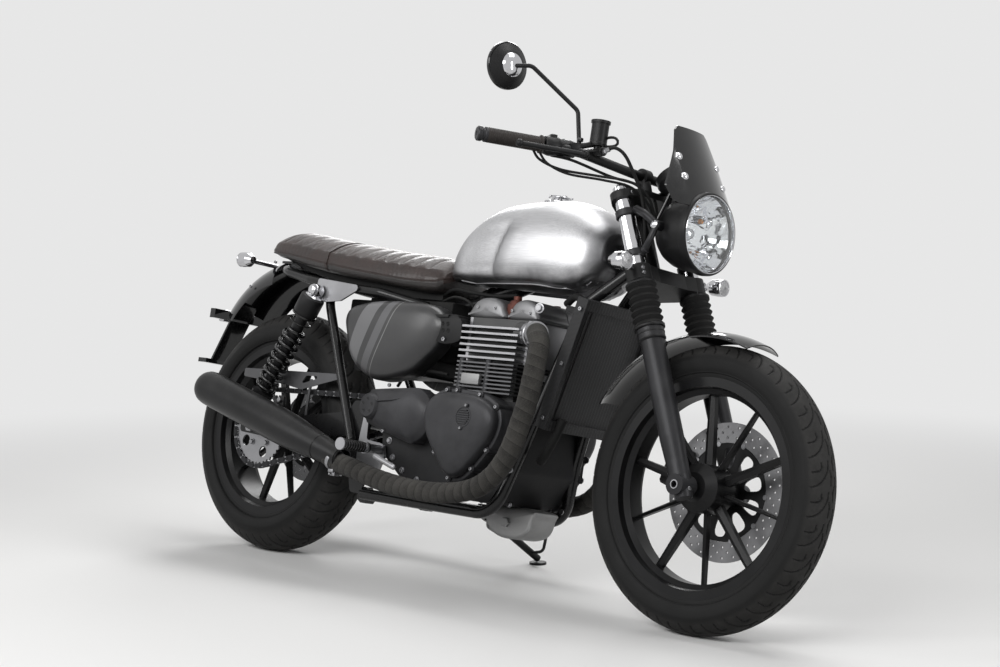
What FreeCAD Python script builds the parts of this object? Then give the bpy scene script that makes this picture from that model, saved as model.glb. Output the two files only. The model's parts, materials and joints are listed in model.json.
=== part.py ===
import FreeCAD, Part
import math
import os
import Sketcher
from FreeCAD import Placement, Rotation, Vector

# Cafe racer motorcycle, parked on its side stand with the steering straight ahead.
# The model is drawn upright: X forward from the rear axle, Y to the rider's left, Z up from the road.
# One placement then leans the whole machine onto its stand. Lengths in mm, angles in degrees.
# A name that ends in share or shares holds no length: it scales the sizes that it stands beside.

driving = {
    "wheelbase": 1440.0,
    "lean_angle": 12.0,
    "rake_angle": 24.0,
    "fork_offset": 42.0,
    "fit_gap": 0.1,
    "seat_gap": 0.3,
    "overrun": 40.0,
    # front wheel
    "front_tyre_radius": 318.0,
    "front_tyre_half": 50.0,
    "front_crown": 54.0,
    "front_bead_radius": 228.6,
    "front_flange_radius": 243.0,
    "front_rim_half": 43.0,
    "front_hub_radius": 54.0,
    "front_hub_half": 57.0,
    "front_axle_radius": 10.0,
    "front_axle_bore": 7.5,
    "front_disc_radius": 155.0,
    "front_disc_offset": 60.0,
    # rear wheel
    "rear_tyre_radius": 321.0,
    "rear_tyre_half": 75.0,
    "rear_crown": 80.0,
    "rear_bead_radius": 215.9,
    "rear_flange_radius": 230.0,
    "rear_rim_half": 62.0,
    "rear_hub_radius": 52.0,
    "rear_hub_half": 78.0,
    "rear_axle_radius": 11.0,
    "rear_nut_radius": 17.0,
    "rear_nut_wall": 10.0,
    "rear_disc_radius": 127.0,
    "rear_disc_offset": 84.0,
    "rim_wall": 6.0,
    "disc_wall": 5.0,
    "disc_hole_radius": 4.0,
    "broad_spoke": 22.0,
    "thin_spoke": 10.0,
    "spoke_depth": 28.0,
    # brake calipers
    "caliper_length": 96.0,
    "caliper_depth": 60.0,
    "caliper_half": 22.0,
    "caliper_bridge": 12.0,
    "disc_clearance": 5.0,
    "caliper_turn": 49.0,
    "rear_caliper_angle": 62.0,
    "caliper_ear": 9.0,
    # fork
    "fork_spread": 98.0,
    "fork_tube_radius": 20.5,
    "fork_top": 712.0,
    "fork_cap": 8.0,
    "slider_radius": 27.0,
    "slider_foot": 30.0,
    "slider_top": 362.0,
    "slider_collar": 26.0,
    "tube_engaged": 60.0,
    "gaiter_top": 474.0,
    "gaiter_radius": 35.0,
    "lower_yoke_height": 478.0,
    "lower_yoke_wall": 36.0,
    "upper_yoke_height": 681.0,
    "upper_yoke_wall": 18.0,
    "clamp_radius": 29.1,
    "stem_radius": 13.0,
    # handlebar and what it carries
    "bar_radius": 11.0,
    "bar_clamp_radius": 19.0,
    "bar_clamp_half": 11.0,
    "bar_clamp_spread": 42.0,
    "bar_ahead": 28.6,
    "bar_above_yoke": 41.3,
    "bar_centre_half": 80.0,
    "bar_sweep": 87.0,
    "bar_rise": 30.0,
    "bar_bend_half": 200.0,
    "bar_reach": 185.0,
    "bar_pull": 95.0,
    "bar_droop": 6.0,
    "bar_bend": 60.0,
    "grip_radius": 17.0,
    "grip_flange": 21.0,
    "housing_radius": 20.0,
    "lever_ahead": 62.0,
    "lever_drop": 14.0,
    "lever_radius": 6.0,
    "cup_radius": 20.0,
    "cup_height": 52.0,
    "cup_ahead": 44.0,
    "cup_lift": 16.0,
    "cup_inboard": 39.0,
    "cup_stalk_radius": 6.7,
    "mirror_radius": 53.0,
    "mirror_depth": 34.0,
    "mirror_rise": 165.0,
    "mirror_back": 130.0,
    "mirror_out": 114.0,
    "mirror_stalk": 5.0,
    # headlamp, screen and dial
    "lamp_radius": 94.0,
    "lamp_drop": 72.5,
    "lamp_ahead": 25.0,
    "lamp_depth": 132.0,
    "lamp_rim": 20.0,
    "lamp_arm_radius": 8.0,
    "lamp_clamp_drop": 136.0,
    "lamp_clamp_wall": 30.0,
    "screen_above_lamp": 241.0,
    "screen_half": 116.0,
    "screen_height": 190.0,
    "screen_bow": 200.0,
    "screen_wall": 4.0,
    "screen_overhang": 12.0,
    "dial_ahead": 87.0,
    "dial_above_yoke": 22.0,
    "dial_radius": 47.0,
    "dial_depth": 44.0,
    "bullet_radius": 20.5,
    "bullet_length": 49.0,
    "bullet_stem": 6.0,
    "front_bullet_ahead": 15.7,
    "front_bullet_spread": 178.0,
    "front_bullet_up": 31.7,
    # front mudguard
    "guard_gap": 10.0,
    "guard_back": 19.0,
    "guard_lift": 16.0,
    "guard_wall": 3.0,
    "guard_half": 58.0,
    "guard_drop": 16.0,
    "guard_stay_radius": 9.0,
    "guard_start": 69.0,
    "guard_sweep": 84.0,
    # frame
    "head_radius": 28.0,
    "head_end_gap": 2.0,
    "spine_radius": 22.0,
    "spine_mid_x": 900.0,
    "spine_mid_z": 782.0,
    "spine_low_x": 660.0,
    "spine_low_z": 695.0,
    "spine_end_x": 560.0,
    "spine_end_z": 672.0,
    "spine_bend": 300.0,
    "cradle_radius": 14.0,
    "cradle_spread": 125.0,
    "cradle_floor": 190.0,
    "cradle_front_x": 925.0,
    "cradle_rear_x": 470.0,
    "cradle_bend": 70.0,
    "rail_radius": 12.0,
    "rail_spread": 106.0,
    "rail_bend": 80.0,
    "upright_foot_x": 424.0,
    "upright_foot_z": 317.0,
    "upright_spread": 146.0,
    "pivot_x": 415.0,
    "pivot_z": 375.0,
    "pivot_radius": 22.0,
    "pivot_bolt": 10.0,
    "pivot_plate_wall": 5.7,
    "arm_spread": 113.0,
    "arm_width": 26.0,
    "arm_height": 46.0,
    "arm_tail": 46.0,
    "mount_plate_wall": 6.0,
    # shock absorbers
    "shock_spread": 140.0,
    "shock_eye_half": 11.0,
    "shock_eye_radius": 16.0,
    "shock_bolt": 9.0,
    "shock_top_x": 196.0,
    "shock_top_z": 690.0,
    "shock_foot_x": 15.0,
    "shock_foot_z": 362.0,
    "spring_radius": 28.0,
    "spring_wire": 5.5,
    "canister_length": 58.0,
    # final drive
    "chain_offset": 90.0,
    "chain_pitch": 15.875,
    "chain_width": 13.0,
    "chain_plate": 12.0,
    "front_sprocket_x": 505.0,
    "front_sprocket_z": 395.0,
    "chain_guard_rear": -90.0,
    "chain_guard_low": 432.0,
    "chain_guard_length": 390.0,
    "chain_guard_height": 50.0,
    "chain_guard_wall": 4.0,
    # engine
    "case_rear": 500.0,
    "case_low": 215.0,
    "case_length": 462.0,
    "case_top": 456.0,
    "case_half": 125.0,
    "barrel_rear": 768.0,
    "barrel_front": 930.0,
    "barrel_half": 120.0,
    "barrel_top": 545.0,
    "fin_rear": 756.0,
    "fin_front": 942.0,
    "fin_half": 148.0,
    "barrel_fin_start": 470.0,
    "barrel_fin_pitch": 9.6,
    "barrel_fin_wall": 3.6,
    "head_rear": 748.0,
    "head_front": 948.0,
    "head_half": 115.0,
    "head_top": 650.0,
    "head_fin_start": 549.5,
    "head_fin_pitch": 14.6,
    "head_fin_wall": 5.0,
    "cam_height": 50.0,
    "cam_half": 112.0,
    "cam_rear_start": 735.0,
    "cam_rear_length": 114.0,
    "cam_front_start": 866.0,
    "cam_front_length": 92.0,
    "cover_low": 250.0,
    "cover_height": 220.0,
    "clutch_rear": 700.0,
    "clutch_length": 285.0,
    "clutch_depth": 71.0,
    "gear_rear": 474.0,
    "gear_length": 226.0,
    "gear_depth": 59.0,
    "cover_bend": 40.0,
    "sump_rear": 796.0,
    "sump_length": 156.0,
    "sump_depth": 75.0,
    "sump_right": 20.0,
    "sump_left": 70.0,
    # exhaust
    "port_radius": 29.0,
    "port_spread": 112.0,
    "port_z": 618.0,
    "port_reach": 10.0,
    "header_radius": 25.0,
    "header_bend": 120.0,
    "header_low": 221.0,
    "header_front_x": 1078.0,
    "silencer_radius": 46.0,
    "silencer_spread": 205.0,
    "silencer_tail_x": -123.0,
    "silencer_tail_z": 410.0,
    "silencer_front_x": 378.0,
    "silencer_front_z": 289.0,
    "silencer_outlet": 14.0,
    # radiator
    "radiator_top_x": 1128.0,
    "radiator_top_z": 704.0,
    "radiator_low_x": 1049.0,
    "radiator_low_z": 400.0,
    "radiator_half": 130.0,
    "radiator_depth": 32.0,
    "radiator_tank": 24.0,
    "radiator_post": 14.0,
    # tank and seat
    "tank_rear": 632.0,
    "tank_length": 470.0,
    "tank_low": 724.0,
    "tank_height": 232.0,
    "tank_half": 134.0,
    "tunnel_gap": 8.0,
    "tank_pad_radius": 12.0,
    "cap_x": 876.0,
    "cap_z": 944.0,
    "cap_radius": 34.0,
    "cap_height": 21.0,
    "seat_tank_gap": 10.0,
    "seat_length": 688.0,
    "seat_low": 708.0,
    "seat_height": 146.0,
    "seat_half": 122.0,
    "seat_pad_length": 40.0,
    "seat_pad_half": 60.0,
    "seat_pad_wall": 12.0,
    # side covers and intake
    "panel_rear": 322.0,
    "panel_length": 334.0,
    "panel_low": 484.0,
    "panel_height": 194.0,
    "panel_inner": 92.0,
    "panel_outer": 156.0,
    "panel_bend": 36.0,
    "box_rear": 330.0,
    "box_length": 270.0,
    "box_low": 480.0,
    "box_height": 175.0,
    "throttle_rear": 664.0,
    "throttle_length": 70.0,
    "throttle_low": 585.0,
    "throttle_height": 66.0,
    "throttle_half": 138.0,
    "duct_radius": 25.0,
    "duct_spread": 60.0,
    "duct_z": 612.0,
    # tail
    "tail_centre_x": -10.0,
    "tail_centre_z": 477.0,
    "tail_radius": 312.0,
    "tail_half": 80.0,
    "tail_drop": 72.0,
    "tail_start": 103.0,
    "tail_sweep": 46.0,
    "plate_arm_half": 34.0,
    "plate_arm_wall": 6.0,
    "plate_arm_low_x": -344.0,
    "plate_arm_low_z": 488.0,
    "cross_bar_half": 95.0,
    "cross_bar_height": 26.0,
    "cross_bar_wall": 18.0,
    "tail_lamp_half": 46.0,
    "tail_lamp_height": 34.0,
    "tail_lamp_depth": 26.0,
    "rear_bullet_x": -112.0,
    "rear_bullet_spread": 140.0,
    "rear_bullet_z": 764.0,
    # rider's controls
    "hanger_rear": 446.0,
    "hanger_length": 100.0,
    "hanger_low": 226.0,
    "hanger_height": 160.0,
    "hanger_wall": 8.0,
    "peg_radius": 11.0,
    "peg_flange": 15.0,
    "peg_x": 530.0,
    "peg_z": 304.0,
    "peg_tip": 296.0,
    "pedal_x": 602.0,
    "pedal_z": 286.0,
    "pedal_length": 68.0,
    "pedal_drop": 19.0,
    "pedal_spread": 222.0,
    "pedal_radius": 7.0,
    "pillion_x": 200.0,
    "pillion_low": 404.0,
    "pillion_height": 92.0,
    "pillion_radius": 11.0,
    # side stand, its foot given on the ground
    "stand_foot_x": 654.0,
    "stand_foot_y": 360.0,
    "stand_pivot_x": 640.0,
    "stand_pivot_y": 158.0,
    "stand_pivot_z": 180.0,
    "stand_leg_radius": 10.0,
    "stand_foot_radius": 22.0,
    "stand_foot_wall": 6.0,
    "stand_ankle": 14.0,
    "stand_eye_radius": 14.0,
    "stand_eye_half": 8.0,
    "stand_pin": 5.0,
    "stand_cheek": 5.0,
    "stand_feeler": 4.0,
}
rear_teeth = 41
front_teeth = 16
spoke_pairs = 5
front_spoke_phase = 24.0
rear_spoke_phase = 36.0

doc = FreeCAD.newDocument("cafe_racer")
sheet = doc.addObject("Spreadsheet::Sheet", "Sizes")
for row, (alias, value) in enumerate(driving.items(), start=1):
    sheet.set("A%d" % row, alias)
    sheet.set("B%d" % row, str(value))
    sheet.setAlias("B%d" % row, alias)
doc.recompute()

origin = Vector(0, 0, 0)
x_axis = Vector(1, 0, 0)
y_axis = Vector(0, 1, 0)
z_axis = Vector(0, 0, 1)
nodes = {}
drawn = {}


def size(alias):
    return float(sheet.get(alias))


# Placements

wheelbase = size("wheelbase")
lean_angle = size("lean_angle")
rake_angle = size("rake_angle")
overrun = size("overrun")
fit_gap = size("fit_gap")
seat_gap = size("seat_gap")
front_centre = Vector(wheelbase, 0, size("front_tyre_radius"))
rear_centre = Vector(0, 0, size("rear_tyre_radius"))


def leaned_low(centre, crown):
    # height of a leaned tyre's lowest point, when its wheel's radius is its centre's height
    lean = math.radians(lean_angle)
    return centre.z * math.cos(lean) - (centre.z - crown) * math.cos(lean) - crown


rear_low = leaned_low(rear_centre, size("rear_crown"))
front_low = leaned_low(front_centre, size("front_crown"))
nose_down = math.degrees(math.atan2(front_low - rear_low, wheelbase))
lean_turn = Rotation(y_axis, nose_down).multiply(Rotation(x_axis, -lean_angle))
parked = Placement(Vector(0, 0, -rear_low), lean_turn)
fork_frame = Placement(front_centre, Rotation(y_axis, -rake_angle))


def fork_point(ahead, side, up):
    # a place given along the fork legs, in the upright frame
    return fork_frame.multVec(Vector(ahead, side, up))


def about(centre, radius, angle, y=0.0):
    # a place on a circle about a cross axis, the angle in degrees from forward to up
    turn = math.radians(angle)
    return centre + Vector(radius * math.cos(turn), y, radius * math.sin(turn))


# Shapes

def rod(start, end, radius):
    along = end - start
    return Part.makeCylinder(radius, along.Length, start, along)


def cone(start, end, start_radius, end_radius):
    along = end - start
    return Part.makeCone(start_radius, end_radius, along.Length, start, along)


def across(x, z, low_y, high_y, radius):
    # a round bar or bore that lies across the machine
    return Part.makeCylinder(radius, high_y - low_y, Vector(x, low_y, z), y_axis)


def block(low, high):
    # a box between two opposite corners
    extent = high - low
    return Part.makeBox(extent.x, extent.y, extent.z, low)


bend_share = 0.45


def tangent_arc(before, corner, after, bend):
    # the arc that rounds one corner, cut down where its runs are short
    toward = (corner - before).normalize()
    away = (after - corner).normalize()
    half_turn = toward.getAngle(away) / 2
    room = min((corner - before).Length, (after - corner).Length) * bend_share
    radius = min(bend, room / math.tan(half_turn))
    reach = radius * math.tan(half_turn)
    inward = (away - toward).normalize()
    middle = corner + inward * (radius / math.cos(half_turn) - radius)
    return corner - toward * reach, middle, corner + away * reach


def route(points, bend):
    # straight runs joined by tangent arcs
    edges = []
    start = points[0]
    for before, corner, after in zip(points, points[1:], points[2:]):
        first, middle, last = tangent_arc(before, corner, after, bend)
        edges.append(Part.LineSegment(start, first).toShape())
        edges.append(Part.Arc(first, middle, last).toShape())
        start = last
    edges.append(Part.LineSegment(start, points[-1]).toShape())
    return Part.Wire(edges)


def tube(points, radius, bend):
    path = route(points, bend)
    ring = Part.Wire([Part.makeCircle(radius, points[0], points[1] - points[0])])
    return path.makePipeShell([ring], True, False)


def polygon_face(points):
    return Part.Face(Part.makePolygon(list(points) + [points[0]]))


def rounded_face(points, bend):
    # closed outline with an arc at each corner
    count = len(points)
    corners = []
    for index in range(count):
        corners.append(tangent_arc(points[index - 1], points[index], points[(index + 1) % count], bend))
    edges = []
    for index, (first, middle, last) in enumerate(corners):
        edges.append(Part.Arc(first, middle, last).toShape())
        edges.append(Part.LineSegment(last, corners[(index + 1) % count][0]).toShape())
    return Part.Face(Part.Wire(edges))


def within(shares, low, extent):
    # places given as shares of a box from its low corner
    return [Vector(low.x + extent.x * a, low.y + extent.y * b, low.z + extent.z * c) for a, b, c in shares]


def side_outline(shares, rear, low, length, height):
    # places seen from the side, given as shares of a rectangle
    return [Vector(rear + length * along, 0, low + height * up) for along, up in shares]


def side_plate(outline, bend, low_y, high_y):
    # an outline seen from the side, drawn out between two values of y
    face = rounded_face([Vector(spot.x, low_y, spot.z) for spot in outline], bend)
    return face.extrude(Vector(0, high_y - low_y, 0))


def turned(profile, centre, axis, angle=360.0):
    # profile of (radius, height) places, turned about the axis through the centre
    face = polygon_face([Vector(radius, 0, height) for radius, height in profile])
    solid = face.revolve(origin, z_axis, angle)
    solid.Placement = Placement(centre, Rotation(z_axis, axis))
    return solid


section_points = 14


def smooth_section(place, half_width, low, high, power):
    # one closed rounded section across the machine
    mid, rise = (low + high) / 2, (high - low) / 2
    ring = []
    for step in range(section_points):
        angle = 2 * math.pi * (step + 0.5) / section_points
        out, upward = math.cos(angle), math.sin(angle)
        y = half_width * math.copysign(abs(out) ** (2 / power), out)
        z = mid + rise * math.copysign(abs(upward) ** (2 / power), upward)
        ring.append(Vector(place, y, z))
    curve = Part.BSplineCurve()
    curve.interpolate(Points=ring, PeriodicFlag=True)
    return Part.Wire([curve.toShape()])


def mirrored(shape):
    return shape.mirror(origin, y_axis)


def flipped(point):
    return Vector(point.x, -point.y, point.z)


def joined(shapes):
    whole = shapes[0].multiFuse(shapes[1:]) if len(shapes) > 1 else shapes[0]
    return whole.removeSplitter()


def group(shapes):
    return Part.makeCompound(shapes)


def both_sides(shape):
    return group([shape, mirrored(shape)])


# Sub-parts of the document

def keep(label, piece, local):
    # files a finished sub-part: leaned with the machine, and as drawn upright for its neighbours
    piece.Label = label
    piece.Placement = local
    doc.recompute()
    drawn[label] = piece.Shape.copy()
    piece.Placement = parked.multiply(local)
    nodes[label] = piece
    return drawn[label]


def add(label, shape):
    piece = doc.addObject("Part::Feature", label)
    piece.Shape = shape
    return keep(label, piece, shape.Placement)


def bound(kind, name, **formulas):
    # a primitive whose properties follow the sheet
    piece = doc.addObject(kind, name)
    for prop, formula in formulas.items():
        piece.setExpression(prop, formula)
    return piece


def origin_part(body, role):
    return next(part for part in body.Origin.OriginFeatures if part.Role == role)


def hold(sketch, kind, corner, formula):
    # holds one corner of a sketch at a formula of the sheet
    number = sketch.addConstraint(Sketcher.Constraint(kind, -1, 1, corner, 1, worked(formula)))
    sketch.setExpression("Constraints[%d]" % number, formula)


def worked(formula):
    # what a formula of the sheet comes to
    value = sheet.evalExpression(formula)
    return float(value.Value if hasattr(value, "Value") else value)


def outline_sketch(body, name, role, formulas):
    # a closed sketch of straight edges, each corner given as two formulas
    sketch = body.newObject("Sketcher::SketchObject", name)
    sketch.AttachmentSupport = [(origin_part(body, role), "")]
    sketch.MapMode = "FlatFace"
    corners = [Vector(worked(out), worked(up), 0) for out, up in formulas]
    count = len(corners)
    for index in range(count):
        sketch.addGeometry(Part.LineSegment(corners[index], corners[(index + 1) % count]))
    for index in range(count):
        sketch.addConstraint(Sketcher.Constraint("Coincident", index, 2, (index + 1) % count, 1))
    for index, (out, up) in enumerate(formulas):
        hold(sketch, "DistanceX", index, out)
        hold(sketch, "DistanceY", index, up)
    return sketch


def turned_body(label, formulas, local):
    # a body turned about its own Z axis from (radius, height) formulas
    body = doc.addObject("PartDesign::Body", label)
    sketch = outline_sketch(body, label + "_section", "XZ_Plane", formulas)
    turn = body.newObject("PartDesign::Revolution", label + "_turn")
    turn.Profile = sketch
    turn.ReferenceAxis = (sketch, ["V_Axis"])
    turn.Angle = 360.0
    sketch.Visibility = False
    return keep(label, body, local)


def slab(body, name, formulas, height_formula, thickness_formula):
    # a level plate of a body, padded up from the given height
    sketch = outline_sketch(body, name + "_outline", "XY_Plane", formulas)
    sketch.setExpression(".AttachmentOffset.Base.z", height_formula)
    pad = body.newObject("PartDesign::Pad", name)
    pad.Profile = sketch
    pad.setExpression("Length", thickness_formula)
    return pad


def rectangle(rear, front, half):
    # corners of a level rectangle about the machine's middle plane
    return [(rear, "-" + half), (front, "-" + half), (front, half), (rear, half)]


# Wheels

def tyre(name, centre):
    # a crown of flats with a ring at the lean angle, sidewalls and beads that follow the rim
    radius, half, crown = ["Sizes.%s_%s" % (name, part) for part in ("tyre_radius", "tyre_half", "crown")]
    bead, flange, rim = ["Sizes.%s_%s" % (name, part) for part in ("bead_radius", "flange_radius", "rim_half")]
    wall = "Sizes.rim_wall"
    shoulder = "asin(%s / %s)" % (half, crown)
    turns = ["Sizes.lean_angle * 1deg", "(Sizes.lean_angle * 1deg + %s) / 2" % shoulder, shoulder]

    def crown_corner(turn):
        return ("%s - %s + %s * cos(%s)" % (radius, crown, crown, turn), "%s * sin(%s)" % (crown, turn))

    upper = [crown_corner(turn) for turn in turns]
    upper.append(("%s + %s" % (flange, wall), "%s + %s / 2" % (rim, wall)))
    upper.append(("%s + Sizes.fit_gap" % flange, "%s - %s / 2" % (rim, wall)))
    upper.append((bead, "%s - 2.2 * %s" % (rim, wall)))
    lower = [(out, "-(%s)" % up) for out, up in reversed(upper)]
    return turned_body(name + "_tyre", upper + lower, Placement(centre, Rotation(z_axis, y_axis)))


def rim_barrel(name, centre):
    # flanges, bead seats and the drop well between them
    wall = size("rim_wall")
    bead, flange, half = size(name + "_bead_radius"), size(name + "_flange_radius"), size(name + "_rim_half")
    seat = bead - fit_gap
    well = bead - 2.5 * wall
    outer = [(flange, half), (flange, half - wall / 2), (seat, half - 2.2 * wall), (seat, half - 3.5 * wall),
             (well, half - 5 * wall)]
    inner = [(well - wall, half - 4 * wall), (bead - 1.6 * wall, half - 2.4 * wall), (bead - wall, half)]
    upper = outer + [(radius, -height) for radius, height in reversed(outer)]
    lower = [(radius, -height) for radius, height in reversed(inner)] + inner
    return turned(upper + lower, centre, y_axis), well - wall / 2


hub_bite_share = 0.8
spoke_tip_share = 0.75
spoke_edge_share = 0.55


def blade_ring(radius, half_wide, half_deep):
    # bevelled section of a spoke, seen along it
    edge = half_deep * spoke_edge_share
    corners = [(-half_wide, -edge), (0, -half_deep), (half_wide, -edge), (half_wide, edge), (0, half_deep),
               (-half_wide, edge)]
    ring = [Vector(radius, out, up) for out, up in corners]
    return Part.makePolygon(ring + [ring[0]])


def spoke(reach, hub, width, depth, angle, centre):
    # a tapered blade from the hub out to the barrel
    inner = blade_ring(hub * hub_bite_share, width / 2, depth / 2)
    outer = blade_ring(reach, width / 2 * spoke_tip_share, depth / 2 * spoke_tip_share)
    blade = Part.makeLoft([inner, outer], True, True)
    turn = Rotation(z_axis, y_axis).multiply(Rotation(z_axis, angle))
    blade.Placement = Placement(centre, turn)
    return blade


def cast_wheel(name, hub_profile, hub, phase, centre):
    barrel, reach = rim_barrel(name, centre)
    pieces = [barrel, turned(hub_profile, centre, y_axis)]
    step = 180.0 / spoke_pairs
    for index in range(2 * spoke_pairs):
        width = size("broad_spoke") if index % 2 == 0 else size("thin_spoke")
        # the blades are drawn from X towards -Z about +Y, so the phase changes sign
        pieces.append(spoke(reach, hub, width, size("spoke_depth"), -(phase + index * step), centre))
    return joined(pieces)


def drilled(plate, centre, y, radius, count, hole_radius, phase=0.0):
    # cuts a ring of holes across a disc
    wall = size("disc_wall")
    for index in range(count):
        place = about(centre, radius, phase + 360.0 * index / count, y - wall)
        plate = plate.cut(Part.makeCylinder(hole_radius, 2 * wall, place, y_axis))
    return plate


def flat_ring(inner, outer, centre, y):
    wall = size("disc_wall")
    start = centre + Vector(0, y - wall / 2, 0)
    ring = Part.makeCylinder(outer, wall, start, y_axis)
    return ring.cut(Part.makeCylinder(inner, wall, start, y_axis))


disc_band_share = 0.66
front_window_share = 0.15
front_windows = 6
disc_holes = 20


def front_wheel_parts():
    hub, reach = size("front_hub_radius"), size("front_hub_half")
    bore = size("front_axle_radius") + fit_gap / 2
    offset, radius = size("front_disc_offset"), size("front_disc_radius")
    carrier = offset - size("disc_wall") / 2
    profile = [(bore, -reach), (hub * 0.6, -reach), (hub, -reach * 0.72), (hub, reach * 0.4),
               (hub * 0.75, reach * 0.6), (hub * 0.75, carrier), (bore, carrier)]
    add("front_rim", cast_wheel("front", profile, hub, front_spoke_phase, front_centre))
    tyre("front", front_centre)
    band = flat_ring(bore, radius, front_centre, offset)
    middle = radius * (1 + disc_band_share) / 2
    band = drilled(band, front_centre, offset, middle, disc_holes, size("disc_hole_radius"))
    window = radius * front_window_share
    between = (radius * disc_band_share + hub * 0.75) / 2
    add("front_disc", drilled(band, front_centre, offset, between, front_windows, window))


def rear_wheel_parts():
    hub, reach = size("rear_hub_radius"), size("rear_hub_half")
    bore = size("rear_axle_radius") + fit_gap / 2
    waist = hub * 0.8
    offset = size("rear_disc_offset")
    carrier = offset - size("disc_wall") / 2
    profile = [(bore, -reach), (hub, -reach), (hub, -reach * 0.7), (waist, -reach * 0.5),
               (waist, reach * 0.5), (hub, reach * 0.7), (hub, reach), (bore, reach)]
    add("rear_rim", cast_wheel("rear", profile, waist, rear_spoke_phase, rear_centre))
    tyre("rear", rear_centre)
    radius = size("rear_disc_radius")
    spacer = turned([(bore, reach), (waist, reach), (waist, carrier), (bore, carrier)], rear_centre, y_axis)
    band = flat_ring(bore, radius, rear_centre, offset)
    band = drilled(band, rear_centre, offset, radius * 0.8, disc_holes, size("disc_hole_radius"))
    add("rear_disc", joined([band, spacer]))
    add("rear_sprocket", rear_sprocket())


tooth_shares = ((0.0, 0.0), (0.3, 1.0), (0.5, 1.0), (0.8, 0.0))
sprocket_windows = 5


def pitch_circle(teeth):
    return size("chain_pitch") / 2 / math.sin(math.pi / teeth)


def rear_sprocket():
    # toothed plate whose teeth reach between the chain's side plates
    pitch, wall = size("chain_pitch"), size("disc_wall")
    tip = pitch_circle(rear_teeth) - pitch * 0.35
    root = tip - pitch * 0.3
    ring = []
    for index in range(rear_teeth):
        for turn, rise in tooth_shares:
            angle = 360.0 * (index + turn) / rear_teeth
            ring.append(about(rear_centre, root + (tip - root) * rise, angle, -size("chain_offset") - wall / 2))
    plate = polygon_face(ring).extrude(Vector(0, wall, 0))
    hub = size("rear_hub_radius") * 0.8
    bore = size("rear_axle_radius") + fit_gap / 2
    middle = (root + hub) / 2
    plate = drilled(plate, rear_centre, -size("chain_offset"), middle, sprocket_windows, pitch * 0.95)
    reach = size("rear_hub_half")
    boss = turned([(bore, -reach), (hub, -reach), (hub, -size("chain_offset")), (bore, -size("chain_offset"))],
                  rear_centre, y_axis)
    hole = across(rear_centre.x, rear_centre.z, -size("chain_offset") - overrun, 0, bore)
    return joined([plate, boss]).cut(hole)


front_wheel_parts()
rear_wheel_parts()


# Fork and steering, drawn along the legs

spread = size("fork_spread")
axis_back = -size("fork_offset")
tube_radius = size("fork_tube_radius")
slider_radius = size("slider_radius")
collar_radius = slider_radius * 1.15
slider_top = size("slider_top")
clamp = size("clamp_radius")
sides = (1, -1)


def on_leg(side, up=0.0):
    # a frame on one fork leg, its Z along the leg
    return fork_frame.multiply(Placement(Vector(0, side * spread, up), Rotation()))


gaiter_folds = 7
gaiter_waist_share = 0.82


def fork_tubes():
    tubes = []
    for side in sides:
        start = fork_point(0, side * spread, slider_top - size("tube_engaged"))
        end = fork_point(0, side * spread, size("fork_top"))
        tip = fork_point(0, side * spread, size("fork_top") + size("fork_cap"))
        cap = cone(end, tip, tube_radius * 0.8, tube_radius * 0.6)
        tubes.append(joined([rod(start, end, tube_radius), cap]))
    add("fork_tubes", group(tubes))


def fork_gaiters():
    bore = tube_radius + fit_gap
    outer, inner = size("gaiter_radius"), size("gaiter_radius") * gaiter_waist_share
    low, high = slider_top, size("gaiter_top")
    pitch = (high - low) / gaiter_folds
    profile = [(bore, low)]
    for index in range(gaiter_folds):
        profile.append((inner, low + pitch * index))
        profile.append((outer, low + pitch * (index + 0.5)))
    profile += [(inner, high), (bore, high)]
    gaiters = []
    for side in sides:
        gaiter = turned(profile, origin, z_axis)
        gaiter.Placement = on_leg(side)
        gaiters.append(gaiter)
    add("fork_gaiters", group(gaiters))


def slider(side):
    # lower leg with its collar, blind bore and axle boss
    bore, collar = tube_radius + fit_gap, collar_radius
    floor = slider_top - size("tube_engaged") - fit_gap
    foot = -size("slider_foot")
    profile = [(0, foot), (slider_radius * 0.7, foot), (slider_radius * 0.9, slider_radius * 0.7),
               (slider_radius * 0.9, slider_radius * 2), (slider_radius, slider_radius * 4),
               (slider_radius, slider_top - size("slider_collar") - fit_gap - slider_radius * 0.1),
               (collar, slider_top - size("slider_collar")), (collar, slider_top), (bore, slider_top),
               (bore, floor), (0, floor)]
    leg = turned(profile, origin, z_axis)
    leg.Placement = on_leg(side)
    half = slider_radius * 0.95
    boss = across(front_centre.x, front_centre.z, side * spread - half, side * spread + half, slider_radius * 0.85)
    return joined([leg, boss])


def fork_lowers():
    left, right = slider(1), slider(-1)
    plates = size("front_disc_offset") + size("caliper_half") + seat_gap
    ear_half = size("caliper_length") / 2 * 0.7
    place = caliper_place("front", size("front_disc_radius"))
    ear = Part.makeCylinder(ear_half * 0.5, size("caliper_ear"), place + Vector(0, plates, 0), y_axis)
    root = fork_point(0, spread, size("front_disc_radius") * 0.8)
    arm = rod(Vector(place.x, plates + size("caliper_ear") / 2, place.z), root, size("caliper_ear") / 2)
    left = joined([left, ear, arm])
    bore = across(front_centre.x, front_centre.z, -spread - overrun, spread + overrun, size("front_axle_radius"))
    inside = rod(fork_point(0, spread, slider_top - size("tube_engaged") - fit_gap),
                 fork_point(0, spread, slider_top), tube_radius + fit_gap)
    add("fork_lowers", group([left.cut(bore).cut(inside), right.cut(bore)]))


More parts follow.
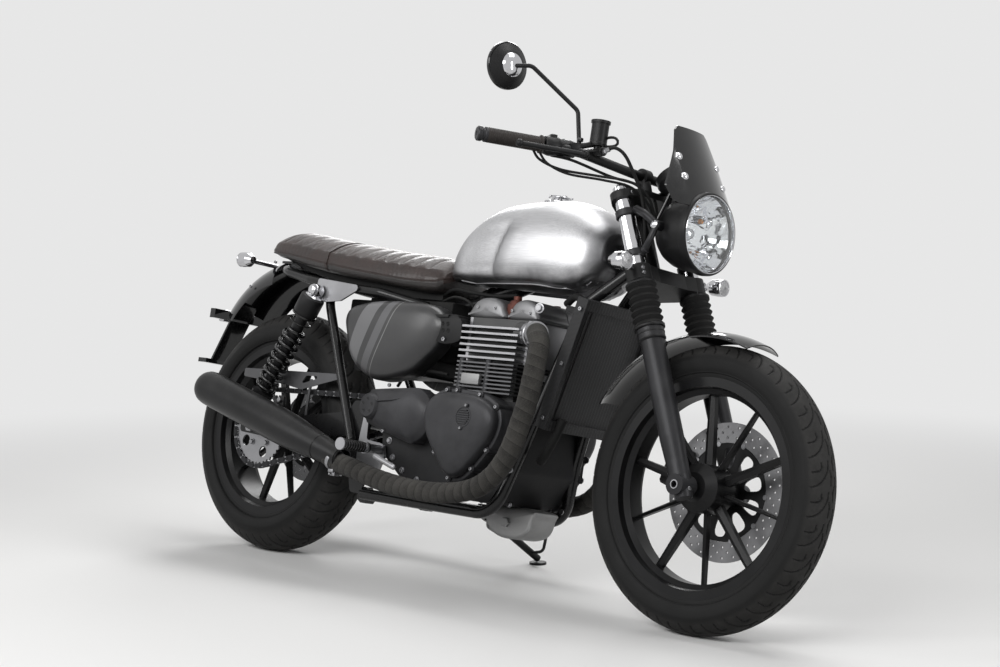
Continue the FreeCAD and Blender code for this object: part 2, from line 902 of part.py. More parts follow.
def front_axle():
    # a hollow shaft, open at both fork legs
    reach = "2 * (Sizes.fork_spread + Sizes.slider_radius)"
    shaft = bound("Part::Cylinder", "axle_shaft", Radius="Sizes.front_axle_radius", Height=reach)
    bore = bound("Part::Cylinder", "axle_bore", Radius="Sizes.front_axle_bore", Height=reach)
    axle = doc.addObject("Part::Cut", "front_axle")
    axle.Base = shaft
    axle.Tool = bore
    start = front_centre - Vector(0, spread + slider_radius, 0)
    keep("front_axle", axle, Placement(start, Rotation(z_axis, y_axis)))


def yoke(height, wall, nose):
    # a plate across both legs and the stem, in the fork frame
    back = axis_back - clamp
    ends = spread + clamp * 0.4
    outline = [Vector(nose, -spread / 2, height), Vector(clamp, -ends, height), Vector(-clamp, -ends, height),
               Vector(back, -clamp, height), Vector(back, clamp, height), Vector(-clamp, ends, height),
               Vector(clamp, ends, height), Vector(nose, spread / 2, height)]
    plate = rounded_face(outline, clamp * 0.6).extrude(Vector(0, 0, wall))
    for side in sides:
        collar = Part.makeCylinder(clamp, wall, Vector(0, side * spread, height), z_axis)
        hole = Part.makeCylinder(tube_radius + fit_gap / 2, 3 * wall, Vector(0, side * spread, height - wall), z_axis)
        plate = plate.fuse(collar).cut(hole)
    return plate.removeSplitter()


yoke_top = size("upper_yoke_height") + size("upper_yoke_wall")
bar_centre = fork_point(size("bar_ahead"), 0, yoke_top + size("bar_above_yoke"))
bar_bend_end = bar_centre + Vector(-size("bar_sweep"), size("bar_bend_half"), size("bar_rise"))
bar_tip = bar_bend_end + Vector(-size("bar_pull"), size("bar_reach"), -size("bar_droop"))


def fork_yokes():
    low, high = size("lower_yoke_height"), size("upper_yoke_height")
    high_wall = size("upper_yoke_wall")
    lower = yoke(low, size("lower_yoke_wall"), clamp * 0.7)
    upper = yoke(high, high_wall, clamp * 1.4)
    stem = Part.makeCylinder(size("stem_radius"), high + high_wall - low, Vector(axis_back, 0, low), z_axis)
    both = joined([lower, stem, upper])
    both.Placement = fork_frame
    pieces = [both]
    half = size("bar_clamp_half")
    for side in sides:
        y = side * size("bar_clamp_spread")
        foot = fork_point(clamp * 0.9, y, high + high_wall / 2)
        pieces.append(rod(foot, bar_centre + Vector(0, y, 0), size("bar_clamp_radius") * 0.7))
        pieces.append(across(bar_centre.x, bar_centre.z, y - half, y + half, size("bar_clamp_radius")))
    whole = joined(pieces)
    reach = size("bar_centre_half")
    bore = across(bar_centre.x, bar_centre.z, -reach, reach, size("bar_radius") + fit_gap / 2)
    add("fork_yokes", whole.cut(bore))


def on_grip(share, side=1):
    # a place along a grip: 0 at the bar's outer bend and 1 at its tip
    place = bar_bend_end + (bar_tip - bar_bend_end) * share
    return place if side > 0 else flipped(place)


grip_start_share = 0.37
housing_shares = (0.02, 0.34)
lever_shares = (0.08, 0.84)


def handlebar():
    centre = bar_centre + Vector(0, size("bar_centre_half"), 0)
    points = [flipped(bar_tip), flipped(bar_bend_end), flipped(centre), centre, bar_bend_end, bar_tip]
    add("handlebar", tube(points, size("bar_radius"), size("bar_bend")))


def grips():
    grip, flange = size("grip_radius"), size("grip_flange")
    sleeve = size("bar_radius") + fit_gap
    both = []
    for side in sides:
        start, end = on_grip(grip_start_share, side), on_grip(1.0, side)
        length = (end - start).Length
        lip = (flange - grip) / 2
        profile = [(sleeve, 0), (flange, 0), (flange, 2 * lip), (grip, 3 * lip), (grip, length + 2 * lip),
                   (0, length + 2 * lip), (0, length + seat_gap), (sleeve, length + seat_gap)]
        both.append(turned(profile, start, end - start))
    add("grips", group(both))


def lever_set(side):
    # switch housing, perch and lever on one bar end
    start, end = on_grip(housing_shares[0], side), on_grip(housing_shares[1], side)
    ahead = Vector(size("lever_ahead"), 0, -size("lever_drop"))
    root = on_grip(lever_shares[0], side) + ahead
    tip = on_grip(lever_shares[1], side) + ahead
    thick = size("lever_radius")
    lever = joined([rod(root, tip, thick), Part.makeSphere(thick * 1.5, tip), Part.makeSphere(thick * 1.6, root)])
    perch = rod((start + end) * 0.5, root, thick * 1.8)
    along = (end - start).normalize() * overrun
    core = rod(start - along, end + along, size("bar_radius") + fit_gap)
    return joined([rod(start, end, size("housing_radius")), perch, lever]).cut(core)


def cup_stalk():
    # the two ends of the stalk between the right housing and the fluid reservoir
    ahead, lift = size("cup_ahead"), size("cup_lift")
    root = on_grip(housing_shares[0], -1)
    start = root + (on_grip(housing_shares[1], -1) - root) * 0.12 + Vector(size("housing_radius"), 0, lift / 4)
    return start, root + Vector(ahead, size("cup_inboard"), lift)


def fluid_cup():
    # brake fluid reservoir on its stalk, right side
    start, base = cup_stalk()
    top = base + Vector(0, 0, size("cup_height"))
    radius = size("cup_radius")
    lid = rod(top, top + Vector(0, 0, radius / 3), radius * 1.12)
    thick = size("cup_stalk_radius")
    return joined([rod(base, top, radius), lid, rod(start, base + Vector(0, 0, thick), thick)])


def bar_controls():
    start, end = on_grip(housing_shares[0], -1), on_grip(housing_shares[1], -1)
    along = (end - start).normalize() * overrun
    core = rod(start - along, end + along, size("bar_radius") + fit_gap)
    right = joined([lever_set(-1), fluid_cup().cut(core)])
    return add("bar_controls", group([lever_set(1), right]))


mirror_facing = -8.0
mirror_stalk_shares = ((0.0, 0.0, 0.0), (0.15, 0.0, 0.51), (0.76, 0.78, 1.03), (1.0, 1.0, 1.0))


def mirror(housing):
    # round mirror on a cranked stalk that rises from the reservoir's stalk
    start, end = cup_stalk()
    base = start + (end - start) * 0.2
    back, out, rise = size("mirror_back"), size("mirror_out"), size("mirror_rise")
    points = [base + Vector(-back * x, -out * y, rise * z) for x, y, z in mirror_stalk_shares]
    hub = points[-1]
    stalk = tube(points, size("mirror_stalk"), size("mirror_stalk") * 4)
    facing = Rotation(z_axis, mirror_facing).multVec(x_axis)
    radius, depth = size("mirror_radius"), size("mirror_depth")
    shell = turned([(0, 0), (radius * 0.96, 0), (radius, depth * 0.12), (radius, depth * 0.3),
                    (radius * 0.7, depth * 0.6), (radius * 0.35, depth * 0.88), (0, depth)],
                   hub - facing * (depth * 0.9), facing)
    core = rod(on_grip(0, -1), on_grip(grip_start_share, -1), size("bar_radius") + fit_gap)
    return joined([stalk, shell]).cut(housing).cut(core)


lamp_radius, lamp_depth = size("lamp_radius"), size("lamp_depth")
lamp_root = fork_point(size("lamp_ahead"), 0, size("upper_yoke_height") - size("lamp_drop"))
lamp_clamp_up = size("upper_yoke_height") - size("lamp_clamp_drop")


def lamp_arm(side):
    # the two ends of the arm between the fork tube and the lamp
    start = fork_point(tube_radius * 0.9, side * spread, lamp_clamp_up + size("lamp_clamp_wall") / 2)
    return start, lamp_root + Vector(lamp_depth * 0.4, side * lamp_radius * 0.9, lamp_radius * 0.12)


def lamp_bracket(side):
    # clamp round the fork tube and the arm that carries the lamp
    wall, up = size("lamp_clamp_wall"), lamp_clamp_up
    ring = rod(fork_point(0, side * spread, up), fork_point(0, side * spread, up + wall), tube_radius * 1.25)
    hole = rod(fork_point(0, side * spread, up - wall), fork_point(0, side * spread, up + 2 * wall),
               tube_radius + fit_gap / 2)
    start, end = lamp_arm(side)
    return joined([rod(start, end, size("lamp_arm_radius")), ring]).cut(hole)


def headlamp():
    radius, depth, rim = lamp_radius, lamp_depth, size("lamp_rim")
    profile = [(0, 0), (radius * 0.38, depth * 0.03), (radius * 0.68, depth * 0.14), (radius * 0.88, depth * 0.36),
               (radius * 0.96, depth - 1.3 * rim), (radius, depth - 1.2 * rim), (radius, depth - rim * 0.2),
               (radius * 0.96, depth), (radius * 0.92, depth), (radius * 0.92, depth - rim * 0.6),
               (0, depth - rim * 0.6)]
    shell = turned(profile, lamp_root, x_axis)
    add("headlamp", joined([shell, lamp_bracket(1), lamp_bracket(-1)]))


screen_shares = [(-0.42, 0.0), (-0.5, -0.06), (-0.66, -0.34), (-0.86, -0.6), (-1.0, -0.79), (-0.93, -1.0),
                 (0.93, -1.0), (1.0, -0.79), (0.86, -0.6), (0.66, -0.34), (0.5, -0.06), (0.42, 0.0)]
screen_tilt_share = 0.55
screen_stay_shares = (0.62, 0.42)
screen_round_share = 0.08


def flyscreen():
    # a curved shield above the lamp, cut round its shell, on a stay from each lamp arm
    half, height, bow, wall = size("screen_half"), size("screen_height"), size("screen_bow"), size("screen_wall")
    lamp_front = lamp_root + Vector(lamp_depth, 0, 0)
    top = lamp_root.z + size("screen_above_lamp")
    front = lamp_front.x + size("screen_overhang")
    face = rounded_face([Vector(front - bow, half * out, top + height * up) for out, up in screen_shares],
                        half * screen_round_share)
    prism = face.extrude(Vector(2 * bow, 0, 0))
    tilt = Vector(-screen_tilt_share, 0, 1.0).normalize()
    outward = Vector(tilt.z, 0, -tilt.x)
    low = Vector(front - bow / tilt.z, 0, top - height)
    start = low - tilt * height
    shell = Part.makeCylinder(bow, 3 * height, start, tilt).cut(Part.makeCylinder(bow - wall, 3 * height, start, tilt))
    reach = Vector(bow, 0, 0)
    clear = rod(lamp_root - reach, lamp_front + reach, lamp_radius + seat_gap)
    pieces = [shell.common(prism).cut(clear)]
    out, up = screen_stay_shares
    for side in sides:
        y = side * half * out
        ahead = outward * math.sqrt((bow - wall / 2) ** 2 - y ** 2)
        spot = low + Vector(0, y, 0) + ahead + tilt * ((height * up - ahead.z) / tilt.z)
        start, end = lamp_arm(side)
        stay = rod((start + end) / 2, spot, wall)
        pieces.append(stay.cut(rod(start, end, size("lamp_arm_radius") + seat_gap)))
    return joined(pieces)


def instrument():
    # round dial, with a foot on the upper yoke
    centre = fork_point(size("dial_ahead"), 0, yoke_top + size("dial_above_yoke"))
    facing = Vector(-0.6, 0, 0.8)
    radius, depth = size("dial_radius"), size("dial_depth")
    rim = depth * 0.2
    cup = turned([(0, -depth + rim), (radius * 0.64, -depth + rim), (radius, -rim), (radius, rim),
                  (radius * 0.92, rim), (radius * 0.92, rim * 0.4), (0, rim * 0.4)], centre, facing)
    foot = rod(fork_point(clamp * 0.6, 0, yoke_top + seat_gap), centre - facing * (depth * 0.6), radius * 0.2)
    level = Part.makeCylinder(spread, overrun, Vector(0, 0, yoke_top + seat_gap - overrun), z_axis)
    level.Placement = fork_frame
    return joined([cup, foot.cut(level)])


def guard_shell(centre, radius, wall, half, drop, start, sweep):
    # a bowed strip turned about the wheel's axis
    low = radius - drop
    inner = Part.Arc(Vector(low, 0, half), Vector(radius, 0, 0), Vector(low, 0, -half)).toShape()
    outer = Part.Arc(Vector(low + wall, 0, half), Vector(radius + wall, 0, 0), Vector(low + wall, 0, -half)).toShape()
    edges = [inner, outer]
    for side in sides:
        edges.append(Part.LineSegment(Vector(low, 0, side * half), Vector(low + wall, 0, side * half)).toShape())
    strip = Part.Face(Part.Wire(Part.__sortEdges__(edges))).revolve(origin, z_axis, sweep)
    turn = Rotation(z_axis, y_axis).multiply(Rotation(z_axis, -start - sweep))
    strip.Placement = Placement(centre, turn)
    return strip


def front_guard():
    # a bowed blade over the tyre, with a short stay to each slider
    radius = front_centre.z + size("guard_gap")
    shift = Vector(-size("guard_back"), 0, size("guard_lift"))
    half, drop, wall = size("guard_half"), size("guard_drop"), size("guard_wall")
    centre = front_centre + shift
    pieces = [guard_shell(centre, radius, wall, half, drop, size("guard_start"), size("guard_sweep"))]
    edge = radius - drop + wall / 2
    along = shift.dot(fork_point(0, 0, 1.0) - front_centre)
    up = along + math.sqrt(edge ** 2 - shift.Length ** 2 + along ** 2)
    for side in sides:
        outer = fork_point(0, side * (spread - collar_radius - seat_gap), up)
        pieces.append(rod(fork_point(0, side * (half - wall), up), outer, size("guard_stay_radius")))
    return joined(pieces)


bullet_shares = ((0.0, 0.0), (0.5, 0.04), (0.93, 0.37), (1.0, 0.7), (1.0, 0.9), (0.85, 1.0), (0.0, 1.0))


def indicator(centre, root, facing):
    # bullet lamp on its stem
    radius, length = size("bullet_radius"), size("bullet_length")
    profile = [(radius * out, length * (along - 0.6)) for out, along in bullet_shares]
    return joined([turned(profile, centre, facing), rod(root, centre, size("bullet_stem"))])


def front_indicators():
    lights = []
    up = size("lower_yoke_height") + size("lower_yoke_wall") * 0.7
    for side in sides:
        centre = fork_point(size("front_bullet_ahead"), side * size("front_bullet_spread"),
                            size("lower_yoke_height") + size("front_bullet_up"))
        root = fork_point(0, side * spread, up)
        collar = rod(fork_point(0, side * spread, up - overrun), fork_point(0, side * spread, up + overrun),
                     clamp + seat_gap)
        lights.append(indicator(centre, root, x_axis).cut(collar))
    add("front_indicators", group(lights))


def caliper_angle(name):
    return 90.0 + rake_angle + size("caliper_turn") if name == "front" else size("rear_caliper_angle")


def caliper_place(name, radius):
    # the middle of a caliper's pads, in the middle plane of the machine
    outer = radius + size("disc_clearance") + size("caliper_bridge")
    centre = front_centre if name == "front" else rear_centre
    return about(centre, outer - size("caliper_depth") / 2, caliper_angle(name))


def caliper(name):
    # a block that straddles the disc, its bridge outside the disc's edge
    radius, offset = size(name + "_disc_radius"), size(name + "_disc_offset")
    half, depth, length = size("caliper_half"), size("caliper_depth"), size("caliper_length") / 2
    slot = size("disc_wall") / 2 + size("disc_clearance")
    inner = -depth / 2
    body = block(Vector(inner, -half, -length), Vector(depth / 2, half, length))
    piston = Part.makeCylinder(half, 2 * half, Vector(inner * 0.2, -half, -length * 0.45), y_axis)
    bridge_start = depth / 2 - size("caliper_bridge")
    gap = block(Vector(inner - overrun, -slot, -length - overrun), Vector(bridge_start, slot, length + overrun))
    piece = body.makeChamfer(half / 4, body.Edges).fuse(piston).cut(gap)
    place = caliper_place(name, radius) + Vector(0, offset, 0)
    piece.Placement = Placement(place, Rotation(y_axis, -caliper_angle(name)))
    return piece


def steering_group():
    fork_tubes()
    fork_gaiters()
    fork_lowers()
    front_axle()
    fork_yokes()
    handlebar()
    grips()
    housing = bar_controls()
    add("mirror", mirror(housing))
    headlamp()
    add("flyscreen", flyscreen())
    add("instrument", instrument())
    add("front_mudguard", front_guard())
    front_indicators()
    add("front_caliper", caliper("front"))


steering_group()


# Frame

head_low = size("lower_yoke_height") + size("lower_yoke_wall") + size("head_end_gap")
head_high = size("upper_yoke_height") - size("head_end_gap")
head_mid = (head_low + head_high) / 2


def spine_route(lift=0.0):
    # the backbone's centre line, from the head tube back and down
    up = Vector(0, 0, lift)
    return [fork_point(axis_back, 0, head_mid) + up, Vector(size("spine_mid_x"), 0, size("spine_mid_z")) + up,
            Vector(size("spine_low_x"), 0, size("spine_low_z")) + up,
            Vector(size("spine_end_x"), 0, size("spine_end_z")) + up]


def head_tube(extra=0.0):
    return rod(fork_point(axis_back, 0, head_low), fork_point(axis_back, 0, head_high), size("head_radius") + extra)


rail_start_y = size("rail_spread") * 0.8


def frame_backbone():
    start, middle, low, end = spine_route()
    spine = tube([start, middle, low, end], size("spine_radius"), size("spine_bend"))
    rail = size("rail_radius")
    cross = across(end.x, end.z, -rail_start_y + rail + seat_gap, rail_start_y - rail - seat_gap, rail)
    room = size("spine_radius") + size("tunnel_gap") - seat_gap
    pads = []
    for share in (0.3, 0.85):
        spot = middle + (start - middle) * share if share < 0.5 else middle + (low - middle) * share
        along = (start - spot if share < 0.5 else low - spot).normalize() * size("tank_pad_radius")
        pads.append(rod(spot - along, spot + along, room))
    gusset = polygon_face([Vector(spot.x, -rail / 2, spot.z) for spot in
                           (fork_point(axis_back, 0, head_low + rail), fork_point(axis_back, 0, head_mid),
                            start + (middle - start) * 0.5, start + (middle - start) * 0.35 - Vector(0, 0, 4 * rail))])
    web = gusset.extrude(Vector(0, rail, 0))
    low_bore = fork_point(axis_back, 0, head_low - overrun)
    hollow = rod(low_bore, fork_point(axis_back, 0, head_high + overrun), size("stem_radius") + fit_gap)
    return add("frame_backbone", joined([head_tube(), spine, cross, web] + pads).cut(hollow))


# down tube and lower rail: shares of the cradle's length, spread and height from its rear floor
cradle_shares = ((1.296, 0.5, 1.0), (1.073, 0.8, 0.283), (1.0, 1.0, 0.0), (0.0, 1.0, 0.0))


def cradle_route():
    rear, front = size("cradle_rear_x"), size("cradle_front_x")
    floor, wide = size("cradle_floor"), size("cradle_spread")
    top = fork_point(axis_back, 0, head_low + size("head_radius"))
    points = within(cradle_shares, Vector(rear, 0, floor), Vector(front - rear, wide, 0.84 * (top.z - floor)))
    return [top + Vector(-size("head_radius") * 0.6, size("head_radius") * 0.8, 0)] + points


def cradle_tube(extra=0.0):
    return tube(cradle_route(), size("cradle_radius") + extra, size("cradle_bend"))


pivot_plate_shares = ((0.0, 0.86), (0.2, 1.0), (0.6, 1.0), (0.82, 0.62), (1.0, 0.25), (0.92, 0.0), (0.5, 0.0),
                      (0.12, 0.5))
lug_shares = ((0.0, 0.2), (0.0, 0.75), (0.45, 1.0), (1.0, 0.5), (0.7, 0.0), (0.25, 0.0))


def pivot_plate():
    # side plate that joins the lower rail, the pivot bolt and the rear upright
    floor = size("cradle_floor")
    top = size("pivot_z") + size("pivot_radius") * 2
    outer = size("upright_spread") - size("rail_radius") - seat_gap
    outline = side_outline(pivot_plate_shares, size("pivot_x") - size("pivot_radius") * 1.5, floor,
                           size("pivot_radius") * 4.5, top - floor)
    plate = side_plate(outline, size("cradle_radius"), outer - size("pivot_plate_wall"), outer)
    return plate


def rear_lug():
    # bored lug under the rear of the lower rail
    radius = size("cradle_radius")
    outline = side_outline(lug_shares, size("cradle_rear_x") - radius * 2, size("cradle_floor") - radius * 1.6,
                           radius * 4, radius * 3)
    low_y = size("cradle_spread") - radius * 2.2
    plate = side_plate(outline, radius / 2, low_y, low_y + radius * 1.5)
    eye = across(size("cradle_rear_x") + radius * 0.2, size("cradle_floor") - radius * 0.4, low_y - overrun,
                 low_y + overrun, radius / 2)
    return plate.cut(eye)


stand_pivot = Vector(size("stand_pivot_x"), size("stand_pivot_y"), size("stand_pivot_z"))
stand_foot = parked.inverse().multVec(Vector(size("stand_foot_x"), size("stand_foot_y"), size("stand_ankle")))
stand_along = (stand_foot - stand_pivot).normalize()
stand_hinge = x_axis.cross(stand_along).normalize()


def stand_clevis():
    # two cheeks about the stand's eye, its hinge pin, and the web that ties them to the lower rail
    eye, cheek = size("stand_eye_half"), size("stand_cheek")
    radius = size("stand_eye_radius")
    inward = Rotation(stand_hinge, 180.0).multVec(stand_along)
    to_rail = (size("stand_pivot_y") - size("cradle_spread")) * 1.1
    turn = Rotation(inward, stand_hinge.cross(inward), stand_hinge, "XYZ")
    pieces = []
    for side in sides:
        base = side * (eye + fit_gap) if side > 0 else -(eye + fit_gap) - cheek
        disc = Part.makeCylinder(radius, cheek, Vector(0, 0, base), z_axis)
        arm = block(Vector(0, -radius, base), Vector(to_rail, radius, base + cheek))
        pieces += [disc, arm]
    reach = eye + fit_gap + cheek
    pieces.append(block(Vector(radius * 1.2, -radius, -reach), Vector(to_rail, radius, reach)))
    pieces.append(Part.makeCylinder(size("stand_pin"), 2 * reach + size("stand_pin"),
                                    Vector(0, 0, -reach - size("stand_pin") / 2), z_axis))
    bracket = joined(pieces)
    bracket.Placement = Placement(stand_pivot, turn)
    return bracket


def frame_cradle():
    plate = pivot_plate().cut(rear_upright(seat_gap))
    plate = max(plate.Solids, key=lambda solid: solid.Volume)
    right = joined([mirrored(cradle_tube()), mirrored(plate), mirrored(rear_lug())]).cut(head_tube(fit_gap))
    left = joined([cradle_tube(), plate, rear_lug(), stand_clevis()]).cut(head_tube(fit_gap))
    spine = tube(spine_route(), size("spine_radius") + fit_gap, size("spine_bend"))
    return add("frame_cradle", group([right.cut(spine), left.cut(spine)]))


# seat: share of its length and height for each section, and of its half width
seat_shares = ((1.0, 0.03, 0.38, 0.49), (0.968, 0.0, 0.52, 0.69), (0.852, 0.027, 0.63, 0.85), (0.677, 0.096, 0.685, 0.95),
               (0.47, 0.164, 0.767, 1.0), (0.27, 0.288, 0.863, 0.967), (0.096, 0.438, 0.959, 0.869),
               (0.029, 0.52, 1.0, 0.738), (0.0, 0.616, 0.945, 0.541))
seat_power = 3.4
seat_pad_shares = (0.677, 0.096)


seat_rear = size("tank_rear") - size("seat_tank_gap") - size("seat_length")


def seat_place(share):
    return seat_rear + size("seat_length") * share


def seat_level(share):
    return size("seat_low") + size("seat_height") * share


def seat():
    sections = []
    for along, low, high, half in seat_shares:
        sections.append(smooth_section(seat_place(along), size("seat_half") * half, seat_level(low),
                                       seat_level(high), seat_power))
    return Part.makeLoft(sections, True, False)


# seat rail: share of the seat's length, of the rail's spread, and of the seat's height below its low line
rail_shares = ((0.91, 0.8, -0.247), (0.677, 0.981, -0.06), (0.47, 1.0, 0.0), (0.27, 0.96, 0.11), (0.096, 0.79, 0.247),
               (0.03, 0.5, 0.33), (0.01, 0.0, 0.37))


def rail_route():
    return within(rail_shares, Vector(seat_rear, 0, size("seat_low")),
                  Vector(size("seat_length"), size("rail_spread"), size("seat_height")))


def seat_rail(extra=0.0):
    points = rail_route()
    points[0] = Vector(size("spine_end_x"), rail_start_y, size("spine_end_z"))
    return tube(points, size("rail_radius") + extra, size("rail_bend"))


def rear_upright(extra=0.0):
    # from the seat rail, beside the upper shock bolt, down to the pivot plate
    top = Vector(size("shock_top_x") + size("rail_radius"), size("rail_spread") * 0.97, size("seat_low"))
    neck = top - Vector(-size("rail_radius") / 2, 0, size("rail_radius") * 4)
    foot = Vector(size("upright_foot_x"), size("upright_spread"), size("upright_foot_z"))
    return tube([top, neck, foot], size("rail_radius") + extra, size("rail_bend"))


def subframe():
    # seat rails closed by a loop at the tail, the uprights, and the seat's rests
    rail = size("rail_radius")
    half, wall, length = size("seat_pad_half"), size("seat_pad_wall"), size("seat_pad_length")
    pieces = [seat_rail(), mirrored(seat_rail()), rear_upright(), mirrored(rear_upright())]
    for share in seat_pad_shares:
        low = next(low for along, low, high, out in seat_shares if along == share)
        place, top = seat_place(share), seat_level(low) - seat_gap
        pieces.append(block(Vector(place - length / 2, -half, top - wall), Vector(place + length / 2, half, top)))
        out = size("rail_spread") * 0.8
        level = next(up for along, wide, up in rail_shares if along == share)
        pieces.append(across(place, seat_level(level) + rail / 2, -out, out, rail / 2))
    return add("subframe", joined(pieces).cut(drawn["seat"]))


mount_plate_shares = ((0.0, 1.0), (1.0, 0.75), (0.55, 0.1), (0.2, 0.0), (0.0, 0.35))


def shock_mounts():
    # bright plates outside the seat rails, with the upper shock bolts
    rail, wall = size("rail_radius"), size("mount_plate_wall")
    inner = size("rail_spread") + rail + seat_gap
    x, z = size("shock_top_x"), size("shock_top_z")
    outline = side_outline(mount_plate_shares, x - rail * 1.6, z - rail * 2.2, rail * 15, rail * 5.2)
    plate = side_plate(outline, rail * 0.7, inner, inner + wall)
    end = size("shock_spread") + size("shock_eye_half") + seat_gap
    bolt = across(x, z, inner + wall / 2, end + size("mount_plate_wall"), size("shock_bolt"))
    head = across(x, z, end, end + size("mount_plate_wall"), size("shock_bolt") * 1.5)
    mount = joined([plate, bolt, head])
    add("shock_mounts", group([mount, mirrored(mount)]))


arm_shares = ((0.0, 0.05), (0.0, 0.55), (0.2, 0.55), (1.0, 1.0), (1.0, 0.35), (0.2, 0.0))


def swing_arm():
    # two side arms, the pivot tube, and lugs for the lower shock bolts
    pivot = Vector(size("pivot_x"), 0, size("pivot_z"))
    side_y, width, height = size("arm_spread"), size("arm_width"), size("arm_height")
    rear = -size("arm_tail")
    front = pivot.x + size("pivot_radius")
    low = rear_centre.z - height / 2
    high = pivot.z + height / 2
    half_rise = (rear_centre.z + height / 2 - low) / (high - low)
    shares = [(along, up if up in (0.0, 1.0) else up * half_rise / 0.55 if up > 0.1 and along < 1.0 else up)
              for along, up in arm_shares]
    outline = side_outline(shares, rear, low, front - rear, high - low)
    foot_x, foot_z = size("shock_foot_x"), size("shock_foot_z")
    pieces = [across(pivot.x, pivot.z, -side_y, side_y, size("pivot_radius"))]
    plate_inner = size("upright_spread") - size("rail_radius") - seat_gap - size("pivot_plate_wall")
    pieces.append(across(pivot.x, pivot.z, -plate_inner + seat_gap, plate_inner - seat_gap, size("pivot_bolt")))
    end = size("shock_spread") + size("shock_eye_half") + seat_gap
    for side in sides:
        inner, outer = sorted((side * (side_y - width / 2), side * (side_y + width / 2)))
        pieces.append(side_plate(outline, height / 4, inner, outer))
        pieces.append(across(foot_x, foot_z, inner, outer, size("shock_eye_radius")))
        near, far = sorted((side * side_y, side * (end + size("mount_plate_wall"))))
        pieces.append(across(foot_x, foot_z, near, far, size("shock_bolt")))
        near, far = sorted((side * end, side * (end + size("mount_plate_wall"))))
        pieces.append(across(foot_x, foot_z, near, far, size("shock_bolt") * 1.4))
    reach = side_y + width
    bore = across(rear_centre.x, rear_centre.z, -reach, reach, size("rear_axle_radius"))
    upright = rear_upright(seat_gap)
    return add("swingarm", joined(pieces).cut(bore).cut(upright).cut(mirrored(upright)))


def rear_axle():
    # shaft with a hexagon nut outside each arm
    out = "(Sizes.arm_spread + Sizes.arm_width / 2)"
    shaft = bound("Part::Cylinder", "rear_shaft", Radius="Sizes.rear_axle_radius",
                  Height="2 * %s + 2 * Sizes.rear_nut_wall" % out)
    nuts = []
    for name, base in (("right_nut", "0"), ("left_nut", "2 * %s + Sizes.rear_nut_wall" % out)):
        nut = bound("Part::Prism", name, Circumradius="Sizes.rear_nut_radius", Height="Sizes.rear_nut_wall")
        nut.Polygon = 6
        nut.setExpression(".Placement.Base.z", base)
        nuts.append(nut)
    axle = doc.addObject("Part::MultiFuse", "rear_axle")
    axle.Shapes = [shaft] + nuts
    start = rear_centre - Vector(0, size("arm_spread") + size("arm_width") / 2 + size("rear_nut_wall"), 0)
    keep("rear_axle", axle, Placement(start, Rotation(z_axis, y_axis)))


spring_turns = 9


def shocks():
    # top eye, canister, rod and seats, with the spring as a ribbed sleeve between the seats
    top = Vector(size("shock_top_x"), size("shock_spread"), size("shock_top_z"))
    foot = Vector(size("shock_foot_x"), size("shock_spread"), size("shock_foot_z"))
    length = (foot - top).Length
    coil, eye = size("spring_radius"), size("shock_eye_radius")
    can, wire = size("canister_length"), size("spring_wire")
    cap = eye * 1.2
    body = [(0, 0), (eye * 0.8, 0), (eye * 0.8, cap * 0.7), (coil, cap), (coil, cap + can),
            (coil * 0.58, cap + can + wire * 0.7), (coil * 0.45, length - 2.4 * can * 0.5),
            (coil * 0.45, length - eye * 3.8), (coil * 1.05, length - eye * 3.6), (coil * 1.05, length - eye * 3.1),
            (eye * 0.8, length - eye * 2.9), (eye * 0.8, length), (0, length)]
    solid = turned(body, top, foot - top)
    half, bolt = size("shock_eye_half"), size("shock_bolt") + fit_gap
    for x, z in ((top.x, top.z), (foot.x, foot.z)):
        solid = solid.fuse(across(x, z, top.y - half, top.y + half, eye))
    for x, z in ((top.x, top.z), (foot.x, foot.z)):
        solid = solid.cut(across(x, z, top.y - overrun, top.y + overrun, bolt))
        clear = eye * 1.4
        for near, far in ((top.y - overrun, top.y - half), (top.y + half, top.y + overrun)):
            solid = solid.cut(across(x, z, near, far, clear))
    start, end = cap + can + wire * 0.8, length - eye * 3.85
    pitch = (end - start) / spring_turns
    profile = [(coil * 0.6, start)]
    for index in range(spring_turns):
        profile += [(coil - wire, start + pitch * index), (coil, start + pitch * (index + 0.35)),
                    (coil, start + pitch * (index + 0.65))]
    profile += [(coil - wire, end), (coil * 0.6, end)]
    add("shock_bodies", both_sides(solid.removeSplitter()))
    add("shock_springs", both_sides(turned(profile, top, foot - top)))


def rear_caliper():
    # the caliper on its plate, which sits on the axle inside the left arm
    high_y = size("arm_spread") - size("arm_width") / 2 - seat_gap
    low_y = high_y - size("caliper_ear") * 0.7
    half = size("rear_axle_radius") * 2
    end = caliper_place("rear", size("rear_disc_radius"))
    edge = y_axis.cross((end - rear_centre).normalize()) * half + Vector(0, low_y, 0)
    other = edge * -1.0 + Vector(0, 2 * low_y, 0)
    web = polygon_face([rear_centre + edge, rear_centre + other, end + other, end + edge])
    pieces = [caliper("rear"), web.extrude(Vector(0, high_y - low_y, 0))]
    pieces += [across(spot.x, spot.z, low_y, high_y, half) for spot in (rear_centre, end)]
    bore = across(rear_centre.x, rear_centre.z, 0, 2 * high_y, size("rear_axle_radius") + fit_gap / 2)
    add("rear_caliper", joined(pieces).cut(bore))


frame_backbone()
frame_cradle()
add("seat", seat())
subframe()
shock_mounts()
swing_arm()
rear_axle()
shocks()
rear_caliper()


# Tank

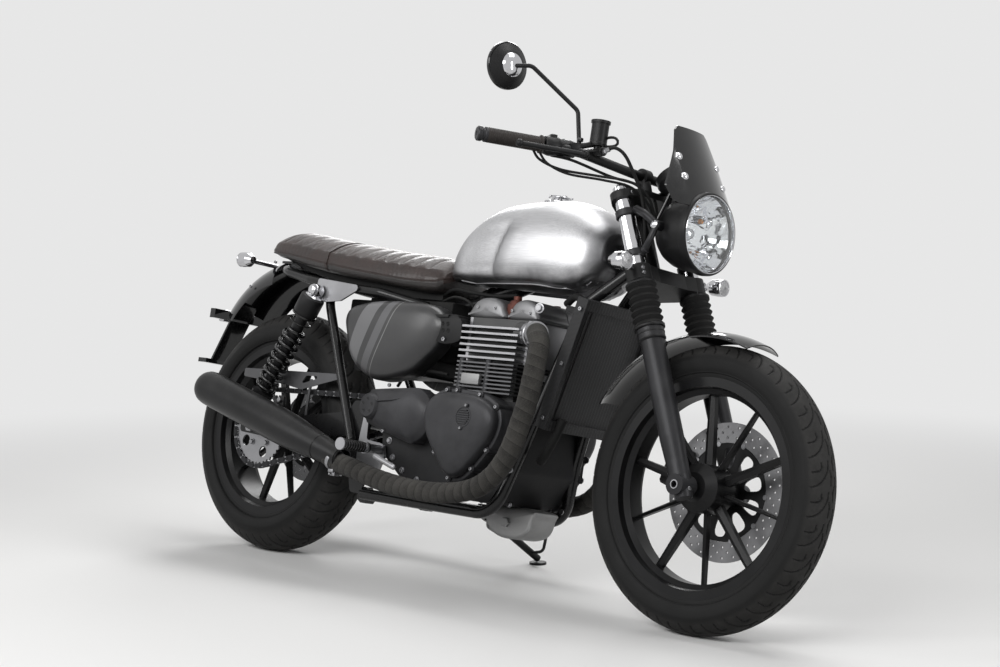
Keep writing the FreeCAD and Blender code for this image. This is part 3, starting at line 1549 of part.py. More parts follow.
# section places: share of the tank's length, of its height for the floor and top, of its half width
tank_shares = ((0.0, 0.06, 0.267, 0.552), (0.094, 0.039, 0.595, 0.731), (0.272, 0.026, 0.828, 0.836),
               (0.464, 0.013, 0.961, 0.925), (0.655, 0.0, 1.0, 0.985), (0.826, 0.0, 0.94, 1.0),
               (0.94, 0.103, 0.793, 0.88), (1.0, 0.267, 0.655, 0.687))
tank_power = 2.7
cap_shares = ((0.0, 0.0), (1.0, 0.0), (1.0, 0.43), (0.88, 0.57), (0.7, 0.62), (0.65, 0.9), (0.0, 1.0))


def tank_tunnel():
    # the hollow under the tank that straddles the backbone
    room = size("spine_radius") + size("tunnel_gap")
    start, middle, low, end = spine_route()
    ahead = start + (start - middle).normalize() * overrun
    floor = Vector(0, 0, size("tank_height"))
    wedge = polygon_face([ahead, middle, low, end, end - floor, ahead - floor])
    wedge.translate(Vector(0, -room, 0))
    return joined([wedge.extrude(Vector(0, 2 * room, 0)), tube([ahead, middle, low, end], room, size("spine_bend"))])


def fuel_cap():
    radius, height = "Sizes.cap_radius", "Sizes.cap_height"
    profile = [("%s * %s" % (radius, out), "%s * %s" % (height, up)) for out, up in cap_shares]
    return turned_body("fuel_cap", profile, Placement(Vector(size("cap_x"), 0, size("cap_z")), Rotation()))


def fuel_tank():
    rear, length = size("tank_rear"), size("tank_length")
    low, height, half = size("tank_low"), size("tank_height"), size("tank_half")
    sections = []
    for along, floor, top, out in tank_shares:
        sections.append(smooth_section(rear + length * along, half * out, low + height * floor, low + height * top,
                                       tank_power))
    body = Part.makeLoft(sections, True, False).cut(tank_tunnel())
    add("fuel_tank", body.cut(fuel_cap()))


fuel_tank()


# Engine

case_shares = ((0.01, 0.77), (0.13, 1.0), (1.0, 1.0), (1.0, 0.35), (0.87, 0.0), (0.3, 0.0), (0.04, 0.35))


def crankcase():
    # the closed lower half, with room for the chain at its rear right
    rear, low, half = size("case_rear"), size("case_low"), size("case_half")
    top = size("case_top")
    outline = side_outline(case_shares, rear, low, size("case_length"), top - low)
    chest = side_plate(outline, size("cover_bend") / 2, -half, half)
    offset, width = size("chain_offset"), size("chain_width")
    reach = pitch_circle(front_teeth) + size("chain_plate") * 1.5
    room = block(Vector(rear - overrun, -offset - width, size("front_sprocket_z") - reach),
                 Vector(size("front_sprocket_x") + reach, -offset + width, top + overrun))
    rail = cradle_tube(seat_gap)
    add("crankcase", chest.cut(room).cut(rail).cut(mirrored(rail)))


def finned(label, block_name, block_low, block_top, start, pitch, wall, count):
    # a plain block with a row of level fins that stand proud of it all round
    body = doc.addObject("PartDesign::Body", label)
    low, top = block_low, block_top
    core = rectangle("Sizes.%s_rear" % block_name, "Sizes.%s_front" % block_name, "Sizes.%s_half" % block_name)
    slab(body, label + "_block", core, low, "%s - (%s)" % (top, low))
    ribs = rectangle("Sizes.fin_rear", "Sizes.fin_front", "Sizes.fin_half")
    fin = slab(body, label + "_fin", ribs, start, wall)
    rows = body.newObject("PartDesign::LinearPattern", label + "_fins")
    rows.Originals = [fin]
    rows.Direction = (origin_part(body, "Z_Axis"), [""])
    rows.setExpression("Length", "%s * %d" % (pitch, count - 1))
    rows.Occurrences = count
    body.Tip = rows
    return body


barrel_fins = 8
head_fins = 6


def cylinders():
    body = finned("cylinders", "barrel", "Sizes.case_top + Sizes.seat_gap", "Sizes.barrel_top",
                  "Sizes.barrel_fin_start", "Sizes.barrel_fin_pitch", "Sizes.barrel_fin_wall", barrel_fins)
    keep("cylinders", body, Placement())


def cylinder_head():
    # the head's fins are the bright ones, and its exhaust ports face forward
    body = finned("head_casting", "head", "Sizes.barrel_top + Sizes.seat_gap", "Sizes.head_top",
                  "Sizes.head_fin_start", "Sizes.head_fin_pitch", "Sizes.head_fin_wall", head_fins)
    head = doc.addObject("Part::MultiFuse", "cylinder_head")
    ports = []
    for name, way in (("right_port", "-"), ("left_port", "")):
        port = bound("Part::Cylinder", name, Radius="Sizes.port_radius",
                     Height="Sizes.port_reach + Sizes.port_radius")
        port.Placement = Placement(Vector(), Rotation(z_axis, x_axis))
        port.setExpression(".Placement.Base.x", "Sizes.head_front - Sizes.port_radius")
        port.setExpression(".Placement.Base.y", "%sSizes.port_spread + %sSizes.fit_gap" % (way, way))
        port.setExpression(".Placement.Base.z", "Sizes.port_z")
        ports.append(port)
    head.Shapes = [body] + ports
    keep("cylinder_head", head, Placement())


cam_shares = ((0.0, 0.0), (0.06, 0.75), (0.25, 1.0), (0.75, 1.0), (0.94, 0.75), (1.0, 0.0))


def cam_covers():
    # one domed cover over each camshaft
    half, low, height = size("cam_half"), size("head_top") + seat_gap, size("cam_height")
    covers = []
    for name in ("rear", "front"):
        outline = side_outline(cam_shares, size("cam_%s_start" % name), low, size("cam_%s_length" % name), height)
        covers.append(side_plate(outline, height / 4, -half, half))
    add("cam_covers", group(covers))


clutch_shares = ((0.04, 1.0), (0.25, 1.0), (0.56, 0.99), (0.91, 0.86), (1.0, 0.59), (0.91, 0.27), (0.63, 0.0),
                 (0.35, 0.01), (0.1, 0.36), (0.0, 0.68))
gear_shares = ((0.2, 0.98), (0.56, 1.0), (0.9, 0.92), (0.99, 0.73), (0.96, 0.45), (0.65, 0.33), (0.2, 0.39),
               (0.0, 0.64), (0.03, 0.86))
cover_wall_share = 0.6
clutch_crown_share = 0.86
gear_crown_share = 0.84


def bulged(outline, bend, inner_y, outer_y, share):
    # a casting whose outer face is drawn in towards its middle
    count = len(outline)
    middle = Vector(sum(spot.x for spot in outline) / count, 0, sum(spot.z for spot in outline) / count)
    edge_y = inner_y + (outer_y - inner_y) * cover_wall_share

    def ring(scale, y):
        spots = [middle + (spot - middle) * scale for spot in outline]
        return rounded_face([Vector(spot.x, y, spot.z) for spot in spots], bend * scale)

    base = ring(1.0, inner_y).extrude(Vector(0, edge_y - inner_y, 0))
    crown = Part.makeLoft([ring(1.0, edge_y).OuterWire, ring(share, outer_y).OuterWire], True, True)
    return joined([base, crown])


def engine_covers():
    # clutch cover, gearbox cover behind it, and the pair on the left
    low, height, bend = size("cover_low"), size("cover_height"), size("cover_bend")
    inner = -size("case_half") - seat_gap
    clutch_outline = side_outline(clutch_shares, size("clutch_rear"), low, size("clutch_length"), height)
    gear_outline = side_outline(gear_shares, size("gear_rear"), low, size("gear_length"), height)
    clutch = bulged(clutch_outline, bend, inner, inner - size("clutch_depth"), clutch_crown_share)
    gear = bulged(gear_outline, bend, inner, inner - size("gear_depth"), gear_crown_share)
    add("clutch_cover", clutch)
    add("sprocket_cover", gear.cut(clutch))
    add("left_covers", mirrored(joined([clutch, gear])))


sump_shares = ((0.0, 1.0), (0.03, 0.32), (0.4, 0.0), (0.86, 0.12), (1.0, 1.0))


def sump():
    # cast chamber under the crankcase
    depth, top = size("sump_depth"), size("case_low") - seat_gap
    outline = side_outline(sump_shares, size("sump_rear"), top - depth, size("sump_length"), depth)
    add("sump", side_plate(outline, size("cover_bend") / 4, -size("sump_right"), size("sump_left")))


# header route: share from the port to its foremost place, of the port's height over the low run, of the spread
header_shares = ((0.0, 1.0, 0.0), (0.42, 0.965, 0.28), (0.94, 0.8, 0.58), (1.0, 0.576, 0.70), (0.87, 0.363, 0.8),
                 (0.45, 0.174, 0.86), (-0.17, 0.043, 0.92), (-0.95, 0.0, 0.95), (-2.9, 0.0, 0.97))


def header_route():
    start = Vector(size("head_front") + size("port_reach") + seat_gap, -size("port_spread"), size("port_z"))
    ahead = size("header_front_x") - start.x
    drop = start.z - size("header_low")
    out = size("silencer_spread") - size("port_spread")
    points = [Vector(start.x + ahead * along, start.y - out * wide, size("header_low") + drop * up)
              for along, up, wide in header_shares]
    return points


def silencer_join():
    # where the header meets the silencer's neck
    tail = Vector(size("silencer_tail_x"), -size("silencer_spread"), size("silencer_tail_z"))
    front = Vector(size("silencer_front_x"), -size("silencer_spread"), size("silencer_front_z"))
    return tail, front, (front - tail).normalize()


def silencers():
    tail, front, along = silencer_join()
    body, neck, bore = size("silencer_radius"), size("header_radius") * 1.08, size("silencer_outlet")
    length = (front - tail).Length
    profile = [(bore, body * 0.5), (bore, 0), (bore * 1.4, 0), (body * 0.8, body * 0.14), (body * 0.95, body * 0.4),
               (body, body * 0.8), (body, length), (neck, length + body), (neck, length + body * 1.8),
               (0, length + body * 1.8), (0, body * 0.5)]
    can = turned(profile, tail, along)
    return add("silencers", both_sides(can))


def exhaust_headers():
    radius = size("header_radius")
    points = header_route()
    tail, front, along = silencer_join()
    neck = front + along * (size("silencer_radius") * 1.8)
    points.append(neck)
    pipe = tube(points, radius, size("header_bend"))
    collar = cone(points[0], points[0] + (points[1] - points[0]) * 0.5, size("port_radius"), radius)
    header = joined([pipe, collar])
    room = size("silencer_radius")
    header = header.cut(Part.makeCylinder(room, room, neck - along * room, along))
    right = header.cut(block(points[0] - Vector(room, room, room), points[0] + Vector(0, room, room)))
    add("exhaust_headers", both_sides(right))


def radiator():
    # core between two tanks and two side posts, tilted with the fork, on lugs from the down tubes
    top = Vector(size("radiator_top_x"), 0, size("radiator_top_z"))
    low = Vector(size("radiator_low_x"), 0, size("radiator_low_z"))
    half, depth, end, post = (size("radiator_half"), size("radiator_depth"), size("radiator_tank"),
                              size("radiator_post"))
    height = (top - low).Length
    tilt = math.degrees(math.atan2(top.x - low.x, top.z - low.z))
    lip = depth * 0.12
    pieces = [block(Vector(-depth + lip, -half + post, end), Vector(-lip, half - post, height - end))]
    for start in (0, height - end):
        pieces.append(block(Vector(-depth, -half, start), Vector(0, half, start + end)))
    for start in (-half, half - post):
        pieces.append(block(Vector(-depth, start, 0), Vector(0, start + post, height)))
    for up in (height * 0.3, height * 0.85):
        for side in sides:
            y = side * half * 0.6
            rear = Vector(-depth - overrun * 1.5, y - post, up)
            pieces.append(block(rear, Vector(2 * lip - depth, y + post, up + post)))
    body = joined(pieces)
    body.Placement = Placement(low, Rotation(y_axis, tilt))
    thick = cradle_tube(seat_gap)
    body = body.cut(thick).cut(mirrored(thick))
    add("radiator", max(body.Solids, key=lambda solid: solid.Volume))


crankcase()
cylinders()
cylinder_head()
cam_covers()
engine_covers()
sump()
silencers()
exhaust_headers()
radiator()


# Bodywork

panel_shares = ((0.0, 0.6), (0.07, 0.95), (0.59, 1.0), (0.93, 0.9), (1.0, 0.68), (0.93, 0.5), (0.75, 0.19), (0.57, 0.0),
                (0.23, 0.08), (0.04, 0.34))
panel_crown_share = 0.8


def side_covers():
    outline = side_outline(panel_shares, size("panel_rear"), size("panel_low"), size("panel_length"),
                           size("panel_height"))
    panel = bulged(outline, size("panel_bend"), -size("panel_inner"), -size("panel_outer"), panel_crown_share)
    add("side_covers", both_sides(panel.cut(mirrored(seat_rail(seat_gap)))))


box_shares = ((0.0, 0.1), (0.0, 1.0), (0.8, 1.0), (1.0, 0.85), (1.0, 0.1))
throttle_shares = ((0.05, 0.0), (0.0, 0.85), (0.15, 1.0), (0.9, 1.0), (1.0, 0.8), (0.95, 0.0))


def intake():
    # air box between the side covers, throttle bodies with a plain cover each side, and the ducts
    half = size("panel_inner") - seat_gap
    bend = size("panel_bend") / 3
    box = side_plate(side_outline(box_shares, size("box_rear"), size("box_low"), size("box_length"),
                                  size("box_height")), bend, -half, half)
    rear, length = size("throttle_rear"), size("throttle_length")
    throttle = side_plate(side_outline(throttle_shares, rear, size("throttle_low"), length, size("throttle_height")),
                          bend, -size("throttle_half"), size("throttle_half"))
    pieces = [box, throttle]
    start = size("box_rear") + size("box_length") - bend
    end = min(size("fin_rear"), size("head_rear")) - seat_gap
    for side in sides:
        y = side * size("duct_spread")
        pieces.append(rod(Vector(start, y, size("duct_z")), Vector(end, y, size("duct_z")), size("duct_radius")))
    add("intake", joined(pieces))


cross_bar_share = 0.22


def plate_arm_ends():
    # where the plate arm leaves the guard and where it ends
    centre = Vector(size("tail_centre_x"), 0, size("tail_centre_z"))
    neck = about(centre, size("tail_radius") - size("plate_arm_wall"), size("tail_start") + size("tail_sweep") * 0.9)
    return neck, Vector(size("plate_arm_low_x"), 0, size("plate_arm_low_z"))


def rear_mudguard():
    # deep guard behind the seat loop, the plate arm below it and its cross bar
    centre = Vector(size("tail_centre_x"), 0, size("tail_centre_z"))
    radius, wall = size("tail_radius"), size("guard_wall")
    start, sweep = size("tail_start"), size("tail_sweep")
    shell = guard_shell(centre, radius - wall, wall, size("tail_half"), size("tail_drop"), start, sweep)
    neck, low = plate_arm_ends()
    half, thick = size("plate_arm_half"), size("plate_arm_wall")
    inset = (centre - neck).normalize() * thick
    arm = polygon_face([neck, neck + inset, low + inset, low]).extrude(Vector(0, 2 * half, 0))
    arm.translate(Vector(0, -half, 0))
    bar_half, tall, deep = size("cross_bar_half"), size("cross_bar_height"), size("cross_bar_wall")
    spot = neck + (low - neck) * cross_bar_share
    bar = block(spot - Vector(deep, bar_half, tall / 2), spot + Vector(thick / 2, bar_half, tall / 2))
    holder = block(low - Vector(tall, half * 1.6, thick), low + Vector(deep / 2, half * 1.6, thick))
    loop = rail_route()[-1]
    rail = size("rail_radius")
    front = about(centre, radius - wall, start)
    tab = block(Vector(front.x - rail, -half, loop.z + rail + seat_gap), Vector(loop.x + rail, half, front.z + wall))
    whole = joined([shell, arm, bar, holder, tab])
    clear = seat_rail(seat_gap)
    return add("rear_mudguard", whole.cut(clear).cut(mirrored(clear)).cut(drawn["seat"]))


def rear_lamps(guard):
    # tail lamp on the cross bar and an indicator each side
    neck, low = plate_arm_ends()
    spot = neck + (low - neck) * cross_bar_share - Vector(size("cross_bar_wall") + seat_gap, 0, 0)
    half, tall, deep = size("tail_lamp_half"), size("tail_lamp_height"), size("tail_lamp_depth")
    lamp = block(spot - Vector(deep, half, tall / 2), spot + Vector(0, half, tall / 2))
    lights = [lamp.makeFillet(deep / 4, lamp.Edges)]
    for side in sides:
        bullet = Vector(size("rear_bullet_x"), side * size("rear_bullet_spread"), size("rear_bullet_z"))
        root = Vector(bullet.x, side * size("tail_half") * 0.4, bullet.z)
        stem = indicator(bullet, root, x_axis * -1.0).cut(guard)
        lights.append(max(stem.Solids, key=lambda solid: solid.Volume))
    add("rear_lamps", group(lights))


side_covers()
intake()
rear_lamps(rear_mudguard())


# Final drive

def chain_loop(offset):
    # the loop about both sprockets, at this offset from the pitch line
    front_place = Vector(size("front_sprocket_x"), 0, size("front_sprocket_z"))
    along = front_place - rear_centre
    tilt = math.degrees(math.atan2(along.z, along.x))
    big, small = pitch_circle(rear_teeth), pitch_circle(front_teeth)
    lap = math.degrees(math.acos((big - small) / along.Length))
    outer, inner = big + offset, small + offset
    rear = Part.Arc(about(rear_centre, outer, tilt + lap), about(rear_centre, outer, tilt + 180.0),
                    about(rear_centre, outer, tilt - lap)).toShape()
    front = Part.Arc(about(front_place, inner, tilt - lap), about(front_place, inner, tilt),
                     about(front_place, inner, tilt + lap)).toShape()
    low = Part.LineSegment(about(rear_centre, outer, tilt - lap), about(front_place, inner, tilt - lap)).toShape()
    high = Part.LineSegment(about(front_place, inner, tilt + lap), about(rear_centre, outer, tilt + lap)).toShape()
    return Part.Face(Part.Wire([rear, low, front, high]))


def drive_chain():
    half, width = size("chain_plate") / 2, size("chain_width")
    belt = chain_loop(half).cut(chain_loop(-half * 0.8)).extrude(Vector(0, width, 0))
    belt.translate(Vector(0, -size("chain_offset") - width / 2, 0))
    add("chain", belt)


guard_shares = ((0.0, 0.4), (0.0, 0.84), (0.975, 1.0), (1.0, 0.76), (0.62, 0.0), (0.47, 0.16))
guard_window_shares = ((0.61, 0.28), (0.66, 0.76), (0.84, 0.8))


def chain_guard():
    # plate above the chain on two legs from the right arm
    wall = size("chain_guard_wall")
    y = size("spring_radius") + 2 * wall - size("shock_spread")
    rear, low = size("chain_guard_rear"), size("chain_guard_low")
    length, height = size("chain_guard_length"), size("chain_guard_height")
    plate = side_plate(side_outline(guard_shares, rear, low, length, height), wall * 1.5, y - wall / 2, y + wall / 2)
    window = side_plate(side_outline(guard_window_shares, rear, low, length, height), wall, y - wall, y + wall)
    legs = []
    for share in (0.3, 0.7):
        x = rear + length * share
        legs.append(block(Vector(x, y - wall / 2, rear_centre.z), Vector(x + 2 * wall, y + wall / 2,
                                                                        low + height * 0.6)))
    whole = joined([plate.cut(window)] + legs).cut(drawn["swingarm"])
    add("chain_guard", max(whole.Solids, key=lambda solid: solid.Volume))


drive_chain()
chain_guard()


# Rider's controls

hanger_shares = ((0.02, 0.0), (0.0, 0.6), (0.06, 1.0), (0.24, 0.97), (0.28, 0.62), (0.9, 0.58), (1.0, 0.4),
                 (0.75, 0.0))


def footrest():
    # hanger plate, ribbed peg with end flanges, and the pedal ahead of it
    inner = -size("upright_spread") + size("rail_radius")
    outer = inner - size("hanger_wall")
    outline = side_outline(hanger_shares, size("hanger_rear"), size("hanger_low"), size("hanger_length"),
                           size("hanger_height"))
    hanger = side_plate(outline, size("hanger_wall"), outer, inner)
    x, z, tip = size("peg_x"), size("peg_z"), -size("peg_tip")
    root = Vector(x, outer + size("hanger_wall") / 2, z)
    end = Vector(x + size("peg_radius") * 2, tip, z)
    along = (end - root).normalize()
    flange = size("peg_flange")
    peg = [rod(root, end, size("peg_radius")), rod(end - along * (flange / 3), end, flange)]
    inboard = root + (end - root) * 0.4
    peg.append(rod(inboard, inboard + along * (flange / 3), flange))
    pedal_root = Vector(x, outer + size("hanger_wall") / 2, z - size("peg_flange") * 1.5)
    heel = Vector(size("pedal_x"), -size("pedal_spread"), size("pedal_z"))
    toe = heel + Vector(size("pedal_length"), 0, -size("pedal_drop"))
    pedal = [rod(pedal_root, heel, size("pedal_radius") * 0.8), Part.makeSphere(size("pedal_radius"), heel),
             rod(heel, toe, size("pedal_radius")), Part.makeSphere(size("pedal_radius"), toe)]
    return joined([hanger] + peg + pedal)


add("footrests", both_sides(footrest()))


# Side stand, from its eye to its foot on the ground

def side_stand():
    radius, eye = size("stand_leg_radius"), size("stand_eye_radius")
    half = size("stand_eye_half")
    boss = rod(stand_pivot - stand_hinge * half, stand_pivot + stand_hinge * half, eye)
    bore = rod(stand_pivot - stand_hinge * overrun, stand_pivot + stand_hinge * overrun,
               size("stand_pin") + fit_gap / 2)
    slab_half = half * 0.9
    neck = rod(stand_pivot + stand_along * (eye * 0.9), stand_pivot + stand_along * (eye * 2), slab_half)
    leg = cone(stand_pivot + stand_along * (eye * 1.8), stand_foot, radius, radius * 0.9)
    sole = Part.makeCylinder(size("stand_foot_radius"), size("stand_foot_wall"),
                             Vector(size("stand_foot_x"), size("stand_foot_y"), 0), z_axis)
    sole.Placement = parked.inverse().multiply(sole.Placement)
    reach = size("stand_foot_radius")
    feeler_start = stand_pivot + (stand_foot - stand_pivot) * 0.86
    feeler = tube([feeler_start, feeler_start + Vector(reach * 2.2, -reach * 0.4, reach * 0.4),
                   feeler_start + Vector(reach * 4, -reach * 2.2, reach * 2.8)], size("stand_feeler"), reach * 2)
    add("side_stand", joined([boss, neck, leg, sole, feeler]).cut(bore))


side_stand()


# Check and write

doc.recompute()
box = FreeCAD.BoundBox()
for piece in nodes.values():
    box.add(piece.Shape.optimalBoundingBox(True, False))
shift = Vector(-box.Center.x, -box.Center.y, 0)
os.makedirs("parts", exist_ok=True)
for label, piece in nodes.items():
    piece.Placement = Placement(shift, Rotation()).multiply(piece.Placement)
doc.recompute()
for thing in doc.Objects:
    if {"Invalid", "Error"} & set(thing.State):
        raise RuntimeError("%s failed: %s" % (thing.Label, thing.State))
for label, piece in nodes.items():
    shape = piece.Shape
    if shape.isNull() or not shape.isValid() or shape.Volume <= 0:
        raise RuntimeError("%s has no sound shape" % label)
    piece.Shape.exportStep("parts/%s.step" % label)
print("nodes", len(nodes), "box", box, "shift", shift)
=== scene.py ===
import bpy, bmesh, json, random
from math import acos, atan2, copysign, cos, exp, floor, hypot, pi, radians, sin, sqrt
from mathutils import Matrix, Vector

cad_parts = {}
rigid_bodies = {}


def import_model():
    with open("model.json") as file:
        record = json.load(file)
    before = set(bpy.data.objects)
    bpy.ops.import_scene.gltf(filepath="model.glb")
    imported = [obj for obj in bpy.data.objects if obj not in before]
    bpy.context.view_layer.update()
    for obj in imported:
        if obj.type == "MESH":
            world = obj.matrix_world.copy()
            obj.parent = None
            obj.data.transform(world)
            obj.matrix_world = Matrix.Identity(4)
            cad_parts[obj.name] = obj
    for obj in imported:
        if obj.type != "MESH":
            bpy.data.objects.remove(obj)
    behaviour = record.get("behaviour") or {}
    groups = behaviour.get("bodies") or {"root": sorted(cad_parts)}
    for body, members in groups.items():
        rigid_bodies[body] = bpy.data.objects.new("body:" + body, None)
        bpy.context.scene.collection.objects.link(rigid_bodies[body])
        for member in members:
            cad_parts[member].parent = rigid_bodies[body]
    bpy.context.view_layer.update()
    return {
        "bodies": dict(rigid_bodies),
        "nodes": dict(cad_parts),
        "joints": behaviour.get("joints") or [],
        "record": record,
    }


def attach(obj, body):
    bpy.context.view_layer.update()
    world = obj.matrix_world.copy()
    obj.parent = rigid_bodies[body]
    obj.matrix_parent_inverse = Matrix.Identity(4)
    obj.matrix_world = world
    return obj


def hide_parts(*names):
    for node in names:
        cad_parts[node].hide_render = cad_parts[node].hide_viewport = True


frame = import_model()
nodes = frame["nodes"]
print("frame loaded:", len(nodes), "nodes")

# The machine's own frame: millimetres, X forward from the rear axle, Y to the left, Z up the middle plane.
# It leans with the machine, so every piece below is drawn upright and then laid over by toRow.
joints = {joint["name"]: joint for joint in frame["joints"]}
rearAxle = Vector(joints["rear_wheel_spin"]["pos_m"]) * 1000
frontAxle = Vector(joints["front_wheel_spin"]["pos_m"]) * 1000
wheel = {"rearRadius": 321.0, "frontRadius": 318.0, "base": 1440.0, "rake": radians(24.0), "legs": 98}
alongRow = (frontAxle - rearAxle).normalized()
acrossRow = Vector(joints["rear_wheel_spin"]["axis"]).normalized()
upRow = alongRow.cross(acrossRow)
dip = atan2(wheel["frontRadius"] - wheel["rearRadius"], wheel["base"])
forwardRow = alongRow * cos(dip) - upRow * sin(dip)
aboveRow = alongRow * sin(dip) + upRow * cos(dip)
turnRow = Matrix((forwardRow, acrossRow, aboveRow)).transposed()
toRow = (Matrix.Translation((rearAxle - aboveRow * wheel["rearRadius"]) * 0.001) @ turnRow.to_4x4()
         @ Matrix.Scale(0.001, 4))


def forkPoint(ahead, side, up):
    # a place along the fork legs, from the front axle
    rake = wheel["rake"]
    return Vector((wheel["base"] + ahead * cos(rake) - up * sin(rake), side,
                   wheel["frontRadius"] + ahead * sin(rake) + up * cos(rake)))


def wheelPoint(centre, radius, angle, y=0.0):
    return Vector(centre) + Vector((radius * cos(radians(angle)), y, radius * sin(radians(angle))))


frontCentre = Vector((wheel["base"], 0, wheel["frontRadius"]))
rearCentre = Vector((0, 0, wheel["rearRadius"]))
forkUp = (forkPoint(0, 0, 1) - forkPoint(0, 0, 0)).normalized()
forkAhead = (forkPoint(1, 0, 0) - forkPoint(0, 0, 0)).normalized()
finish = {}


def shown(name, data):
    item = bpy.data.objects.new(name, data)
    bpy.context.scene.collection.objects.link(item)
    return item


def dressed(mesh, *names):
    # the mesh in the named finishes
    mesh.materials.clear()
    for name in names:
        mesh.materials.append(finish[name])
    return mesh


def finishPiece(name, mesh, body, material=None, angle=35.0):
    # takes a mesh, or a list of them, drawn in the machine's frame and hangs it on its body
    mesh = together(mesh) if isinstance(mesh, list) else mesh
    mesh.transform(toRow)
    if material is not None:
        dressed(mesh, material)
    mesh.shade_smooth()
    mesh.set_sharp_from_angle(angle=radians(angle))
    mesh.name = name
    piece = shown(name, mesh)
    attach(piece, body)
    return piece


def meshOf(points, faces):
    mesh = bpy.data.meshes.new("shape")
    mesh.from_pydata([tuple(p) for p in points], [], faces)
    mesh.validate()
    return mesh


def cleaned(mesh, merge=0.01):
    # doubles merged and faces turned outwards
    work = bmesh.new()
    work.from_mesh(mesh)
    if merge:
        bmesh.ops.remove_doubles(work, verts=work.verts, dist=merge)
    bmesh.ops.recalc_face_normals(work, faces=work.faces)
    work.to_mesh(mesh)
    work.free()
    return mesh


def together(meshes):
    # several meshes as one, each keeping its own material
    whole = bmesh.new()
    materials = []
    for mesh in meshes:
        slots = []
        for material in (mesh.materials or [None]):
            if material not in materials:
                materials.append(material)
            slots.append(materials.index(material))
        before = len(whole.faces)
        whole.from_mesh(mesh)
        whole.faces.ensure_lookup_table()
        for face in whole.faces[before:]:
            face.material_index = slots[min(face.material_index, len(slots) - 1)]
    joined = bpy.data.meshes.new("group")
    whole.to_mesh(joined)
    whole.free()
    for material in materials:
        joined.materials.append(material)
    return joined


def frameOf(axis):
    # a turn whose Z lies along the axis
    z = Vector(axis).normalized()
    side = Vector((0, 1, 0)) if abs(z.y) < 0.9 else Vector((1, 0, 0))
    x = (side - z * side.dot(z)).normalized()
    return Matrix((x, z.cross(x), z)).transposed()


def circle(count):
    return [(cos(2 * pi * k / count), sin(2 * pi * k / count)) for k in range(count)]


def gridFaces(rows, count, closed=False):
    # the faces between rows of equal count, each row going once round
    return [(row * count + step, row * count + (step + 1) % count,
             (row + 1) % rows * count + (step + 1) % count, (row + 1) % rows * count + step)
            for row in range(rows if closed else rows - 1) for step in range(count)]


def endCaps(rows, count):
    last = (rows - 1) * count
    return [tuple(range(count))[::-1], tuple(range(last, last + count))]


def lathe(profile, centre=(0, 0, 0), axis=(0, 0, 1), segments=48, closed=False):
    # (radius, height) places turned about an axis
    turn = frameOf(axis)
    points = [Vector(centre) + turn @ Vector((radius * c, radius * s, height))
              for radius, height in profile for c, s in circle(segments)]
    return cleaned(meshOf(points, gridFaces(len(profile), segments, closed)))


def bend(points, radius, steps=6):
    # a run of places with its corners rounded
    points = [Vector(p) for p in points]
    out = [points[0]]
    for before, corner, after in zip(points, points[1:], points[2:]):
        room = min((corner - before).length, (after - corner).length) * 0.45
        toward, away = (corner - before).normalized(), (after - corner).normalized()
        half = toward.angle(away) / 2
        if half < 0.02:
            out.append(corner)
            continue
        reach = min(room, radius * sin(half) / cos(half))
        first, last = corner - toward * reach, corner + away * reach
        for step in range(steps + 1):
            t = step / steps
            out.append(first * (1 - t) ** 2 + corner * 2 * t * (1 - t) + last * t ** 2)
    return out + [points[-1]]


def alongFrames(path):
    # each place of a path with two steady directions across it
    x = None
    frames = []
    for index, spot in enumerate(path):
        tangent = (path[min(index + 1, len(path) - 1)] - path[max(index - 1, 0)]).normalized()
        x = frameOf(tangent).col[0].copy() if x is None else x
        x = (x - tangent * x.dot(tangent)).normalized()
        frames.append((spot, x.copy(), tangent.cross(x)))
    return frames


def pipe(path, radius, segments=16):
    # a round bar along a path, closed at both ends
    frames = alongFrames([Vector(p) for p in path])
    points = [spot + (x * c + y * s) * radius for spot, x, y in frames for c, s in circle(segments)]
    return cleaned(meshOf(points, gridFaces(len(frames), segments) + endCaps(len(frames), segments)))


def bar(start, end, radius, segments=20):
    # a straight round bar with softened ends
    start, end = Vector(start), Vector(end)
    length = (end - start).length
    c = min(radius * 0.12, length * 0.2)
    profile = [(0, 0), (radius - c, 0), (radius, c), (radius, length - c), (radius - c, length), (0, length)]
    return lathe(profile, start, end - start, segments)


def slabOf(outline, axis, low, high, chamfer=0.0):
    # a flat shape (two coordinates in the plane across the axis) drawn out along x, y or z
    order = {"x": lambda a, b, h: (h, a, b), "y": lambda a, b, h: (a, h, b), "z": lambda a, b, h: (a, b, h)}[axis]
    work = bmesh.new()
    face = work.faces.new([work.verts.new(order(a, b, low)) for a, b in outline])
    grown = bmesh.ops.extrude_face_region(work, geom=[face])
    moved = [v for v in grown["geom"] if isinstance(v, bmesh.types.BMVert)]
    bmesh.ops.translate(work, verts=moved, vec=Vector(order(0, 0, high - low)))
    bmesh.ops.recalc_face_normals(work, faces=work.faces)
    if chamfer:
        bmesh.ops.bevel(work, geom=list(work.edges), offset=chamfer, segments=2, profile=0.6, affect="EDGES",
                        clamp_overlap=True)
    mesh = bpy.data.meshes.new("slab")
    work.to_mesh(mesh)
    work.free()
    return mesh


def brick(low, high, chamfer=1.0):
    # a block between two corners, with softened edges
    (ax, ay, az), (bx, by, bz) = low, high
    return slabOf([(ax, az), (bx, az), (bx, bz), (ax, bz)], "y", ay, by, chamfer)


def bothSides(mesh):
    copy = mesh.copy()
    copy.transform(Matrix.Scale(-1, 4, (0, 1, 0)))
    copy.flip_normals()
    return together([mesh, copy])


def link(source, target):
    source.id_data.links.new(source, target)


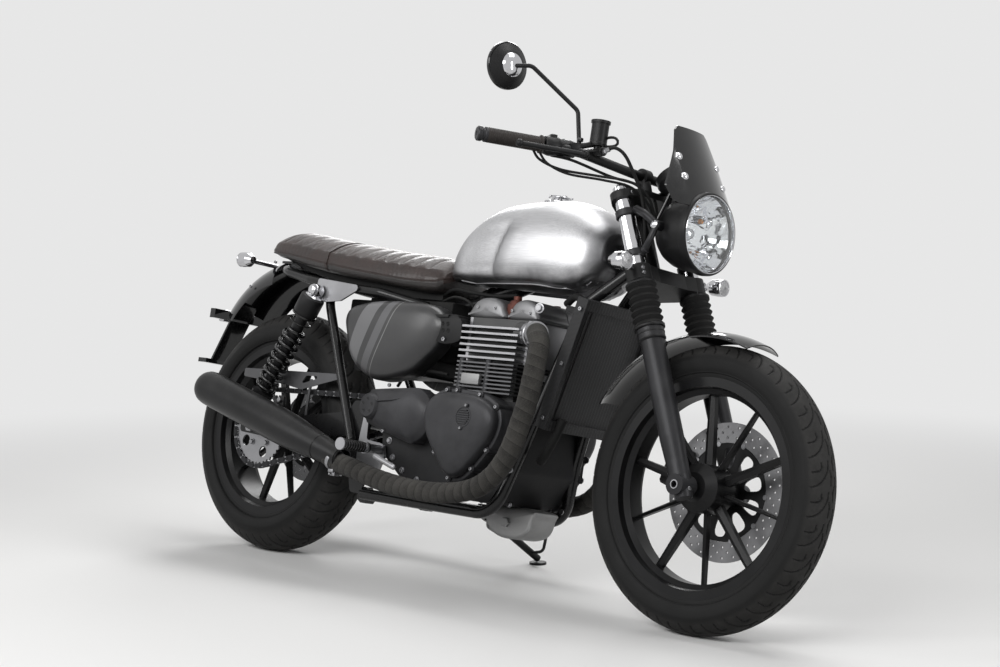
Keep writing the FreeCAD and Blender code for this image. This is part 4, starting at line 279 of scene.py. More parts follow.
# Small repeated shapes are set out by Geometry Nodes on marked places
def scatterTree():
    tree = bpy.data.node_groups.new("setOut", "GeometryNodeTree")
    for label, kind in (("Places", "Geometry"), ("Shape", "Object"), ("Finish", "Material")):
        tree.interface.new_socket(label, in_out="INPUT", socket_type="NodeSocket" + kind)
    tree.interface.new_socket("Result", in_out="OUTPUT", socket_type="NodeSocketGeometry")
    make = tree.nodes.new
    start, end, shape = make("NodeGroupInput"), make("NodeGroupOutput"), make("GeometryNodeObjectInfo")
    marks = []
    for label, kind in (("aim", "FLOAT_VECTOR"), ("grow", "FLOAT")):
        mark = make("GeometryNodeInputNamedAttribute")
        mark.data_type = kind
        mark.inputs["Name"].default_value = label
        marks.append(mark.outputs["Attribute"])
    turn, lay = make("FunctionNodeEulerToRotation"), make("GeometryNodeInstanceOnPoints")
    real, dress = make("GeometryNodeRealizeInstances"), make("GeometryNodeSetMaterial")
    link(start.outputs["Places"], lay.inputs["Points"])
    link(start.outputs["Shape"], shape.inputs["Object"])
    link(shape.outputs["Geometry"], lay.inputs["Instance"])
    link(marks[0], turn.inputs[0])
    link(turn.outputs[0], lay.inputs["Rotation"])
    link(marks[1], lay.inputs["Scale"])
    link(lay.outputs[0], real.inputs[0])
    link(real.outputs[0], dress.inputs["Geometry"])
    link(start.outputs["Finish"], dress.inputs["Material"])
    link(dress.outputs["Geometry"], end.inputs["Result"])
    return tree


setOutTree = scatterTree()


def setOut(shape, spots, material):
    # spots are (place, axis) or (place, axis, size), where a whole turn may stand for the axis; returns one mesh
    holder = bpy.data.meshes.new("places")
    holder.from_pydata([tuple(spot[0]) for spot in spots], [], [])
    holder.attributes.new("aim", "FLOAT_VECTOR", "POINT")
    holder.attributes.new("grow", "FLOAT", "POINT")
    turns, sizes = [], []
    for spot in spots:
        turns += (spot[1] if isinstance(spot[1], Matrix) else frameOf(spot[1])).to_euler()
        sizes.append(spot[2] if len(spot) > 2 else 1.0)
    holder.attributes["aim"].data.foreach_set("vector", turns)
    holder.attributes["grow"].data.foreach_set("value", sizes)
    shapeHolder, carrier = shown("shapeHolder", shape), shown("carrier", holder)
    modifier = carrier.modifiers.new("setOut", "NODES")
    modifier.node_group = setOutTree
    named = {item.name: item.identifier for item in setOutTree.interface.items_tree if item.in_out == "INPUT"}
    modifier[named["Shape"]] = shapeHolder
    modifier[named["Finish"]] = finish[material]
    bpy.context.view_layer.update()
    evaluated = carrier.evaluated_get(bpy.context.evaluated_depsgraph_get())
    mesh = bpy.data.meshes.new_from_object(evaluated)
    for item in (shapeHolder, carrier):
        bpy.data.objects.remove(item)
    bpy.data.meshes.remove(holder)
    return mesh


# Shader steps: a value is a socket or a number

def added(tree, kind):
    return tree.nodes.new("ShaderNode" + kind)


def given(value, socket):
    if isinstance(value, (int, float)):
        socket.default_value = value
    elif isinstance(value, (tuple, list)):
        socket.default_value = (*value[:3], 1.0)
    elif value is not None:
        link(value, socket)


def calc(operation, a, b=None, clamp=False):
    tree = (b if isinstance(a, (int, float)) else a).id_data
    node = added(tree, "Math")
    node.operation, node.use_clamp = operation, clamp
    given(a, node.inputs[0])
    given(b, node.inputs[1])
    return node.outputs[0]


def times(a, b, clamp=False):
    return calc("MULTIPLY", a, b, clamp)


def ramp(value, low, high, toLow=0.0, toHigh=1.0, smooth=False):
    node = added(value.id_data, "MapRange")
    node.interpolation_type = "SMOOTHSTEP" if smooth else "LINEAR"
    for label, number in (("From Min", low), ("From Max", high), ("To Min", toLow), ("To Max", toHigh)):
        given(number, node.inputs[label])
    given(value, node.inputs["Value"])
    return node.outputs[0]


def blend(mask, first, second):
    # one colour over another
    node = added(mask.id_data, "Mix")
    node.data_type, node.clamp_factor = "RGBA", True
    for index, value in ((0, mask), (6, first), (7, second)):
        given(value, node.inputs[index])
    return node.outputs[2]


def noise(tree, vector, scale, detail=3.0, roughness=0.5):
    node = added(tree, "TexNoise")
    for label, value in (("Vector", vector), ("Scale", scale), ("Detail", detail), ("Roughness", roughness)):
        given(value, node.inputs[label])
    return node.outputs["Fac"]


def bump(height, strength, distance):
    node = added(height.id_data, "Bump")
    for label, value in (("Strength", strength), ("Distance", distance), ("Height", height)):
        given(value, node.inputs[label])
    return node.outputs[0]


def upright(tree):
    # Object coordinates turned upright, in metres of the machine's own frame
    coordinates, stand = added(tree, "TexCoord"), added(tree, "Mapping")
    turn = turnRow.transposed()
    stand.inputs["Rotation"].default_value = turn.to_euler()
    stand.inputs["Location"].default_value = -(turn @ Vector(toRow.translation))
    link(coordinates.outputs["Object"], stand.inputs["Vector"])
    return stand.outputs[0]


def split(vector):
    node = added(vector.id_data, "SeparateXYZ")
    link(vector, node.inputs[0])
    return node.outputs


# Shared effects, each a node group with its own named inputs

def newGroup(name, inputs, outputs):
    tree = bpy.data.node_groups.new(name, "ShaderNodeTree")
    kinds = {"f": "NodeSocketFloat", "c": "NodeSocketColor", "v": "NodeSocketVector"}
    for label, kind, value in inputs:
        tree.interface.new_socket(label, in_out="INPUT", socket_type=kinds[kind]).default_value = value
    for label, kind in outputs:
        tree.interface.new_socket(label, in_out="OUTPUT", socket_type=kinds[kind])
    return tree, tree.nodes.new("NodeGroupInput").outputs, tree.nodes.new("NodeGroupOutput").inputs


def makeGrain():
    # fine cast or powdered skin: a mask, a roughness and a normal
    tree, start, end = newGroup("fineGrain", [("Scale", "f", 400.0), ("Rough Low", "f", 0.35),
                                              ("Rough High", "f", 0.55), ("Depth", "f", 0.0002),
                                              ("Patch Scale", "f", 9.0)],
                                [("Mask", "f"), ("Roughness", "f"), ("Normal", "v")])
    place = upright(tree)
    fine = noise(tree, place, start["Scale"], 2.0, 0.6)
    patches = noise(tree, place, start["Patch Scale"], 4.0, 0.6)
    both = calc("ADD", times(fine, 0.35), times(patches, 0.65))
    link(patches, end["Mask"])
    link(ramp(both, 0.35, 0.65, start["Rough Low"], start["Rough High"]), end["Roughness"])
    link(bump(fine, 1.0, start["Depth"]), end["Normal"])
    return tree


def makeDust():
    # thin dust that settles on what faces up, broken by a noise
    tree, start, end = newGroup("settledDust", [("Colour", "c", (0.3, 0.3, 0.3, 1)), ("Amount", "f", 0.15),
                                                ("Dust", "c", (0.42, 0.4, 0.37, 1))], [("Colour", "c")])
    up = split(added(tree, "NewGeometry").outputs["Normal"])[2]
    cloud = ramp(noise(tree, upright(tree), 14.0, 5.0, 0.65), 0.4, 0.7)
    mask = times(times(ramp(up, 0.2, 1.0, 0.15, 1.0), cloud), start["Amount"], clamp=True)
    link(blend(mask, start["Colour"], start["Dust"]), end["Colour"])
    return tree


def makeWear():
    # 1 along hard edges, from how far the softened normal leaves the true one
    tree, start, end = newGroup("edgeWear", [("Width", "f", 0.002), ("Sharpness", "f", 6.0), ("Breakup", "f", 60.0)],
                                [("Mask", "f")])
    soft, dot = added(tree, "Bevel"), added(tree, "VectorMath")
    soft.samples, dot.operation = 4, "DOT_PRODUCT"
    link(start["Width"], soft.inputs["Radius"])
    link(soft.outputs[0], dot.inputs[0])
    link(added(tree, "NewGeometry").outputs["Normal"], dot.inputs[1])
    edge = times(calc("SUBTRACT", 1.0, dot.outputs["Value"]), start["Sharpness"])
    cloud = ramp(noise(tree, upright(tree), start["Breakup"], 4.0, 0.7), 0.35, 0.6)
    link(times(edge, cloud, clamp=True), end["Mask"])
    return tree


def makeStreaks():
    # long fine scratches along the machine, as a wire brush leaves them
    tree, start, end = newGroup("brushStreaks", [("Along", "f", 14.0), ("Across", "f", 900.0),
                                                 ("Depth", "f", 0.00004)], [("Mask", "f"), ("Normal", "v")])
    place = added(tree, "CombineXYZ")
    for index, label in enumerate(("Along", "Across", "Across")):
        link(times(split(upright(tree))[index], start[label]), place.inputs[index])
    fine = noise(tree, place.outputs[0], 1.0, 4.0, 0.7)
    link(fine, end["Mask"])
    link(bump(fine, 1.0, start["Depth"]), end["Normal"])
    return tree


grainGroup, dustGroup, wearGroup, streakGroup = makeGrain(), makeDust(), makeWear(), makeStreaks()


def useGroup(tree, group, **values):
    node = added(tree, "Group")
    node.node_tree = group
    for label, value in values.items():
        given(value, node.inputs[label.replace("_", " ")])
    return node.outputs


def newFinish(name, colour, roughness=0.5, metallic=0.0, coat=0.0, coatRoughness=0.1, specular=0.5, sheen=0.0):
    # a plain shader, whose detail is wired in afterwards
    material = bpy.data.materials.new(name)
    material.use_nodes = True
    shader = material.node_tree.nodes["Principled BSDF"].inputs
    for label, value in (("Base Color", colour), ("Roughness", roughness), ("Metallic", metallic),
                         ("Coat Weight", coat), ("Coat Roughness", coatRoughness),
                         ("Specular IOR Level", specular), ("Sheen Weight", sheen)):
        given(value, shader[label])
    return material, material.node_tree


def wired(material, **values):
    # the finish with its varying values joined to the shader
    for label, value in values.items():
        link(value, material.node_tree.nodes["Principled BSDF"].inputs[label.replace("_", " ")])
    return material


def scaled(colour, share):
    return tuple(min(1.0, c * share) for c in colour)


def painted(name, colour, low, high, grain, depth, metallic=0.0, coat=0.0, dust=0.06, wear=0.0, tint=0.25,
            coatRoughness=0.1):
    # paint, casting or plating: patchy colour, grain in the gloss, dust on top and worn edges
    material, tree = newFinish(name, colour, low, metallic, coat, coatRoughness, 0.5 if metallic > 0.5 else 0.2)
    skin = useGroup(tree, grainGroup, Scale=grain, Rough_Low=low, Rough_High=high, Depth=depth)
    base = blend(ramp(skin["Mask"], 0.35, 0.65), scaled(colour, 1 - tint), scaled(colour, 1 + tint))
    if wear:
        base = blend(useGroup(tree, wearGroup, Width=0.0016, Sharpness=wear)["Mask"], base, (0.05, 0.05, 0.05))
    if dust:
        base = useGroup(tree, dustGroup, Colour=base, Amount=dust, Dust=(0.36, 0.35, 0.33))["Colour"]
    if depth:
        wired(material, Normal=skin["Normal"])
    return wired(material, Base_Color=base, Roughness=skin["Roughness"])


# name: colour, roughness low and high, grain scale and depth, then metal, coat, dust, wear, tint, coat roughness
paints = {
    "frameBlack": ((0.006, 0.006, 0.0065), 0.22, 0.34, 500, 0.00003, 0.0, 0.25, 0.05),
    "satinBlack": ((0.009, 0.009, 0.0095), 0.38, 0.5, 700, 0.00004, 0.0, 0.0, 0.05),
    "wheelBlack": ((0.008, 0.008, 0.0085), 0.3, 0.4, 600, 0.00003, 0.0, 0.0, 0.03, 0.25),
    "glossBlack": ((0.004, 0.004, 0.0045), 0.08, 0.16, 60, 0.0, 0.0, 0.6, 0.03, 0.0, 0.25, 0.04),
    "sliderGrey": ((0.026, 0.026, 0.028), 0.34, 0.44, 800, 0.00003, 0.3, 0.0, 0.03),
    "engineGrey": ((0.042, 0.042, 0.045), 0.36, 0.48, 1400, 0.00006, 0.25, 0.0, 0.05),
    "caseBlack": ((0.013, 0.013, 0.014), 0.45, 0.6, 900, 0.00008, 0.0, 0.0, 0.1),
    "camAlloy": ((0.2, 0.2, 0.205), 0.36, 0.5, 1200, 0.00006, 0.7, 0.0, 0.04, 0.0, 0.14),
    "alloy": ((0.3, 0.3, 0.31), 0.3, 0.46, 900, 0.00003, 1.0, 0.0, 0.0, 0.0, 0.1),
    "castAlloy": ((0.26, 0.26, 0.26), 0.4, 0.6, 700, 0.00012, 0.85, 0.0, 0.14, 0.0, 0.18),
    "steel": ((0.3, 0.3, 0.31), 0.26, 0.4, 300, 0.0, 1.0, 0.0, 0.0, 0.0, 0.1),
    "chrome": ((0.55, 0.55, 0.565), 0.05, 0.12, 80, 0.0, 1.0, 0.0, 0.0, 0.0, 0.04),
    "boltBlack": ((0.03, 0.03, 0.031), 0.28, 0.42, 300, 0.0, 0.8, 0.0, 0.0),
    "rubber": ((0.008, 0.008, 0.008), 0.62, 0.8, 1200, 0.00008),
    "gripLeather": ((0.03, 0.026, 0.024), 0.5, 0.65, 700, 0.0001, 0.0, 0.0, 0.04),
    "silencerBlack": ((0.012, 0.012, 0.0125), 0.3, 0.4, 900, 0.00003, 0.0, 0.0, 0.05),
    "guardGrey": ((0.1, 0.1, 0.104), 0.34, 0.46, 700, 0.00003, 0.7, 0.0, 0.04, 0.0, 0.12),
    "mirrorGlass": ((0.82, 0.83, 0.84), 0.01, 0.03, 50, 0.0, 1.0, 0.0, 0.0, 0.0, 0.02),
    "discSteel": ((0.2, 0.2, 0.205), 0.3, 0.42, 300, 0.0, 0.9, 0.0, 0.03, 0.0, 0.12),
    "copperBrown": ((0.09, 0.03, 0.022), 0.35, 0.5, 500, 0.00004, 0.4, 0.0, 0.05),
}


# Finishes that belong to one piece

def tankMetal():
    # bare brushed metal under a clear coat, with painted shade darkening its front, its foot, its tail and the knee
    # recess
    material, tree = newFinish("tankMetal", (0.36, 0.36, 0.37), 0.38, 1.0, 0.15, 0.2)
    streaks = useGroup(tree, streakGroup, Along=10.0, Across=700.0, Depth=0.00003)
    x, _, z = split(upright(tree))
    warp = times(calc("SUBTRACT", noise(tree, upright(tree), 7.0, 4.0, 0.6), 0.5), 0.09)
    warpedX, warpedZ = calc("ADD", x, warp), calc("ADD", z, warp)
    front = ramp(warpedX, 1.03, 1.11, smooth=True)
    foot = ramp(warpedZ, 0.785, 0.735, smooth=True)
    tail = ramp(warpedX, 0.69, 0.63, 0.0, 0.55, smooth=True)
    gap = calc("SUBTRACT", x, calc("ADD", times(calc("SUBTRACT", z, 0.754), 0.307), 0.786))
    knee = times(ramp(gap, -0.006, 0.004, smooth=True), ramp(gap, 0.06, 0.0, 0.0, 0.7, smooth=True))
    knee = times(knee, ramp(z, 0.9, 0.86, smooth=True))
    # painted shade: darker at the front, the foot, the tail and in the knee recess, broken by the streaks
    paintedShade = calc("MAXIMUM", calc("MAXIMUM", front, foot), calc("MAXIMUM", knee, tail), clamp=True)
    paintedShade = times(paintedShade, ramp(streaks["Mask"], 0.2, 0.8, 0.75, 1.0), clamp=True)
    bare = blend(ramp(streaks["Mask"], 0.3, 0.7), (0.4, 0.4, 0.41), (0.58, 0.58, 0.59))
    return wired(material, Base_Color=blend(paintedShade, bare, (0.1, 0.1, 0.105)), Normal=streaks["Normal"],
                 Roughness=ramp(streaks["Mask"], 0.2, 0.8, 0.32, 0.5))


def cellsOf(tree, scale, feature="F1"):
    cells = added(tree, "TexVoronoi")
    cells.feature = feature
    cells.inputs["Scale"].default_value = scale
    link(upright(tree), cells.inputs["Vector"])
    return cells.outputs["Distance"]


def leather(name, colour, crease):
    # hide with pores, fine wrinkles and a little polish where it is sat on
    material, tree = newFinish(name, colour, 0.45, coat=0.3, coatRoughness=0.22, specular=0.3)
    pores = ramp(cellsOf(tree, 420.0, "DISTANCE_TO_EDGE"), 0.0, 0.12)
    cloud = noise(tree, upright(tree), 16.0, 5.0, 0.65)
    fine = noise(tree, upright(tree), 160.0, 3.0, 0.6)
    shade = blend(ramp(cloud, 0.35, 0.7), scaled(colour, 0.62), scaled(colour, 1.45))
    shade = blend(times(calc("SUBTRACT", 1.0, pores), 0.5, clamp=True), shade, crease)
    return wired(material, Base_Color=shade, Roughness=ramp(cloud, 0.3, 0.7, 0.34, 0.52),
                 Normal=bump(calc("ADD", pores, times(fine, 0.6)), 0.8, 0.0003))


def waves(value, count):
    return calc("ABSOLUTE", calc("SINE", times(value, count)))


def wrapTape():
    # woven heat tape: two threads crossing, light fuzz and painted shade in the step where each turn overlaps the last;
    # the map runs along the pipe and round it
    material, tree = newFinish("wrapTape", (0.08, 0.075, 0.068), 0.85, specular=0.2, sheen=0.06)
    flat = added(tree, "UVMap")
    flat.uv_map = "wrap"
    along, around, _ = split(flat.outputs[0])
    checker = times(waves(along, 380.0 * pi), waves(around, 380.0 * pi))
    fuzz = noise(tree, upright(tree), 300.0, 4.0, 0.7)
    cloud = noise(tree, upright(tree), 11.0, 5.0, 0.7)
    turns = calc("FRACT", calc("ADD", times(along, 40.0), times(around, 6.77)))
    shade = blend(ramp(cloud, 0.35, 0.65), (0.022, 0.021, 0.02), (0.062, 0.059, 0.054))
    # painted shade: a dark band at each turn's step; each turn then grows lighter towards its far edge
    for mask, colour in ((ramp(checker, 0.0, 0.5, 0.55, 0.0), (0.016, 0.015, 0.014)),
                         (ramp(fuzz, 0.5, 0.8, 0.0, 0.45), (0.12, 0.115, 0.105)),
                         (ramp(turns, 0.0, 0.1, 0.6, 0.0), (0.01, 0.0095, 0.009)),
                         (ramp(turns, 0.2, 1.0, 0.0, 0.3), (0.11, 0.105, 0.096))):
        shade = blend(mask, shade, colour)
    return wired(material, Base_Color=shade, Normal=bump(calc("ADD", checker, times(fuzz, 0.8)), 1.0, 0.0006))


def marked(tree, name):
    mark = added(tree, "Attribute")
    mark.attribute_name = name
    return mark.outputs["Fac"]


def tyreRubber():
    # rubber, greyer and dustier on the tread than on the walls
    material, tree = newFinish("tyreRubber", (0.018, 0.018, 0.018), 0.7, specular=0.2)
    skin = useGroup(tree, grainGroup, Scale=900.0, Rough_Low=0.58, Rough_High=0.78, Depth=0.00012, Patch_Scale=14.0)
    base = blend(ramp(skin["Mask"], 0.3, 0.7), (0.006, 0.006, 0.006), (0.012, 0.012, 0.012))
    cloud = ramp(noise(tree, upright(tree), 30.0, 5.0, 0.7), 0.35, 0.7)
    worn = times(marked(tree, "tread"), calc("ADD", times(cloud, 0.6), 0.4))
    return wired(material, Base_Color=blend(worn, base, (0.032, 0.031, 0.03)), Roughness=skin["Roughness"],
                 Normal=skin["Normal"])


def bandedPaint():
    # satin grey-black with two pale slanting bands and a thin line, in no lettering
    material, tree = newFinish("bandedPaint", (0.03, 0.03, 0.032), 0.35, 0.0, 0.2, 0.2)
    skin = useGroup(tree, grainGroup, Scale=900.0, Rough_Low=0.33, Rough_High=0.43, Depth=0.00002)
    x, _, z = split(upright(tree))
    slant = calc("SUBTRACT", x, times(z, 0.42))
    base = blend(ramp(skin["Mask"], 0.3, 0.7), (0.012, 0.012, 0.013), (0.022, 0.022, 0.023))
    for low, high, colour in ((0.128, 0.182, (0.15, 0.15, 0.155)), (0.204, 0.232, (0.1, 0.1, 0.105)),
                              (0.243, 0.2465, (0.2, 0.2, 0.2))):
        base = blend(times(ramp(slant, low, low + 0.0006), ramp(slant, high, high - 0.0006)), base, colour)
    base = blend(ramp(z, 0.56, 0.48, 0.0, 0.6, smooth=True), base, (0.02, 0.02, 0.021))
    return wired(material, Base_Color=useGroup(tree, dustGroup, Colour=base, Amount=0.06)["Colour"],
                 Roughness=skin["Roughness"])


def finMetal(name, body, bright, roughness):
    # painted fins whose outer edges, at the block's sides and ends, were machined bare
    sideEdge, rearEdge, frontEdge = 0.148, 0.756, 0.942
    material, tree = newFinish(name, body, 0.5)
    skin = useGroup(tree, grainGroup, Scale=900.0, Rough_Low=roughness, Rough_High=roughness + 0.16, Depth=0.00005)
    x, y, _ = split(upright(tree))
    sides = ramp(calc("ABSOLUTE", y), sideEdge - 0.0012, sideEdge - 0.0008)
    ends = calc("MAXIMUM", ramp(x, frontEdge - 0.0012, frontEdge - 0.0008),
                ramp(x, rearEdge + 0.0012, rearEdge + 0.0008))
    bare = calc("MAXIMUM", sides, ends, clamp=True)
    base = blend(skin["Mask"], scaled(body, 0.8), scaled(body, 1.2))
    base = useGroup(tree, dustGroup, Colour=base, Amount=0.12)["Colour"]
    return wired(material, Base_Color=blend(bare, base, bright), Metallic=times(bare, 0.95),
                 Roughness=skin["Roughness"], Normal=skin["Normal"])


def coreMesh():
    # the radiator's fine fins and flat tubes, as bump and shade
    material, tree = newFinish("coreMesh", (0.012, 0.012, 0.013), 0.5, 0.3)
    _, y, z = split(upright(tree))
    height = calc("MAXIMUM", times(waves(z, 1100.0), 0.6), ramp(waves(y, 330.0), 0.86, 0.95))
    return wired(material, Base_Color=blend(height, (0.004, 0.004, 0.004), (0.035, 0.035, 0.037)),
                 Normal=bump(height, 1.0, 0.0012))


def smeared(material, tree, scale, low, high, roughLow, roughHigh, detail=3.0, roughness=0.6):
    smear = noise(tree, upright(tree), scale, detail, roughness)
    return wired(material, Roughness=ramp(smear, low, high, roughLow, roughHigh))


def clearGlass():
    material, tree = newFinish("lensGlass", (0.95, 0.97, 0.97), 0.02)
    shader = tree.nodes["Principled BSDF"].inputs
    shader["Transmission Weight"].default_value, shader["IOR"].default_value = 1.0, 1.45
    return smeared(material, tree, 40.0, 0.3, 0.8, 0.02, 0.07)


def colouredLens(name, colour, cellScale=260.0):
    material, tree = newFinish(name, colour, 0.12, 0.0, 0.6, 0.05)
    cells = cellsOf(tree, cellScale)
    return wired(material, Base_Color=blend(ramp(cells, 0.0, 0.6), scaled(colour, 1.3), scaled(colour, 0.6)),
                 Normal=bump(cells, 0.6, 0.0008))


for name, values in paints.items():
    finish[name] = painted(name, *values)
finish.update({
    "tank": tankMetal(), "leather": leather("leather", (0.024, 0.013, 0.0105), (0.009, 0.006, 0.005)),
    "leatherBand": leather("leatherBand", (0.03, 0.026, 0.025), (0.012, 0.011, 0.01)), "wrap": wrapTape(),
    "tyre": tyreRubber(), "panel": bandedPaint(), "core": coreMesh(), "glass": clearGlass(),
    "headFins": finMetal("headFins", (0.03, 0.03, 0.031), (0.3, 0.3, 0.31), 0.28),
    "barrelFins": finMetal("barrelFins", (0.028, 0.028, 0.029), (0.12, 0.12, 0.125), 0.4),
    "reflector": smeared(*newFinish("reflectorSilver", (0.86, 0.86, 0.88), 0.06, 1.0), 25.0, 0.3, 0.7, 0.04, 0.1,
                         2.0, 0.5),
    "redLens": colouredLens("redLens", (0.25, 0.01, 0.01)), "amber": colouredLens("amberBulb", (0.55, 0.2, 0.02)),
    "crystal": colouredLens("crystal", (0.7, 0.7, 0.72), 500.0),
})
print("finishes:", len(finish))

nodeFinish = {
    "frameBlack": "frame_backbone frame_cradle subframe swingarm",
    "alloy": "shock_mounts footrests front_axle", "caseBlack": "crankcase", "castAlloy": "sump",
    "steel": "rear_axle chain front_disc rear_disc rear_sprocket", "camAlloy": "cam_covers",
    "satinBlack": "shock_bodies rear_caliper intake fork_yokes front_caliper handlebar bar_controls mirror"
                  " instrument side_stand",
    "engineGrey": "clutch_cover sprocket_cover left_covers", "barrelFins": "cylinders", "headFins": "cylinder_head",
    "silencerBlack": "silencers", "core": "radiator", "chrome": "fuel_cap rear_lamps fork_tubes front_indicators",
    "panel": "side_covers", "glossBlack": "rear_mudguard headlamp flyscreen front_mudguard shock_springs",
    "guardGrey": "chain_guard", "rubber": "fork_gaiters", "sliderGrey": "fork_lowers", "gripLeather": "grips",
    "wheelBlack": "front_rim rear_rim", "tyre": "front_tyre rear_tyre", "tank": "fuel_tank", "leather": "seat",
    "wrap": "exhaust_headers",
}
for finishName, dressedNodes in nodeFinish.items():
    for name in dressedNodes.split():
        dressed(nodes[name].data, finishName)
print("CAD nodes dressed")


# Tank: a lofted skin between listed sections (x, low, high, half width), widest below its middle

tank = {
    "rows": [(604, 744, 792, 58), (629, 741, 854, 80), (670, 737, 899, 96), (746, 732, 938, 111),
        (850, 727, 952, 120), (940, 724, 955, 122), (1010, 724, 942, 116), (1060, 744, 914, 99),
        (1092, 784, 880, 68)], "waist": 0.36, "lowPower": 2.7, "highPower": 2.25, "around": 132, "along": 120,
    "kneeDepth": 8.0, "seamDepth": 3.2, "lip": 2.4, "tunnelHalf": 30.0, "tunnelClear": 12.0,
}


def softStep(value, low, high):
    t = max(0.0, min(1.0, (value - low) / (high - low)))
    return t * t * (3 - 2 * t)


def catmull(a, b, c, d, t):
    # a smooth way from b to c
    return 0.5 * (2 * b + (c - a) * t + (2 * a - 5 * b + 4 * c - d) * t * t + (3 * b - a - 3 * c + d) * t ** 3)


def smoothRow(rows, share):
    # values read between rows along a smooth line
    place = share * (len(rows) - 1)
    index = min(int(place), len(rows) - 2)
    near = [rows[max(index - 1, 0)], rows[index], rows[index + 1], rows[min(index + 2, len(rows) - 1)]]
    return [catmull(*four, place - index) for four in zip(*near)]


def rowAt(rows, x):
    # values read between rows along straight lines
    for first, second in zip(rows, rows[1:]):
        if first[0] <= x <= second[0]:
            t = (x - first[0]) / (second[0] - first[0])
            return [a + (b - a) * t for a, b in zip(first, second)]


def raised(value, power):
    return copysign(abs(value) ** power, value)


def tankSection(x, low, high, half, count):
    waist = low + (high - low) * tank["waist"]
    points = []
    for c, s in circle(count):
        power, tall = (tank["highPower"], high - waist) if s > 0 else (tank["lowPower"], waist - low)
        points.append((x, half * raised(c, 2 / power), waist + tall * raised(s, 2 / power)))
    return points


def skinOf(rings):
    # a skin through rings of equal count, its ends closed by a fan
    count = len(rings[0])
    points = [point for ring in rings for point in ring]
    faces = gridFaces(len(rings), count)
    for row in (0, len(rings) - 1):
        points.append(tuple(sum(p[k] for p in rings[row]) / count for k in range(3)))
        faces += [(row * count + step, row * count + (step + 1) % count, len(points) - 1) for step in range(count)]
    return cleaned(meshOf(points, faces))


def seamLevel(x):
    return 746 + 7 * softStep(x, 700, 620) - 5 * softStep(x, 900, 1000) + 34 * softStep(x, 1030, 1090)


def shapeTank(x, y, z):
    # knee recess, belly seam and the tunnel over the frame's spine
    side = abs(y)
    behind = 786 + (z - 754) * 0.307 - x
    recess = softStep(behind, -2, 9) * (1 - softStep(behind, 90, 200))
    recess *= softStep(z, 752, 780) * (1 - softStep(z, 862, 900)) * softStep(side, 60, 90)
    seam = exp(-((z - seamLevel(x)) / 2.2) ** 2) * softStep(side, 40, 70)
    side -= tank["kneeDepth"] * recess + tank["seamDepth"] * seam
    spine = 695 + (x - 660) * 0.3625 + tank["tunnelHalf"] + tank["tunnelClear"] - 6
    if z < spine and x < 1075:
        z += (spine - z) * (1 - softStep(side, tank["tunnelHalf"] - 12, tank["tunnelHalf"] + 12))
    return x, copysign(max(side, 0), y), z


def tankHalf(x, z):
    _, low, high, half = rowAt(tank["rows"], x)
    waist = low + (high - low) * tank["waist"]
    tall, power = (high - waist, tank["highPower"]) if z > waist else (waist - low, tank["lowPower"])
    return half * (1 - min(1.0, abs(z - waist) / tall) ** power) ** (1 / power)


def makeTank():
    rings = []
    for index in range(tank["along"] + 1):
        section = tankSection(*smoothRow(tank["rows"], index / tank["along"]), tank["around"])
        rings.append([shapeTank(*point) for point in section])
    for ring, side in ((rings[0], -1), (rings[-1], 1)):
        middle = Vector([sum(p[k] for p in ring) / len(ring) for k in range(3)])
        for share, push in ((0.93, 3.0), (0.8, 6.0), (0.5, 8.0)):
            inner = [tuple(middle + (Vector(p) - middle) * share + Vector((side * push, 0, 0))) for p in ring]
            rings.insert(0 if side < 0 else len(rings), inner)
    skin = finishPiece("tank_skin", skinOf(rings), "chassis", "tank", angle=50)
    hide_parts("fuel_tank")
    lips = []
    for side in (1, -1):
        path = []
        for step in range(48):
            x = 640 + 434 * step / 47
            level = seamLevel(x) - 5.5
            path.append((x, side * (tankHalf(x, level) + 0.4), level))
        lips.append(pipe(path, tank["lip"], 10))
    finishPiece("tank_lip", lips, "chassis", "alloy")


makeTank()
print("tank made")

# Seat: ribbed pad over a smooth side panel and a lower band, with a strap across it

seat = {
    "rows": [(-72, 800, 803, 809, 813, 70, 74, 62), (-62, 792, 798, 818, 840, 84, 92, 76),
        (-40, 784, 795, 822, 861, 94, 104, 94), (36, 771, 787, 818, 859, 104, 114, 103),
        (129, 754, 774, 806, 847, 110, 121, 109), (256, 736, 758, 792, 833, 112, 124, 112),
        (372, 725, 746, 781, 821, 110, 121, 109), (480, 714, 736, 773, 812, 104, 116, 104),
        (548, 709, 734, 768, 806, 94, 106, 95), (582, 711, 737, 768, 794, 82, 92, 76),
        (596, 722, 743, 766, 776, 70, 78, 56)], "pitch": 48.0, "firstRib": -22.0, "lastRib": 558.0, "ribRise": 8.0,
    "along": 300, "strapX": 196.0,
}


def seatRing(row):
    # once round the section: floor, band, seam, side panel, rib edge, crown
    x, low, seam, edge, crown, foot, widest, top = row
    lean, tall = widest - top, edge - seam
    half = [(0, low), (foot * 0.5, low), (foot * 0.86, low + 0.6), (foot, low + 5),
            ((foot + widest) / 2 + 3, (low + seam) / 2), (widest - 0.6, seam - 4), (widest - 0.2, seam - 2),
            (widest - 2.6, seam - 0.4), (widest - 0.4, seam + 1.4), (widest, seam + 4),
            (widest - lean * 0.22, seam + tall * 0.4), (widest - lean * 0.5, seam + tall * 0.74),
            (top + 3.2, edge - 2.5), (top + 0.4, edge + 0.4)]
    half += [(top * step / 16, edge + (crown - edge) * (1 - (step / 16) ** 2)) for step in range(15, -1, -1)]
    return [(x, y, z) for y, z in half] + [(x, -y, z) for y, z in half[-2:0:-1]]


